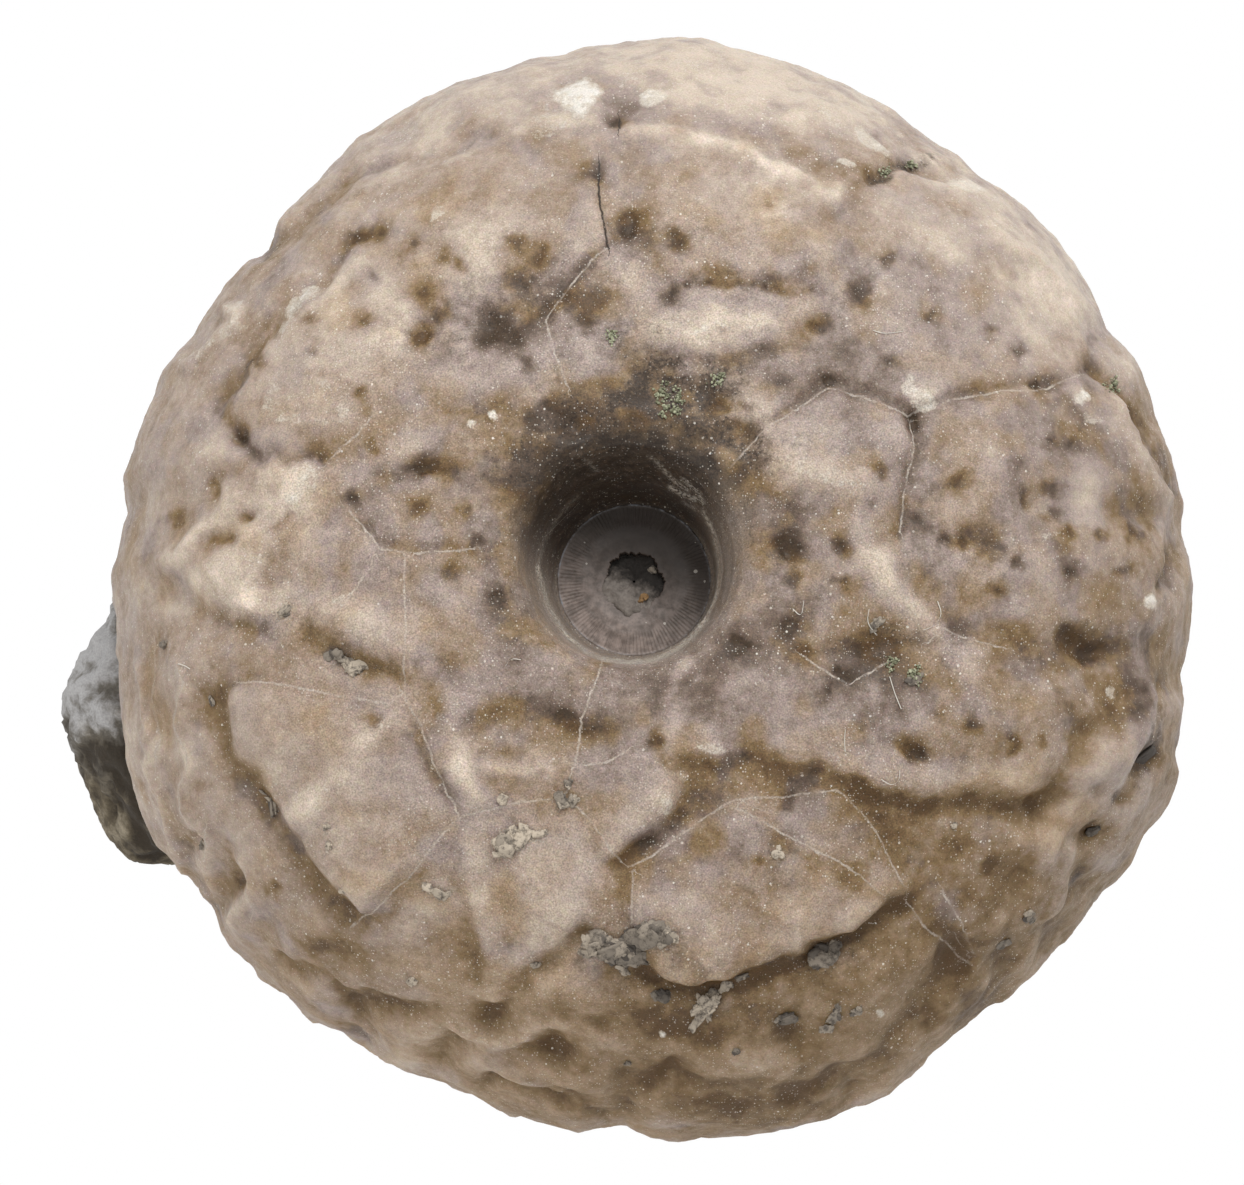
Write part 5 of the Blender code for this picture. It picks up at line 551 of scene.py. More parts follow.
# Pale streaks on the wall of the stem pit: line, half width, amount.
STREAKS = (
    (((0.3, 4.9), (0.9, 4.3), (1.4, 4.0)), 0.08, 0.55), (((0.7, 4.1), (1.2, 3.8), (1.8, 3.6)), 0.1, 0.7),
    (((1.2, 4.4), (1.8, 3.9), (2.0, 3.5)), 0.07, 0.6), (((-0.1, 5.3), (0.4, 4.9)), 0.07, 0.4),
    (((-2.7, 5.2), (-2.2, 4.7)), 0.07, 0.35), (((1.2, 3.5), (1.7, 3.2)), 0.07, 0.5),
    (((-3.0, 3.7), (-3.8, 2.9), (-4.3, 2.0), (-4.6, 0.9)), 0.08, 0.3),
    (((-4.6, 0.9), (-4.2, -0.6), (-3.5, -1.75), (-2.6, -2.5), (-1.9, -2.8)), 0.09, 1.1),
    (((-1.9, -2.8), (-0.9, -2.9), (0.0, -2.8), (0.9, -2.4), (1.5, -1.95), (2.1, -1.2)), 0.1, 1.4),
    (((2.1, -1.2), (2.5, -0.2), (2.6, 1.0), (2.4, 2.3), (2.0, 3.2)), 0.09, 0.6),
)

# Hairline sutures between the plates, on the leaning plan.
SUTURES = (
    ((-1.8, 13.65), (-2.5, 13.1), (-3.1, 12.4), (-4.1, 11.2), (-4.3, 10.8), (-3.9, 9.6), (-3.3, 8.0)),
    ((3.0, 5.0), (4.0, 6.0), (4.6, 6.5), (5.3, 6.9), (6.2, 7.6), (7.0, 8.1), (8.0, 7.9), (9.0, 7.5),
     (10.2, 7.05), (11.0, 7.3), (12.0, 7.7), (14.0, 8.0), (15.0, 7.9), (17.0, 8.6)),
    ((10.3, 6.8), (10.4, 6.0), (10.3, 5.0), (10.15, 4.3), (10.0, 2.5)),
    ((-2.0, -3.0), (-2.4, -3.9), (-2.7, -4.8), (-3.0, -6.5), (-3.4, -8.0)),
    ((-3.1, -7.0), (-2.0, -6.9), (-1.0, -6.4)),
    ((-9.8, 1.5), (-9.85, 0.0), (-9.9, -4.3), (-9.2, -5.3), (-8.8, -6.3), (-8.5, -7.2), (-8.2, -8.0),
     (-7.7, -9.0), (-8.8, -10.3), (-9.8, -11.6), (-11.0, -12.7), (-12.0, -13.6)),
    ((-7.6, -9.0), (-6.0, -8.6), (-4.0, -8.3), (-3.0, -8.6), (-2.5, -9.2), (-2.0, -9.7), (-1.2, -10.8)),
    ((-0.8, -11.0), (0.0, -10.6), (0.8, -10.0), (1.5, -9.6), (2.7, -8.6), (3.3, -8.3), (5.0, -8.3),
     (6.5, -8.1), (7.4, -8.0), (8.2, -8.8), (9.0, -9.8), (9.9, -11.8)),
    ((3.0, -8.5), (4.2, -9.1), (5.0, -9.6), (6.8, -10.5), (7.5, -10.9), (8.5, -11.6), (9.0, -12.0)),
    ((-0.75, -11.0), (-0.8, -13.0)),
    ((-16.3, -3.7), (-15.0, -3.7), (-14.0, -3.8), (-12.5, -4.2), (-10.5, -4.5), (-10.2, -4.2)),
    ((-13.0, 5.0), (-12.0, 6.0), (-11.2, 6.9)), ((-12.2, 3.3), (-11.0, 1.6), (-9.8, 1.55), (-7.0, 1.7)),
    ((-11.3, 1.0), (-12.3, -0.8)), ((10.9, -2.0), (11.4, -1.5), (12.0, -1.8), (14.0, -2.4)),
    ((5.9, -2.6), (7.6, -3.7)), ((8.0, -3.6), (9.5, -2.8)),
    ((10.2, -12.6), (11.0, -13.6), (11.9, -14.3), (13.6, -15.8)),
    ((11.5, -12.0), (12.2, -13.3), (12.8, -14.5)),
    ((-20.1, -2.0), (-20.1, -4.7), (-19.85, -6.0), (-19.85, -7.1)),
    ((-18.9, -3.1), (-18.65, -3.7), (-18.9, -4.4), (-19.3, -5.1), (-19.05, -5.7), (-18.65, -6.4),
     (-18.6, -7.3), (-18.8, -8.0), (-18.65, -8.7), (-18.5, -9.3)), ((-17.7, -9.6), (-17.9, -10.6)),
    ((-16.3, -11.3), (-16.4, -12.3), (-16.15, -13.1)),
)

# Fine dark cracks.
CRACKS = (
    ((-2.15, 17.0), (-2.2, 16.3), (-2.1, 15.4), (-1.8, 13.65)), ((-1.35, 18.9), (-1.35, 18.4)),
)

# Tufts of lichen: (u, v, reach).
MOSS = (
    (1.0, 7.4, 0.75), (0.4, 7.8, 0.45), (2.6, 8.4, 0.35), (-1.7, 10.15, 0.35), (10.4, -3.4, 0.4),
    (9.6, -2.9, 0.35), (18.4, 8.2, 0.35), (9.3, 16.7, 0.2), (10.4, 17.0, 0.22),
)

# Tone of the matrix, with painted shadow in the darker patches along the calyx's edge: (u, v, half length,
# half width, turn in degrees, paler above 0).
MATRIX_TONE_AND_SHADE = (
    (-22.3, -5.4, 0.9, 0.5, -30, 0.3), (-22.9, -3.6, 0.7, 0.9, 0, 0.2), (-23.8, -4.6, 0.3, 0.5, 0, 0.15),
    (-21.8, -6.7, 0.9, 0.5, -20, -0.35), (-20.9, -8.4, 0.6, 1.8, 25, -0.45),
    (-21.6, -9.2, 0.4, 1.0, 25, 0.15), (-20.2, -10.4, 1.2, 0.5, 0, -0.25),
    (-22.6, -7.6, 0.4, 1.2, 20, -0.05), (-22.0, -2.2, 0.7, 1.0, 20, 0.35),
)

# Crumbs of sediment: (u, v, half length, half width, turn in degrees, paleness from 0 to 1).
# A paleness under 0 is an orange grain.
CRUMBS = (
    (-1.6, -14.3, 1.0, 0.45, -18, 0.45), (-0.3, -13.8, 0.7, 0.42, 10, 0.35),
    (-0.4, -0.3, 0.2, 0.14, 60, -1.0), (0.0, 0.8, 0.16, 0.12, 0, 0.5), (-0.9, -14.5, 0.75, 0.5, 15, 0.3),
    (-1.9, -14.0, 0.6, 0.3, -30, 0.7), (0.5, -13.8, 0.4, 0.3, 20, 0.6), (2.1, -16.5, 0.5, 0.3, 70, 0.8),
    (-11.8, -3.05, 0.65, 0.24, -25, 0.8), (-12.7, -2.6, 0.32, 0.22, 10, 0.4),
    (-5.9, -10.2, 0.48, 0.46, 0, 0.85), (-5.6, -9.8, 0.4, 0.3, 40, 1.0), (-5.2, -9.9, 0.5, 0.2, 30, 1.0),
    (-4.5, -9.7, 0.26, 0.15, 10, 1.0), (-6.0, -8.3, 0.18, 0.16, 0, 0.9),
    (-3.7, -8.35, 0.3, 0.24, 30, 0.4), (-3.2, -8.4, 0.24, 0.2, 0, 0.5), (-3.4, -7.7, 0.2, 0.14, 60, 0.4),
    (-9.0, -11.8, 0.26, 0.16, -50, 1.0), (-8.5, -12.1, 0.34, 0.16, -10, 0.8),
    (-1.5, -14.2, 0.7, 0.34, -20, 0.6), (-0.9, -13.9, 0.5, 0.4, 30, 0.2),
    (-0.1, -13.5, 0.5, 0.38, 0, 0.5), (0.2, -13.9, 0.34, 0.22, -30, 0.4),
    (-2.6, -14.4, 0.34, 0.22, 20, 0.7), (-2.1, -13.9, 0.42, 0.26, 0, 0.1),
    (-1.2, -15.1, 0.42, 0.14, -60, 0.7), (1.8, -16.7, 0.55, 0.2, 75, 0.9),
    (2.2, -16.7, 0.6, 0.16, 60, 0.8), (2.9, -15.8, 0.3, 0.18, 30, 0.7), (2.4, -16.1, 0.32, 0.2, 40, 0.6),
    (0.4, -16.2, 0.34, 0.22, 0, 0.1), (6.6, -14.6, 0.6, 0.38, 10, 0.1), (7.1, -14.3, 0.34, 0.2, 30, 0.2),
    (5.3, -17.0, 0.34, 0.38, 0, 0.2), (7.2, -17.0, 0.16, 0.44, 0, 0.5), (6.9, -17.5, 0.38, 0.16, 10, 0.5),
    (8.1, -16.8, 0.22, 0.16, 40, 0.5), (15.0, -13.1, 0.32, 0.22, 0, 0.3),
    (13.9, -14.1, 0.36, 0.24, 40, 0.3), (4.9, -10.5, 0.22, 0.2, 0, 0.9),
    (-15.2, -8.5, 0.45, 0.12, -65, 0.4), (-13.0, -9.4, 0.16, 0.1, 20, 0.7),
    (-12.9, -10.2, 0.2, 0.15, 0, 0.9), (-12.4, -12.0, 0.16, 0.12, 0, 1.0),
    (-18.0, -10.2, 0.24, 0.18, 0, 0.4), (-19.5, -2.2, 0.22, 0.18, 0, 0.3),
    (-9.6, -15.6, 0.24, 0.17, 20, 1.0), (-14.6, -0.8, 0.3, 0.18, 50, 0.6),
    (-17.6, -4.4, 0.22, 0.1, -60, 0.4), (19.6, -6.5, 0.38, 0.6, -20, 0.0),
    (17.6, -9.6, 0.26, 0.34, -20, 0.1), (3.6, -15.4, 0.24, 0.16, 0, 0.3), (8.9, -1.3, 0.3, 0.12, 60, 0.5),
    (10.4, -3.6, 0.34, 0.16, 20, 0.3), (-4.7, -14.9, 0.14, 0.12, 0, 0.6),
    (-1.0, -18.9, 0.16, 0.12, 0, 0.6), (3.3, -18.4, 0.18, 0.12, 0, 0.3), (12.0, -9.4, 0.14, 0.12, 0, 0.8),
)

# Lint fibres lying on the plates.
LINT = (
    ((8.7, 10.35), (9.2, 10.2), (10.0, 10.3)), ((-19.0, -2.95), (-18.7, -3.0), (-18.4, -3.2)),
    ((9.4, -3.4), (9.6, -4.1), (9.9, -4.8)), ((9.0, -7.5), (9.5, -7.8), (9.8, -7.6), (9.8, -7.1)),
    ((7.65, -5.5), (7.6, -6.0), (7.65, -6.5)), ((8.6, -0.7), (8.5, -1.3), (8.9, -1.8)),
    ((11.3, -0.4), (11.5, -1.0), (11.1, -1.5), (10.7, -1.6)), ((-2.9, 3.6), (-4.4, 2.1)),
    ((5.5, -0.7), (5.9, -1.1), (6.0, -0.4)), ((-5.9, -3.1), (-5.7, -2.7), (-5.2, -2.8)),
)


def smooth(x):
    """0 below 0, 1 above 1, and an even turn between."""
    x = np.clip(x, 0.0, 1.0)
    return x * x * (3.0 - 2.0 * x)


def bell(gap, width=1.0):
    """1 where the gap is 0, falling away on both sides."""
    return np.exp(-((gap / width) ** 2))


def round_axis(radius, bearing, height):
    """Points at some radius, bearing and height about the stem pit's axis."""
    return np.stack([radius * np.cos(bearing), radius * np.sin(bearing), height], axis=-1)


def plan_of(points):
    """The leaning plan's (u, v) of points in the row frame."""
    u = points[:, 0] + PIT_U
    v = points[:, 1] * math.cos(LEAN) + (points[:, 2] - BASE_HEIGHT) * math.sin(LEAN) + PIT_V
    return u, v


def outline_radius(bearing):
    """Radius of the widest level at each bearing about the stem pit's axis."""
    u, v = np.array(OUTLINE).T
    x = u - PIT_U
    y = (v - PIT_V + (BASE_HEIGHT - WIDEST_HEIGHT) * math.sin(LEAN)) / math.cos(LEAN)
    turn = np.arctan2(y, x)
    order = np.argsort(turn)
    return np.interp(bearing, turn[order], np.hypot(x, y)[order], period=2 * math.pi)


def quarter_curve(height, powers):
    """(radius, height) of a squared-off quarter ellipse from its top to the widest level."""
    turn = np.linspace(0.0, math.pi / 2, 160)
    radius = CALYX_RADIUS * np.sin(turn) ** (2 / powers[0])
    return radius, height * np.cos(turn) ** (2 / powers[1])


def calyx_profile():
    """(radius, height) from the floor of the stem pit, over the base and flank, to the mouth."""
    radius, rise = quarter_curve(BASE_HEIGHT - WIDEST_HEIGHT, CUP_CURVE)
    cup = np.column_stack([radius, WIDEST_HEIGHT + rise])
    pit_radius, depth = np.array(PIT_PROFILE).T
    pit = np.column_stack([pit_radius, np.interp(pit_radius, *cup.T) - depth])
    radius, drop = quarter_curve(WIDEST_HEIGHT - MOUTH_HEIGHT, MOUTH_CURVE)
    mouth = np.column_stack([radius, WIDEST_HEIGHT - drop])[::-1]
    return np.concatenate([pit, cup[cup[:, 0] > PIT_BLEND_RADIUS], mouth[1:]])


def even_steps(line, step):
    """The polyline with points no further apart than step."""
    run = np.concatenate([[0.0], np.cumsum(np.hypot(*np.diff(line, axis=0).T))])
    at = np.linspace(0.0, run[-1], int(run[-1] / step) + 2)
    return np.column_stack([np.interp(at, run, line[:, 0]), np.interp(at, run, line[:, 1])])


def sphere_map(profile):
    """The polar angle on a sphere for each profile point, so that triangles keep their shape."""
    step = np.hypot(*np.diff(profile, axis=0).T)
    middle = (profile[1:, 0] + profile[:-1, 0]) / 2
    grown = np.cumsum(step[1:-1] / middle[1:-1])
    grown = np.concatenate([[0.0], grown])
    grown -= np.interp(profile[:, 0].argmax(), np.arange(1, len(grown) + 1), grown)
    angle = 2 * np.arctan(np.exp(grown))
    return np.concatenate([[0.0], angle, [math.pi]])


class CalyxForm:
    """The smooth form of the calyx, as a map from the unit sphere."""

    def __init__(self):
        self.profile = even_steps(calyx_profile(), 0.1)
        self.angle = sphere_map(self.profile)

    def place(self, sphere):
        """Points on the smooth calyx for points on the unit sphere."""
        angle = np.arccos(np.clip(sphere[:, 2], -1.0, 1.0))
        bearing = np.arctan2(sphere[:, 1], sphere[:, 0])
        radius = np.interp(angle, self.angle, self.profile[:, 0])
        height = np.interp(angle, self.angle, self.profile[:, 1])
        share = smooth((radius - PIT_BLEND_RADIUS) / (0.6 * CALYX_RADIUS))
        radius = radius * (1 + share * (outline_radius(bearing) / CALYX_RADIUS - 1))
        in_pit = smooth((radius - 3.2) / 0.4) * smooth((5.4 - radius) / 1.2)
        radius = radius - PIT_OFFSET * in_pit * np.cos(bearing)
        return round_axis(radius, bearing, height)


def segment_distance(u, v, au, av, bu, bv):
    """Distance from each (u, v) to the segment a-b."""
    du, dv = bu - au, bv - av
    along = np.clip(((u - au) * du + (v - av) * dv) / (du * du + dv * dv), 0.0, 1.0)
    return np.hypot(u - au - along * du, v - av - along * dv)


def line_distance(u, v, line):
    """Distance from each (u, v) to an open line."""
    return np.min([segment_distance(u, v, *a, *b) for a, b in zip(line, line[1:])], axis=0)


def polygon_distance(u, v, outline):
    """Distance to a closed outline, positive inside."""
    corners = np.array(outline)
    distance = np.full(len(u), np.inf)
    inside = np.zeros(len(u), bool)
    for (au, av), (bu, bv) in zip(corners, np.roll(corners, -1, axis=0)):
        distance = np.minimum(distance, segment_distance(u, v, au, av, bu, bv))
        crosses = (av > v) != (bv > v)
        reach = au + (v - av) * (bu - au) / (bv - av if bv != av else 1.0)
        inside ^= crosses & (u < reach)
    return np.where(inside, distance, -distance)


def nearby(u, v, line, margin):
    """Which (u, v) lie within margin of the line's bounding box."""
    low, high = np.min(line, axis=0) - margin, np.max(line, axis=0) + margin
    return np.flatnonzero((u > low[0]) & (u < high[0]) & (v > low[1]) & (v < high[1]))


def plate_relief(u, v, spread):
    """Plates that rise toward their high side and end in a short fall, and the foot of that fall.

    The fall is wider where spread is above 1.
    """
    total, foot = np.zeros(len(u)), np.zeros(len(u))
    for outline, lift, edge, toward in PLATES:
        heading = np.array([math.cos(math.radians(toward)), math.sin(math.radians(toward))])
        reach = np.array(outline) @ heading
        at = nearby(u, v, outline, 1.5 * edge)
        climb = (u[at] * heading[0] + v[at] * heading[1] - reach.min()) / np.ptp(reach)
        climb = lift * (0.05 + 0.95 * smooth(climb))
        inward = polygon_distance(u[at], v[at], outline)
        inward /= edge * spread[at]
        total[at] += climb * smooth(0.5 + inward)
        foot[at] += climb * (0.7 * bell(inward + 0.45, 0.5) + bell(inward + 0.3, 0.2))
    return total, foot


def drawn_lines(u, v, lines):
    """Bell-shaped bands along lines of (line, half width, height)."""
    total = np.zeros(len(u))
    for line, half_width, height in lines:
        at = nearby(u, v, line, 3 * half_width)
        distance = line_distance(u[at], v[at], line)
        total[at] += height * bell(distance, half_width)
    return total


def oval(u, v, at_u, at_v, half_length, half_width, turn):
    """Distance from an oval's middle, 1 on its edge."""
    cos, sin = math.cos(math.radians(turn)), math.sin(math.radians(turn))
    du, dv = u - at_u, v - at_v
    return np.hypot((du * cos + dv * sin) / half_length, (dv * cos - du * sin) / half_width)


def spots(u, v, ovals, softness):
    """The strongest of some oval spots at each (u, v), each full inside and fading at its rim."""
    total = np.zeros(len(u))
    for at_u, at_v, half_length, half_width, turn, strength in ovals:
        at = nearby(u, v, ((at_u, at_v),), (1 + softness) * max(half_length, half_width))
        gap = oval(u[at], v[at], at_u, at_v, half_length, half_width, turn)
        total[at] = np.maximum(total[at], strength * smooth((1 + softness - gap) / softness))
    return total


def patches(u, v, ovals):
    """The sum of some bell-shaped oval patches at each (u, v)."""
    total = np.zeros(len(u))
    for at_u, at_v, half_length, half_width, turn, amount in ovals:
        at = nearby(u, v, ((at_u, at_v),), 2.5 * max(half_length, half_width))
        gap = oval(u[at], v[at], at_u, at_v, half_length, half_width, turn)
        total[at] += amount * bell(gap, 1.2)
    return total


def nearest_line(u, v, lines, reach):
    """Distance to the nearest of some lines, no more than reach, and the same with its side."""
    total, sided = np.full(len(u), reach), np.full(len(u), reach)
    for line in lines:
        for (au, av), (bu, bv) in zip(line, line[1:]):
            at = nearby(u, v, ((au, av), (bu, bv)), reach)
            gap = segment_distance(u[at], v[at], au, av, bu, bv)
            side = np.sign((bu - au) * (v[at] - av) - (bv - av) * (u[at] - au))
            nearer = gap < total[at]
            total[at[nearer]] = gap[nearer]
            sided[at[nearer]] = (gap * side)[nearer]
    return total, sided


def noise_at(points, wavelength, octaves=1, shift=0.0):
    """Smooth noise from about -1 to 1 at each point. Another shift gives another pattern."""
    places = [Vector(place) for place in (points + shift) / wavelength]
    if octaves == 1:
        return np.array([noise.noise(place) for place in places])
    return np.array([noise.fractal(place, 1.0, 2.0, octaves) for place in places])


def push_at(points, wavelength, octaves=1, shifts=(0.0, 31.0)):
    """Smooth pushes along u and v at each point, each from about -1 to 1."""
    return np.column_stack([noise_at(points, wavelength, octaves, shift) for shift in shifts])


def refined(base, faces, place, longest_at, settle):
    """A triangle mesh with its longest edges halved until none, once placed, is over its limit."""
    while True:
        placed = place(base)
        ends = np.sort(faces[:, [0, 1, 1, 2, 2, 0]].reshape(-1, 2), axis=1)
        keys, index = np.unique(ends @ [len(base), 1], return_inverse=True)
        edges = np.column_stack([keys // len(base), keys % len(base)])
        index = index.reshape(-1, 3)
        length = np.linalg.norm(placed[edges[:, 0]] - placed[edges[:, 1]], axis=1)
        split = length > longest_at(placed[edges].mean(axis=1))
        if not split.any():
            return base, faces
        longest = length[index].argmax(axis=1)
        split[index[np.arange(len(faces)), longest][split[index].any(axis=1)]] = True
        turn = (longest[:, None] + np.arange(3)) % 3
        faces = np.take_along_axis(faces, turn, axis=1)
        index = np.take_along_axis(index, turn, axis=1)
        middle = np.full(len(edges), -1)
        middle[split] = len(base) + np.arange(split.sum())
        base = np.concatenate([base, settle(base[edges[split]].mean(axis=1))])
        faces = halve(faces, middle[index])


def unit(vectors):
    """The vectors at length 1."""
    return vectors / np.linalg.norm(vectors, axis=1)[:, None]


def octahedron():
    """A regular octahedron turned off the row frame's planes."""
    corners = np.array([(1, 0, 0), (0, 1, 0), (-1, 0, 0), (0, -1, 0), (0, 0, 1), (0, 0, -1.0)])
    faces = [(4, k, (k + 1) % 4) for k in range(4)] + [(5, (k + 1) % 4, k) for k in range(4)]
    return corners, np.array(faces)


def halve(faces, middle):
    """Splits triangles at the middles of their edges, -1 for a whole edge. The first is longest."""
    a, b, c = faces.T
    ab, bc, ca = middle.T
    whole = ab < 0
    two_b, two_c = ~whole & (bc >= 0), ~whole & (ca >= 0)
    made = [
        np.column_stack([a, b, c])[whole],
        np.column_stack([ab, b, c])[~whole & ~two_b],
        np.column_stack([ab, b, bc])[two_b],
        np.column_stack([ab, bc, c])[two_b],
        np.column_stack([a, ab, c])[~whole & ~two_c],
        np.column_stack([a, ab, ca])[two_c],
        np.column_stack([ca, ab, c])[two_c],
    ]
    return np.concatenate(made)


def vertex_normals(points, faces):
    """The way out at each point, from the triangles round it."""
    corners = points[faces]
    across = np.cross(corners[:, 1] - corners[:, 0], corners[:, 2] - corners[:, 0])
    total = np.zeros_like(points)
    for axis in range(3):
        for corner in faces.T:
            total[:, axis] += np.bincount(corner, across[:, axis], len(points))
    return unit(total)


def blurred(values, faces, rounds):
    """A value on the vertices, evened out with its neighbours' some rounds."""
    start, end = faces.ravel(), np.roll(faces, -1, axis=1).ravel()
    count = np.bincount(start, minlength=len(values))
    for _ in range(rounds):
        values = (values + np.bincount(start, values[end], len(values)) / count) / 2
    return values


def add_piece(name, points, faces, made_of, values=None, replaced=None):
    """A piece from millimetre points, with float values on its vertices for its material."""
    mesh = bpy.data.meshes.new(name)
    mesh.from_pydata((np.asarray(points) * MM).tolist(), [], np.asarray(faces).tolist())
    mesh.shade_smooth()
    for label, numbers in (values or {}).items():
        layer = mesh.attributes.new(label, "FLOAT", "POINT")
        layer.data.foreach_set("value", np.asarray(numbers, np.float32))
    mesh.materials.append(made_of)
    piece = bpy.data.objects.new(name, mesh)
    bpy.context.scene.collection.objects.link(piece)
    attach(piece, "root")
    if replaced:
        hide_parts(replaced)
    return piece


def calyx_edge(points):
    """Longest edge of the fine mesh at each point."""
    u, v = plan_of(points)
    shown = smooth((points[:, 2] - WIDEST_HEIGHT + 3.5) / 2.5)
    gap = np.full(len(u), FARTHEST)
    for at_u, at_v, radius, _ in PORES:
        at = nearby(u, v, ((at_u, at_v),), FARTHEST)
        gap[at] = np.minimum(gap[at], np.hypot(u[at] - at_u, v[at] - at_v) - radius)
    gap = np.minimum(gap, nearest_line(u, v, CRACKS, FARTHEST)[0])
    fine = spots(u, v, [chip for chip in CHIPS if chip[5] > FINE_CHIP], 0.5)
    fine = np.maximum(fine, smooth(1.0 - gap / 0.5))
    fine = np.maximum(fine, smooth(FINE_PIT_RADIUS - np.hypot(points[:, 0], points[:, 1])))
    open_edge = OPEN_EDGE + (FINE_EDGE - OPEN_EDGE) * fine
    return HIDDEN_EDGE + (open_edge - HIDDEN_EDGE) * shown


def pore_relief(u, v):
    """How deep each point lies in a pore, and how dark the pore makes it."""
    depth, dark = np.zeros(len(u)), np.zeros(len(u))
    for at_u, at_v, radius, sink in PORES:
        at = nearby(u, v, ((at_u, at_v),), 4 * radius)
        gap = np.hypot(u[at] - at_u, v[at] - at_v) / radius
        depth[at] = np.maximum(depth[at], sink * bell(gap))
        dark[at] = np.maximum(dark[at], bell(gap, 1.45))
    return depth, dark


def arm_openings():
    """The middle of each arm opening."""
    for ray in range(ARM_RAYS):
        for arm in range(ARMS_PER_RAY):
            step = (arm - (ARMS_PER_RAY - 1) / 2) * ARM_SPREAD
            bearing = FIRST_RAY + ray * 2 * math.pi / ARM_RAYS + step
            radius = float(outline_radius(np.array([bearing]))[0]) - 0.25
            yield np.array([radius * math.cos(bearing), radius * math.sin(bearing), ARM_HEIGHT])


def mouth_relief(points):
    """Knobbly roof plates, with the arm openings sunk between them."""
    radius = np.hypot(points[:, 0], points[:, 1])
    cells = [noise.voronoi(Vector(p))[0] for p in points / ROOF_PLATE]
    nearest, second = np.array(cells)[:, :2].T
    uncovered = smooth((radius - 12.0) / 3.0)
    relief = ROOF_RELIEF * uncovered * (0.45 - nearest)
    relief -= 0.25 * uncovered * bell(second - nearest, 0.1)
    for middle in arm_openings():
        gap = np.linalg.norm(points - middle, axis=1) / ARM_OPENING_RADIUS
        relief += 0.35 * np.exp(-((gap - 1.35) ** 2) / 0.18) - ARM_OPENING_DEPTH * np.exp(-(gap**4))
    return relief


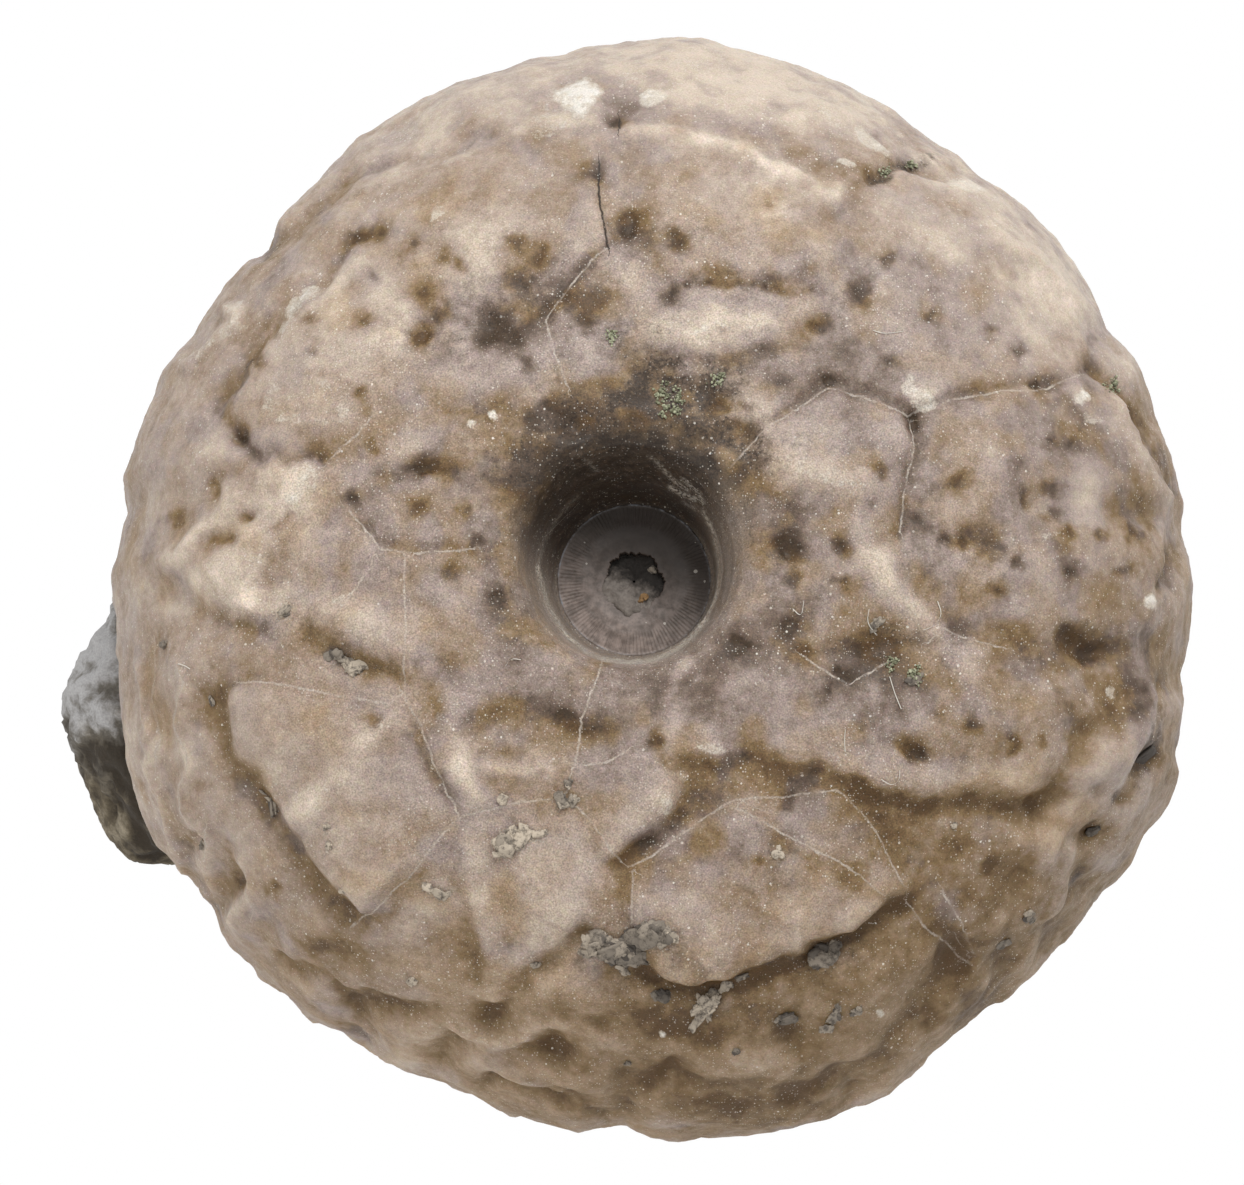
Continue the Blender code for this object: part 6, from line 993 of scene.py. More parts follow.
class CalyxSkin:
    """Forms and marks of the calyx's surface, for the points of its smooth form."""

    def __init__(self, points):
        u, v = plan_of(points)
        self.radius = np.hypot(points[:, 0], points[:, 1])
        self.shown = smooth((points[:, 2] - WIDEST_HEIGHT + 2.5) / 2.5)
        self.outside_pit = smooth((self.radius - RELIEF_FROM) / 1.2)
        warp = sum(reach * push_at(points, wavelength) for reach, wavelength in WARPS)
        pushed = u + warp[:, 0], v + warp[:, 1]
        self.plan, self.pushed = (u, v), pushed
        self.plates, self.foot = plate_relief(*pushed, 1.35 + 0.9 * noise_at(points, 2.4, 2, 40.0))
        self.small_forms = drawn_lines(*pushed, RIDGES) + patches(*pushed, DIMPLES)
        quiver = QUIVER * push_at(points, 0.55, 2, (3.0, 17.0))
        self.sink, self.smudge = pore_relief(*(plan_of(points) + (PORE_WARP * warp + quiver).T))
        self.chips = spots(*pushed, CHIPS, 0.70)
        self.crack, self.crack_side = nearest_line(u, v, CRACKS, FARTHEST)
        suture_place = u + warp[:, 0] * SUTURE_WARP, v + warp[:, 1] * SUTURE_WARP
        self.suture, self.suture_side = nearest_line(*suture_place, SUTURES, FARTHEST)

    def relief(self, points):
        """How far each point is lifted off the smooth form."""
        drawn = self.plates * (0.9 + 0.7 * noise_at(points, 3.5, 1, 9.0)) + self.small_forms
        waves = WAVINESS * noise_at(points, WAVE_LENGTH)
        swells = sum(height * noise_at(points, size, octaves) for height, size, octaves in SWELLS)
        swells += CREASE * (0.25 - np.abs(noise_at(points, 4.2, 1, 63.0)))
        hidden = self.shown < 1
        mouth = np.zeros(len(points))
        mouth[hidden] = mouth_relief(points[hidden])
        fine = CHIP_RISE * self.chips - PORE_SINK * self.sink - CRACK_DEPTH * bell(self.crack, CRACK_WIDTH)
        relief = self.shown * (drawn + fine) + waves + swells + (1 - self.shown) * mouth
        return self.outside_pit * relief

    def brown(self, points, faces, relief, tilt):
        """How brown the hollows, the tilt, the drawn forms and patches and slow mottling make it, partly as
        painted light and shade.
        """
        brown = 0.50 * noise_at(points, 1.9, 4) + 0.22 * noise_at(points, 5.5, 2, 19.0) + 0.10
        # Browner in the hollows: partly ochre lying in them, partly painted shade.
        for rounds, height, amount in HOLLOW_OCHRE_AND_SHADE:
            brown += amount * (blurred(relief, faces, rounds) - relief) / height
        # Painted light and shade: browner where the relief faces down the plan, paler where it faces up.
        brown -= SLOPE_LIGHT_AND_SHADE * blurred(tilt, faces, 3)
        # Drawn patches and bands: partly the stone's own tone, partly painted light and shade.
        drawn = patches(*self.pushed, TONE_AND_SHADE_PATCHES) + drawn_lines(*self.pushed, TONE_AND_SHADE_BANDS)
        # Painted shade at the feet of the plates' falls; painted highlight on ridges and painted shade in
        # grooves and dimples.
        drawn += FOOT_SHADE * self.foot - FORM_LIGHT_AND_SHADE * self.small_forms
        drawn *= 1.0 + 0.9 * noise_at(points, 1.1, 3, 27.0)
        rim = RIM_BROWN * bell(self.radius - RIM_SHADE_RADIUS, 1.2)
        return brown + self.shown * (rim + SMUDGE_BROWN * self.smudge + drawn)

    def values(self, points):
        """What the material takes from each point, beside its brownness."""
        u, v = self.plan
        stain = spots(*self.pushed, STAINS, 1.8) * smooth(0.65 + 0.9 * noise_at(points, 0.8, 4))
        across, along = points[:, :2].T / np.maximum(self.radius, 0.1)
        # 1 toward the top of the plan, where the stem pit's wall gets painted shadow.
        shaded_upper = smooth(0.5 + 0.55 * along - 0.20 * smooth((across - 0.3) / 0.5))
        # The dark wall reaches further out toward the top of the plan: painted shadow.
        pit_edge = 5.0 + 1.1 * shaded_upper + 0.6 * noise_at(points, 0.9, 3, 12.0)
        below_base = BASE_HEIGHT - points[:, 2]
        haze = noise_at(points, 1.7, 3, 50.0) + 0.3 * noise_at(points, 5.0)
        return {
            "dark": self.shown * np.maximum(stain, 0.45 * self.smudge**4),
            "chip": self.shown * self.chips,
            "haze": haze + patches(*self.pushed, HUES),
            "streak": drawn_lines(u, v, STREAKS),
            "dusty": noise_at(points, 3.0, 2, 77.0),
            "suture": self.suture,
            "suture_side": self.suture_side,
            "crack": self.crack,
            "crack_side": self.crack_side,
            "pit": smooth((pit_edge - self.radius) / 1.6) * self.shown,
            "shaded_upper": shaded_upper,
            "radius": self.radius,
            "smoothness": smooth((np.hypot(u + 0.5, v) - 12.0) / 8.0),
            "ledge": np.abs(below_base - LEDGE_DEPTH) + 9.0 * (self.radius > LEDGE_RADIUS),
        }


def make_calyx():
    """The calyx's surface: relief in the mesh, tones as values. Returns the side that shows."""
    form = CalyxForm()
    sphere, faces = refined(*octahedron(), form.place, calyx_edge, unit)
    points = form.place(sphere)
    normals = vertex_normals(points, faces)
    skin = CalyxSkin(points)
    relief = skin.relief(points)
    low, high = (np.array(corner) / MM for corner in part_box("calyx"))
    points = np.clip(points + normals * relief[:, None], low, high)

    new_normals = vertex_normals(points, faces)
    # How far the relief turns each point toward the top of the plan, for painted light and shade.
    tilt = (new_normals - normals) @ [0.0, math.cos(LEAN), math.sin(LEAN)] * skin.outside_pit
    values = {"brown": skin.brown(points, faces, relief, tilt)} | skin.values(points)
    add_piece("calyx_surface", points, faces, calyx_material(), values, "calyx")
    open_side = (skin.shown > 0.5) & (skin.radius > DISC_RADIUS)
    return points[open_side], new_normals[open_side]


class Shading:
    """A material's node tree, with a short way to add and link nodes."""

    def __init__(self, name):
        self.material = bpy.data.materials.new(name)
        self.material.use_nodes = True
        self.nodes = self.material.node_tree.nodes
        self.links = self.material.node_tree.links
        self.shader = self.nodes["Principled BSDF"]
        place = self.nodes.new("ShaderNodeTexCoord").outputs["Object"]
        self.place = self.vector("MULTIPLY", place, (1 / MM, 1 / MM, 1 / MM))

    def put(self, socket, value):
        if isinstance(value, bpy.types.NodeSocket):
            self.links.new(value, socket)
        else:
            socket.default_value = value

    def node(self, kind, inputs, **settings):
        made = self.nodes.new(kind)
        for label, value in settings.items():
            setattr(made, label, value)
        for label, value in inputs.items():
            self.put(made.inputs[label], value)
        return made

    def vector(self, operation, a, b):
        return self.node("ShaderNodeVectorMath", {0: a, 1: b}, operation=operation).outputs[0]

    def math(self, operation, a, b=0.0, c=0.0):
        return self.node("ShaderNodeMath", {0: a, 1: b, 2: c}, operation=operation).outputs[0]

    def plus(self, a, b):
        return self.math("ADD", a, b)

    def times(self, a, b):
        return self.math("MULTIPLY", a, b)

    def scaled(self, value, factor, offset):
        """The value times a factor, plus an offset."""
        return self.math("MULTIPLY_ADD", value, factor, offset)

    def ramp(self, value, low, high):
        """0 at low, 1 at high, smooth between. Low may be the larger."""
        inputs = {"Value": value, "From Min": low, "From Max": high}
        return self.node("ShaderNodeMapRange", inputs, interpolation_type="SMOOTHSTEP").outputs[0]

    def noise(self, wavelength, detail=2.0, roughness=0.5):
        inputs = {"Vector": self.place, "Scale": 1 / wavelength, "Detail": detail, "Roughness": roughness}
        return self.node("ShaderNodeTexNoise", inputs).outputs["Fac"]

    def specks(self, spacing, radius, share):
        """Round specks, in that share of the cells of a scatter."""
        cells = self.node("ShaderNodeTexVoronoi", {"Vector": self.place, "Scale": 1 / spacing})
        split = self.node("ShaderNodeSeparateColor", {"Color": cells.outputs["Color"]})
        size = self.times(split.outputs["Green"], radius / spacing)
        near = self.math("LESS_THAN", cells.outputs["Distance"], size)
        chosen = self.math("LESS_THAN", split.outputs["Red"], share)
        return self.times(near, chosen)

    def value(self, name):
        """A value that the mesh carries on its vertices."""
        return self.node("ShaderNodeAttribute", {}, attribute_name=name).outputs["Fac"]

    def mix(self, share, a, b):
        made = self.nodes.new("ShaderNodeMix")
        made.data_type = "RGBA"
        for label, value in {"Factor": share, "A": a, "B": b}.items():
            fitting = (socket for socket in made.inputs if socket.name == label and socket.enabled)
            self.put(next(fitting), value)
        return next(socket for socket in made.outputs if socket.enabled)

    def coat(self, under, share, over, strength=1.0):
        """A colour with another laid over it, by the share times the strength."""
        if strength != 1.0:
            share = self.times(share, strength)
        return self.mix(share, under, over)

    def shaded(self, colour, shade):
        """The colour darkened or lightened by one number."""
        grey = self.node("ShaderNodeCombineXYZ", {axis: shade for axis in "XYZ"}).outputs[0]
        return self.vector("MULTIPLY", colour, grey)

    def tones(self, value, stops):
        """Colours between stops of (value, colour)."""
        low, high = stops[0][0], stops[-1][0]
        share = self.node("ShaderNodeMapRange", {"Value": value, "From Min": low, "From Max": high})
        made = self.node("ShaderNodeValToRGB", {"Fac": share.outputs[0]})
        for at, (place, colour) in enumerate(stops):
            spot = (place - low) / (high - low)
            stop = made.color_ramp.elements[at] if at < 2 else made.color_ramp.elements.new(spot)
            stop.position = spot
            stop.color = colour
        return made.outputs["Color"]

    def line(self, name, wander, inner, outer):
        """1 on a drawn line, from its distance and its distance with a side."""
        offset = self.math("ABSOLUTE", self.plus(self.value(name + "_side"), wander))
        near = self.ramp(self.value(name), 0.50, 0.35)
        return self.times(self.ramp(offset, outer, inner), near)

    def bump(self, height, strength, distance):
        inputs = {"Height": height, "Strength": strength, "Distance": distance * MM}
        return self.node("ShaderNodeBump", inputs).outputs["Normal"]

    def finish(self, **inputs):
        for label, value in inputs.items():
            self.put(self.shader.inputs[label.replace("_", " ")], value)
        return self.material


# Colours of the calyx.
IVORY = (0.58, 0.50, 0.42, 1.0)
CREAM = (0.430, 0.366, 0.294, 1.0)
PALE = (0.322, 0.258, 0.207, 1.0)
TAN = (0.246, 0.184, 0.132, 1.0)
OCHRE = (0.172, 0.114, 0.055, 1.0)
BROWN = (0.086, 0.049, 0.019, 1.0)
LAVENDER = (0.276, 0.228, 0.208, 1.0)
MAUVE = (0.128, 0.098, 0.085, 1.0)
STRAW = (0.430, 0.346, 0.256, 1.0)
AMBER = (0.262, 0.184, 0.107, 1.0)
DARK = (0.032, 0.021, 0.014, 1.0)
STAIN = (0.082, 0.057, 0.040, 1.0)
WHITE = (0.62, 0.59, 0.54, 1.0)
CHIP_PALE = (0.50, 0.455, 0.385, 1.0)
SUTURE_PALE = (0.38, 0.33, 0.28, 1.0)
DUST = (0.58, 0.54, 0.48, 1.0)
# The stem pit's wall: grey on its lit side, brown mottling, and painted shadow at the top of the plan.
PIT_GREY = (0.185, 0.148, 0.120, 1.0)
PIT_BROWN = (0.110, 0.078, 0.054, 1.0)
PIT_SHADOW = (0.024, 0.016, 0.011, 1.0)
PINKER = (1.035, 0.966, 1.030, 1.0)  # shares of each colour that a tint leaves
YELLOWER = (0.985, 1.012, 0.950, 1.0)

# Tones by brownness, plain and for patches that are greyer or yellower.
TONES = ((-2.4, IVORY), (-1.3, CREAM), (-0.45, PALE), (0.15, TAN), (0.75, OCHRE), (1.6, BROWN))
GREY_TONES = ((-1.3, CREAM), (0.0, LAVENDER), (0.8, MAUVE), (1.8, DARK))
AMBER_TONES = ((-1.3, STRAW), (0.0, AMBER), (0.8, OCHRE), (1.8, BROWN))

# Colours of the other pieces.
DISC_BROWN = (0.118, 0.090, 0.074, 1.0)
DISC_GREY = (0.265, 0.207, 0.178, 1.0)
TOOTH_GREY = (0.18, 0.157, 0.148, 1.0)
LIP_GREY = (0.22, 0.23, 0.25, 1.0)
CRUMB_SHADE = (0.060, 0.048, 0.038, 1.0)
CRUMB_DARK = (0.070, 0.059, 0.050, 1.0)
CRUMB_PALE = (0.44, 0.375, 0.295, 1.0)
CRUMB_ORANGE = (0.27, 0.16, 0.07, 1.0)
LICHEN_DARK = (0.10, 0.10, 0.055, 1.0)
LICHEN_PALE = (0.36, 0.37, 0.25, 1.0)
LINT_WHITE = (0.55, 0.52, 0.46, 1.0)
EARTHY = (0.90, 0.79, 0.58)  # share of each colour that soil leaves on the limestone

# Tones of rough stone, from its hollows in painted shade to its high grains in painted highlight.
PLUG_TONES = (
    (0.22, (0.022, 0.018, 0.015, 1.0)), (0.50, (0.090, 0.076, 0.065, 1.0)), (0.80, (0.21, 0.183, 0.160, 1.0)),
)
LIMESTONE_TONES = (
    (0.22, (0.030, 0.023, 0.015, 1.0)), (0.50, (0.115, 0.104, 0.088, 1.0)), (0.80, (0.34, 0.335, 0.335, 1.0)),
)


def pit_wall(tree, quick, broken):
    """The stem pit's wall: painted shadow at the top of the plan, faint rings, a pale ledge and streaks."""
    lit = tree.ramp(tree.value("shaded_upper"), 1.0, 0.0)
    # Painted shadow: the wall darkens toward the top of the plan.
    wall = tree.mix(tree.ramp(tree.value("shaded_upper"), 0.30, 0.90), PIT_GREY, PIT_SHADOW)
    wall = tree.coat(wall, tree.ramp(quick, 0.50, 0.72), PIT_BROWN, 0.55)
    # The rings and the pale ledge show on the lit side and fade into the painted shadow.
    rings = tree.math("SINE", tree.scaled(broken, 6.0, tree.times(tree.value("radius"), 22.0)))
    wall = tree.coat(wall, tree.times(tree.ramp(rings, 0.3, 1.0), tree.scaled(lit, 0.12, 0.02)), SUTURE_PALE)
    ledge = tree.times(tree.ramp(tree.value("ledge"), 0.13, 0.02), tree.ramp(quick, 0.25, 0.55))
    wall = tree.coat(wall, tree.times(ledge, tree.scaled(lit, 0.55, 0.03)), SUTURE_PALE)
    streak = tree.times(tree.value("streak"), tree.ramp(tree.noise(0.13, 2.0, 0.7), 0.40, 0.60))
    return tree.coat(wall, streak, CHIP_PALE)


def calyx_ground(tree, broken):
    """The mottled tones of the calcite by brownness, greyer or yellower by haze."""
    brown = tree.value("brown")
    haze = tree.scaled(broken, 0.9, tree.value("haze"))
    colour = tree.tones(tree.scaled(broken, 1.9, brown), TONES)
    greyed = tree.tones(tree.scaled(broken, 1.4, brown), GREY_TONES)
    colour = tree.coat(colour, tree.ramp(haze, 0.0, 0.60), greyed, 0.75)
    yellowed = tree.tones(tree.scaled(broken, 1.9, brown), AMBER_TONES)
    colour = tree.coat(colour, tree.ramp(haze, -0.10, -0.80), yellowed, 0.75)
    tint = tree.ramp(tree.noise(0.24, 4.0, 0.75), 0.28, 0.72)
    return tree.vector("MULTIPLY", colour, tree.mix(tint, PINKER, YELLOWER))


def calyx_marks(tree, colour, quick, broken, grain):
    """The colour with stains, sutures, cracks and chips on it."""
    dark = tree.value("dark")
    colour = tree.coat(colour, tree.ramp(tree.scaled(broken, 0.9, dark), 0.10, 0.95), STAIN, 0.75)
    fine_dark = tree.plus(tree.scaled(tree.noise(0.17, 2.0, 0.7), 2.6, -1.62), dark)
    colour = tree.coat(colour, tree.ramp(fine_dark, 0.20, 0.95), DARK, 0.85)
    suture = tree.line("suture", tree.times(broken, 0.25), 0.015, 0.06)
    suture = tree.times(suture, tree.ramp(tree.value("haze"), -1.2, 0.0))
    colour = tree.coat(colour, tree.times(suture, tree.ramp(quick, 0.25, 0.66)), SUTURE_PALE, 0.95)
    colour = tree.coat(colour, tree.line("crack", tree.times(broken, 0.2), 0.015, 0.07), DARK)
    speckled = tree.scaled(broken, 1.5, tree.scaled(grain, 0.2, -0.10))
    chip = tree.plus(speckled, tree.value("chip"))
    colour = tree.coat(colour, tree.ramp(chip, 0.36, 0.80), CHIP_PALE, 0.65)
    return tree.coat(colour, tree.ramp(chip, 0.80, 1.20), WHITE, 0.80)


def calyx_material():
    """Weathered calcite: its ground and marks, then the stem pit, dust and grain."""
    tree = Shading("weathered_calcite")
    quick, grain = tree.noise(0.40, 3.0, 0.65), tree.noise(0.07, 1.0)
    broken = tree.plus(quick, -0.5)
    colour = calyx_marks(tree, calyx_ground(tree, broken), quick, broken, grain)
    colour = tree.coat(colour, tree.value("pit"), pit_wall(tree, quick, broken), 0.92)
    dusty = tree.scaled(tree.ramp(tree.value("dusty"), -0.45, 0.45), 0.6, 0.3)
    fine_dust = tree.times(tree.specks(0.10, 0.036, 0.6), 0.60)
    dust = tree.math("MAXIMUM", fine_dust, tree.specks(0.30, 0.055, 0.35))
    colour = tree.coat(colour, tree.times(dust, dusty), DUST)
    coarse = tree.scaled(tree.value("smoothness"), -0.7, 1.35)
    colour = tree.shaded(colour, tree.scaled(tree.plus(grain, -0.5), coarse, 1.0))
    normal = tree.bump(tree.scaled(grain, 0.35, quick), 0.5, 0.07)
    return tree.finish(
        Base_Color=colour, Roughness=tree.scaled(quick, 0.30, 0.38), Normal=normal, Subsurface_Weight=0.35,
        Subsurface_Radius=(1.0, 0.6, 0.35), Subsurface_Scale=0.5 * MM, Specular_IOR_Level=0.25,
    )


def disc_material():
    """The stem disc: greyer on its teeth and lip, painted shadow up the plan, and a few specks."""
    tree = Shading("stem_disc_calcite")
    quick = tree.noise(0.35, 4.0, 0.65)
    colour = tree.mix(tree.ramp(quick, 0.32, 0.68), DISC_BROWN, DISC_GREY)
    tooth = tree.times(tree.ramp(tree.value("tooth"), 0.0, 1.0), tree.ramp(quick, 0.3, 0.7))
    colour = tree.coat(colour, tooth, TOOTH_GREY, 0.25)
    # Painted shadow of the pit's wall over the disc, toward the top right of the plan.
    colour = tree.coat(colour, tree.ramp(tree.value("shade"), -0.9, 0.6), PIT_SHADOW, 0.93)
    from_lip = tree.math("ABSOLUTE", tree.plus(tree.value("radius"), -DISC_LIP))
    lip = tree.times(tree.ramp(from_lip, 0.06, 0.01), tree.ramp(quick, 0.40, 0.75))
    colour = tree.coat(colour, lip, LIP_GREY)
    colour = tree.coat(colour, tree.specks(0.4, 0.09, 0.3), DUST, 0.6)
    return tree.finish(Base_Color=colour, Roughness=0.55, Normal=tree.bump(quick, 0.4, 0.05))


def rock(name, tones, size, soiled=False):
    """Rough stone, dark in its hollows and pale on its high grains: painted shade and highlight."""
    tree = Shading(name)
    broad, quick = tree.noise(4.0 * size, 3.0, 0.6), tree.noise(0.55 * size, 4.0, 0.6)
    tone = tree.scaled(tree.value("hollow_shade"), -0.22, tree.plus(quick, tree.value("paleness")))
    colour = tree.tones(tree.scaled(broad, 0.5, tree.plus(tone, -0.25)), tones)
    if soiled:
        colour = tree.coat(colour, tree.value("soil"), tree.vector("MULTIPLY", colour, EARTHY))
    colour = tree.shaded(colour, tree.scaled(tree.noise(0.09, 1.0), 0.6, 0.7))
    return tree.finish(Base_Color=colour, Roughness=0.85, Normal=tree.bump(quick, 0.8, 0.16 * size))


def crumb_material():
    """Dry sediment, by paleness. A paleness under 0 is an orange grain."""
    tree = Shading("sediment_crumbs")
    quick, paleness = tree.noise(0.25, 4.0, 0.7), tree.value("paleness")
    colour = tree.mix(paleness, CRUMB_DARK, CRUMB_PALE)
    colour = tree.coat(colour, tree.ramp(quick, 0.54, 0.34), CRUMB_SHADE, 0.8)
    colour = tree.coat(colour, tree.ramp(paleness, -0.3, -0.8), CRUMB_ORANGE)
    return tree.finish(Base_Color=colour, Roughness=0.9, Normal=tree.bump(quick, 0.7, 0.08))


def lichen_material():
    tree = Shading("lichen")
    return tree.finish(Base_Color=tree.mix(tree.value("tint"), LICHEN_DARK, LICHEN_PALE), Roughness=0.9)


def lint_material():
    return Shading("lint").finish(Base_Color=LINT_WHITE, Roughness=0.7)


def canal_edge(bearing):
    """Radius of the five-lobed canal's wall at each bearing."""
    lobe = np.abs(np.cos(2.5 * (bearing - CANAL_TURN)))
    around = round_axis(1.0, bearing, 0 * bearing)
    rough = 0.16 * noise_at(around, 0.5, 4) + 0.08 * noise_at(around, 0.14, 3, 4.0)
    return CANAL_RADIUS * (0.92 + 0.22 * lobe**0.7 + rough)


def sediment_level(x, y):
    """How near the canal's sediment comes to its rim: 1 at the lower left, 0 at the top."""
    return smooth(0.5 - 0.55 * y - 0.25 * x)


def make_disc():
    """The last disc of the stem, with its fine radial teeth round a five-lobed canal."""
    low, high = (np.array(corner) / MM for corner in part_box("stem_disc"))
    bearing = np.linspace(0.0, 2 * math.pi, DISC_BEARINGS, endpoint=False)
    share = np.concatenate([[0.0, 0.0], np.linspace(0.01, 0.985, DISC_RINGS), [1.0, 1.0]])
    drop = np.concatenate([[DISC_THICKNESS, 0.32], np.full(DISC_RINGS, DISC_TOP), [0.16, DISC_THICKNESS]])
    inner = canal_edge(bearing)
    radius = inner + share[:, None] * (DISC_RADIUS - inner)
    depth = np.repeat(drop[:, None], DISC_BEARINGS, axis=1)
    depth[1] -= 0.09 * sediment_level(radius[1] * np.cos(bearing), radius[1] * np.sin(bearing))
    wander = noise_at(round_axis(1.0, bearing, 0 * bearing), 0.35)
    teeth = np.cos(TEETH * bearing + 1.5 * wander) * (0.7 + 0.3 * wander)
    toothed = smooth((radius - TEETH_FROM) / 0.3) * smooth((TEETH_TO - radius) / 0.06)
    depth[2:-1] += (0.12 * smooth((1.9 - radius) / 0.8) - TOOTH_DEPTH * teeth * toothed)[2:-1]
    depth[2:-1] -= 0.05 * bell(radius - DISC_LIP, 0.03)[2:-1]
    points = round_axis(radius, bearing, high[2] - depth).reshape(-1, 3)
    points[:, 2] += 0.03 * noise_at(points, 0.7, 3) * (points[:, 2] > low[2] + 0.1) - 0.02
    values = {
        "tooth": (teeth * toothed).ravel(),
        "radius": radius.ravel(),
        # painted shadow, strongest toward the top right of the plan
        "shade": (0.9 * points[:, 1] + 0.40 * points[:, 0]) / DISC_RADIUS,
    }
    faces = ring_faces(len(share), DISC_BEARINGS)
    add_piece("stem_disc_teeth", points, faces, disc_material(), values, "stem_disc")


def make_plug():
    """Sediment that fills the canal to just below the disc, rough on top. Returns that top."""
    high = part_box("stem_disc")[1][2] / MM
    bearing = np.linspace(0.0, 2 * math.pi, PLUG_BEARINGS, endpoint=False)
    share = np.concatenate([[0.0, 1.02], np.linspace(1.0, 0.04, PLUG_RINGS)])
    edge = canal_edge(bearing)
    spill = 0.42 * sediment_level(edge * np.cos(bearing), edge * np.sin(bearing)) ** 2
    radius = share[:, None] * (edge + spill)
    depth = np.concatenate([[PLUG_FLOOR, PLUG_FLOOR], np.full(PLUG_RINGS, PLUG_DEPTH)])
    points = round_axis(radius, bearing, high - depth[:, None] + 0 * radius).reshape(-1, 3)
    top = points[:, 2] > high - 0.9
    rough = 0.14 * noise_at(points, 0.7, 3) + 0.10 * noise_at(points, 0.3, 3, 5.0)
    level = sediment_level(*points[:, :2].T)
    rim = np.repeat(smooth((share - 0.75) / 0.25), PLUG_BEARINGS)
    rough += 0.50 * level - 0.27 - 0.30 * rim * level
    points[:, 2] += rough * top
    # Darker where the sediment lies deep in the canal, toward the top right, and in its dents: painted
    # shadow.
    values = {"hollow_shade": 1.0 - 2.0 * rough, "paleness": 0.65 * level - 0.20}
    faces = ring_faces(len(share), PLUG_BEARINGS)[:-PLUG_BEARINGS]
    made_of = rock("canal_sediment", PLUG_TONES, 0.5)
    add_piece("canal_sediment", points, faces, made_of, values, "canal_plug")
    return points[top], np.tile([0.0, 0.0, 1.0], (top.sum(), 1))


def ring_faces(rings, around):
    """Quads between closed rings of points, the last ring joined to the first."""
    start = np.arange(rings * around).reshape(rings, around)
    beside, after = np.roll(start, -1, axis=1), np.roll(start, -1, axis=0)
    across = np.roll(after, -1, axis=1)
    return np.stack([start, after, across, beside], axis=-1).reshape(-1, 4)


def frame_mesh(label):
    """Points in millimetres and triangles of one of the frame's own pieces, joined at its seams."""
    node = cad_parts[label]
    node.data.calc_loop_triangles()
    points = np.array([node.matrix_world @ vertex.co for vertex in node.data.vertices]) / MM
    faces = np.array([triangle.vertices for triangle in node.data.loop_triangles])
    _, first, index = np.unique(points.round(3), axis=0, return_index=True, return_inverse=True)
    faces = index.reshape(-1)[faces]
    whole = (faces[:, 0] != faces[:, 1]) & (faces[:, 1] != faces[:, 2]) & (faces[:, 2] != faces[:, 0])
    return points[first], faces[whole]


def same(points):
    """What refined() takes for a mesh that needs no placing or settling."""
    return points


def make_rough(label, edge, rounds, lumps, made_of):
    """One of the frame's own pieces again, rounded off and roughened without leaving its box."""
    low, high = (np.array(corner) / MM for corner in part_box(label))
    points, faces = refined(*frame_mesh(label), same, lambda at: np.full(len(at), edge), same)
    flat = blurred((points[:, 2] < low[2] + 0.02).astype(float), faces, 2)
    points = np.column_stack([blurred(column, faces, rounds) for column in points.T])
    normals = vertex_normals(points, faces)
    u, v = plan_of(points)
    left = smooth((-17.5 - u) / 2.0)
    points[:, 0] += 0.20 * smooth((-7.5 - v) / 3.0) * left
    points[:, 1] += 0.65 * smooth((-9.8 - v) / 1.5) * smooth((u + 21.5) / 2.0) * left
    relief = sum(height * noise_at(points, size, 4, shift) for height, size, shift in lumps)
    points += normals * (relief * (1 - flat))[:, None]
    soil = smooth((-5.5 - v) / 2.5 + 0.8 * noise_at(points, 1.6, 3)) * smooth((-16.0 - u) / 3.0)
    values = {
        # Darker in the dents and paler on the lumps: painted shade and highlight.
        "hollow_shade": (blurred(relief, faces, 30) - relief) / lumps[-1][0],
        "paleness": patches(*plan_of(points), MATRIX_TONE_AND_SHADE),
        "soil": soil,
    }
    add_piece(label + "_rough", np.clip(points, low, high), faces, made_of, values, label)


def resting_place(surface, u, v):
    """The point of the visible surface nearest to (u, v), with tangents to the right and up."""
    points, normals = surface
    at_u, at_v = plan_of(points)
    nearest = np.argmin((at_u - u) ** 2 + (at_v - v) ** 2)
    out = normals[nearest]
    right = np.cross([0.0, 1.0, 0.0], out)
    right /= np.linalg.norm(right)
    above = np.cross(out, right)
    place = points[nearest] + (u - at_u[nearest]) * right + (v - at_v[nearest]) * above
    return place, np.array([right, above, out])


def turn_about(angle):
    """Turns rows of points about the upright axis."""
    cos, sin = math.cos(angle), math.sin(angle)
    return np.array([[cos, sin, 0.0], [-sin, cos, 0.0], [0.0, 0.0, 1.0]])


def lump(sphere, sizes, turn, seed):
    """An angular grain: half sizes in millimetres, turned about its upright axis."""
    shape = np.sign(sphere) * np.abs(sphere) ** 0.6
    shape = shape * (1.0 + 0.55 * noise_at(sphere, 0.9, 3, seed))[:, None] * sizes
    return shape @ turn_about(turn)


def joined(shapes):
    """Shapes of (points, faces, value) as one mesh with the value on each vertex."""
    starts = np.cumsum([0] + [len(points) for points, _, _ in shapes])
    points = np.concatenate([points for points, _, _ in shapes])
    faces = np.concatenate([faces + start for (_, faces, _), start in zip(shapes, starts)])
    return points, faces, np.concatenate([np.full(len(at), value) for at, _, value in shapes])


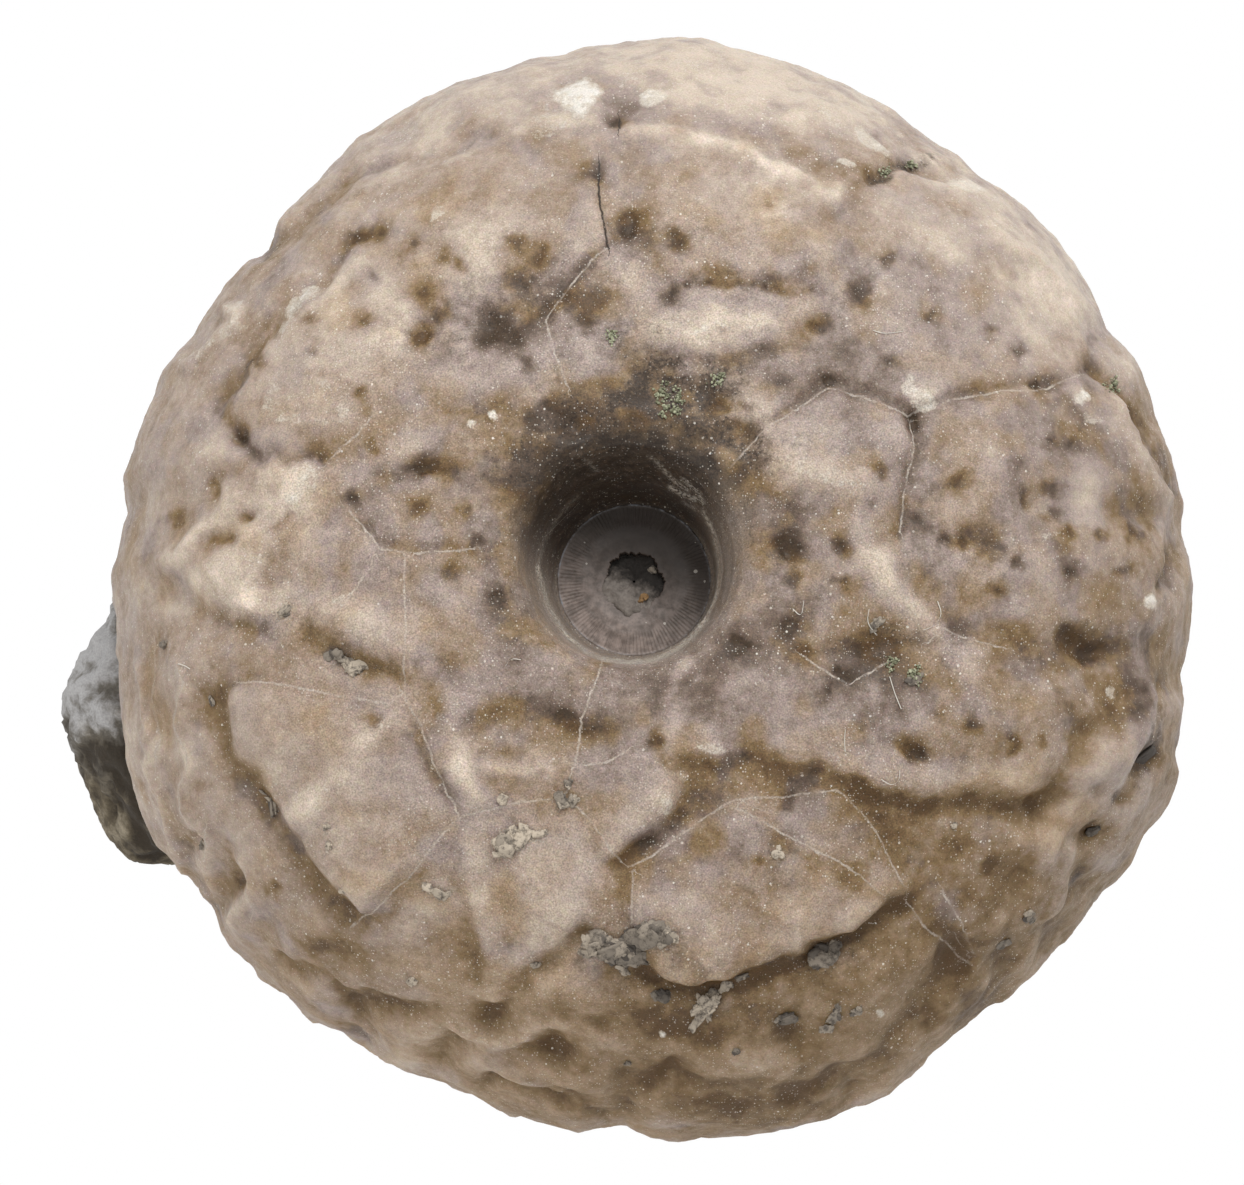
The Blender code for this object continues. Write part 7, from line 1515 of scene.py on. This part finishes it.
def make_crumbs(surface):
    """Flakes of sediment that cling to the plates, each of several bits."""
    draw = np.random.default_rng(3)
    sphere, faces = refined(*octahedron(), same, lambda at: np.full(len(at), 0.45), unit)
    shapes = []
    for number, (u, v, half_length, half_width, turn, paleness) in enumerate(CRUMBS):
        place, axes = resting_place(surface, u, v)
        reach = np.array([half_length, half_width, CRUMB_FLATNESS * min(half_length, half_width)])
        turned = turn_about(math.radians(turn))
        for bit in range(CRUMB_BITS):
            share = draw.uniform(0.30, 0.65) if bit else 0.95
            spot = draw.normal(0.0, SCATTER, 2) * reach[:2] * (bit > 0)
            sizes = share * reach * draw.uniform(0.6, 1.2, 3) + 0.015
            shape = lump(sphere, sizes, draw.uniform(-0.9, 0.9), 7.0 * number + bit)
            shape[:, 2] += draw.uniform(-0.4, 0.4) * shape[:, 0] + draw.uniform(0.2, 0.9) * reach[2]
            shape[:, :2] += spot
            tone = paleness + (bit > 0) * (paleness >= 0) * draw.uniform(-0.45, 0.45)
            shapes.append((place + shape @ turned @ axes, faces, tone))
    points, faces, paleness = joined(shapes)
    add_piece("crumbs", points, faces, crumb_material(), {"paleness": paleness})


def make_lichen(surface):
    """Tufts of pale yellow-green grains in the dark hollows."""
    sphere, faces = refined(*octahedron(), same, lambda at: np.full(len(at), 1.0), unit)
    draw = np.random.default_rng(7)
    shapes = []
    for u, v, reach in MOSS:
        clumps = draw.normal(0.0, SCATTER * reach, (CLUMPS, 2))
        for grain in range(int(GRAINS_PER_REACH * reach)):
            off_u, off_v = clumps[grain % CLUMPS] + draw.normal(0.0, 0.07, 2)
            place, axes = resting_place(surface, u + off_u, v + off_v)
            size = draw.uniform(0.03, 0.07)
            shape = sphere * size * draw.uniform(0.5, 1.2, 3) + [0, 0, size * draw.uniform(0.0, 2.0)]
            shapes.append((place + shape @ axes, faces, draw.uniform()))
    points, faces, tint = joined(shapes)
    add_piece("lichen_grains", points, faces, lichen_material(), {"tint": tint})


def make_lint(surface):
    """Fine fibres lying on the plates."""
    around = np.linspace(0.0, 2 * math.pi, 5, endpoint=False)
    shapes = []
    for line in LINT:
        path = even_steps(np.array(line), 0.08)
        places = [resting_place(surface, u, v) for u, v in path]
        middle = np.array([place + LINT_RISE * axes[2] for place, axes in places])
        padded = np.pad(middle, ((LINT_EVENING // 2, LINT_EVENING // 2), (0, 0)), "edge")
        even = np.ones(LINT_EVENING) / LINT_EVENING
        middle = np.column_stack([np.convolve(column, even, "valid") for column in padded.T])
        ring = LINT_RADIUS * (np.cos(around)[:, None] * [0.7, 0.7, 0] + np.sin(around)[:, None] * [0, 0, 1.0])
        points = (middle[:, None, :] + ring[None]).reshape(-1, 3)
        quads = ring_faces(len(middle), len(around))[: -len(around)]
        shapes.append((points, quads, 0.0))
    points, faces, _ = joined(shapes)
    add_piece("lint_fibres", points, faces, lint_material())


def sight_point(u, v, below=0.0):
    """The point of the leaning plan at (u, v), that far down the sight line from the base."""
    right, upward = Vector((1, 0, 0)), Vector((0, math.cos(LEAN), math.sin(LEAN)))
    down = Vector((0, math.sin(LEAN), -math.cos(LEAN)))
    base = Vector((0, 0, BASE_HEIGHT))
    return base + right * (u - PIT_U) + upward * (v - PIT_V) + down * below


def make_camera():
    """A long lens down the sight line, so that the view is all but parallel."""
    data = bpy.data.cameras.new("camera")
    data.sensor_width = SENSOR_WIDTH
    data.lens = SENSOR_WIDTH * CAMERA_DISTANCE / (PHOTO_WIDTH_PX / PIXELS_PER_MM)
    data.clip_start, data.clip_end = 0.01, 20.0
    camera = bpy.data.objects.new("camera", data)
    camera.location = sight_point(AIM_U, AIM_V, FOCUS_BELOW_BASE - CAMERA_DISTANCE) * MM
    camera.rotation_euler = (LEAN, 0.0, 0.0)
    bpy.context.scene.collection.objects.link(camera)
    bpy.context.scene.camera = camera


def make_light(name, place, size, watts, colour=(1.0, 1.0, 1.0)):
    """A round soft light that faces the origin. Its place and size are in metres."""
    data = bpy.data.lights.new(name, "AREA")
    data.shape = "DISK"
    data.size = size
    data.energy = watts
    data.color = colour
    light = bpy.data.objects.new(name, data)
    light.location = place
    light.rotation_euler = (-Vector(place)).to_track_quat("-Z", "Y").to_euler()
    bpy.context.scene.collection.objects.link(light)


def make_stage():
    """The floor, an even pale sky and two soft lights."""
    mesh = bpy.data.meshes.new("floor")
    corners = [(x * FLOOR_REACH, y * FLOOR_REACH, 0) for x, y in ((-1, -1), (1, -1), (1, 1), (-1, 1))]
    mesh.from_pydata(corners, [], [(0, 1, 2, 3)])
    floor = bpy.data.objects.new("floor", mesh)
    floor.location.z = -FLOOR_GAP
    bpy.context.scene.collection.objects.link(floor)
    mesh.materials.append(table_material())
    world = bpy.data.worlds.new("soft_light")
    world.use_nodes = True
    sky = world.node_tree.nodes["Background"].inputs
    sky["Color"].default_value = (1.0, 1.0, 1.0, 1.0)
    sky["Strength"].default_value = SKY_STRENGTH
    bpy.context.scene.world = world
    make_light("window", (0.14, 0.45, 0.60), size=0.45, watts=5.0)
    make_light("fill", (-0.40, -0.40, 0.30), size=0.50, watts=1.1, colour=(1.0, 0.96, 0.90))


def table_material():
    """A table that the camera sees as plain white, and that is pale grey to the light."""
    made = bpy.data.materials.new("white_table")
    made.use_nodes = True
    nodes, links = made.node_tree.nodes, made.node_tree.links
    nodes["Principled BSDF"].inputs["Base Color"].default_value = (0.70, 0.70, 0.70, 1.0)
    white, blend = nodes.new("ShaderNodeEmission"), nodes.new("ShaderNodeMixShader")
    links.new(nodes.new("ShaderNodeLightPath").outputs["Is Camera Ray"], blend.inputs[0])
    links.new(nodes["Principled BSDF"].outputs[0], blend.inputs[1])
    links.new(white.outputs[0], blend.inputs[2])
    links.new(blend.outputs[0], nodes["Material Output"].inputs["Surface"])
    return made


bpy.context.scene.view_settings.view_transform = "Standard"
surface = [np.concatenate(parts) for parts in zip(make_calyx(), make_plug())]
make_disc()
limestone = rock("grey_limestone", LIMESTONE_TONES, 1.0, soiled=True)
make_rough("matrix", MATRIX_EDGE, MATRIX_ROUNDS, MATRIX_LUMPS, limestone)
make_crumbs(surface)
make_lichen(surface)
make_lint(surface)
make_camera()
make_stage()
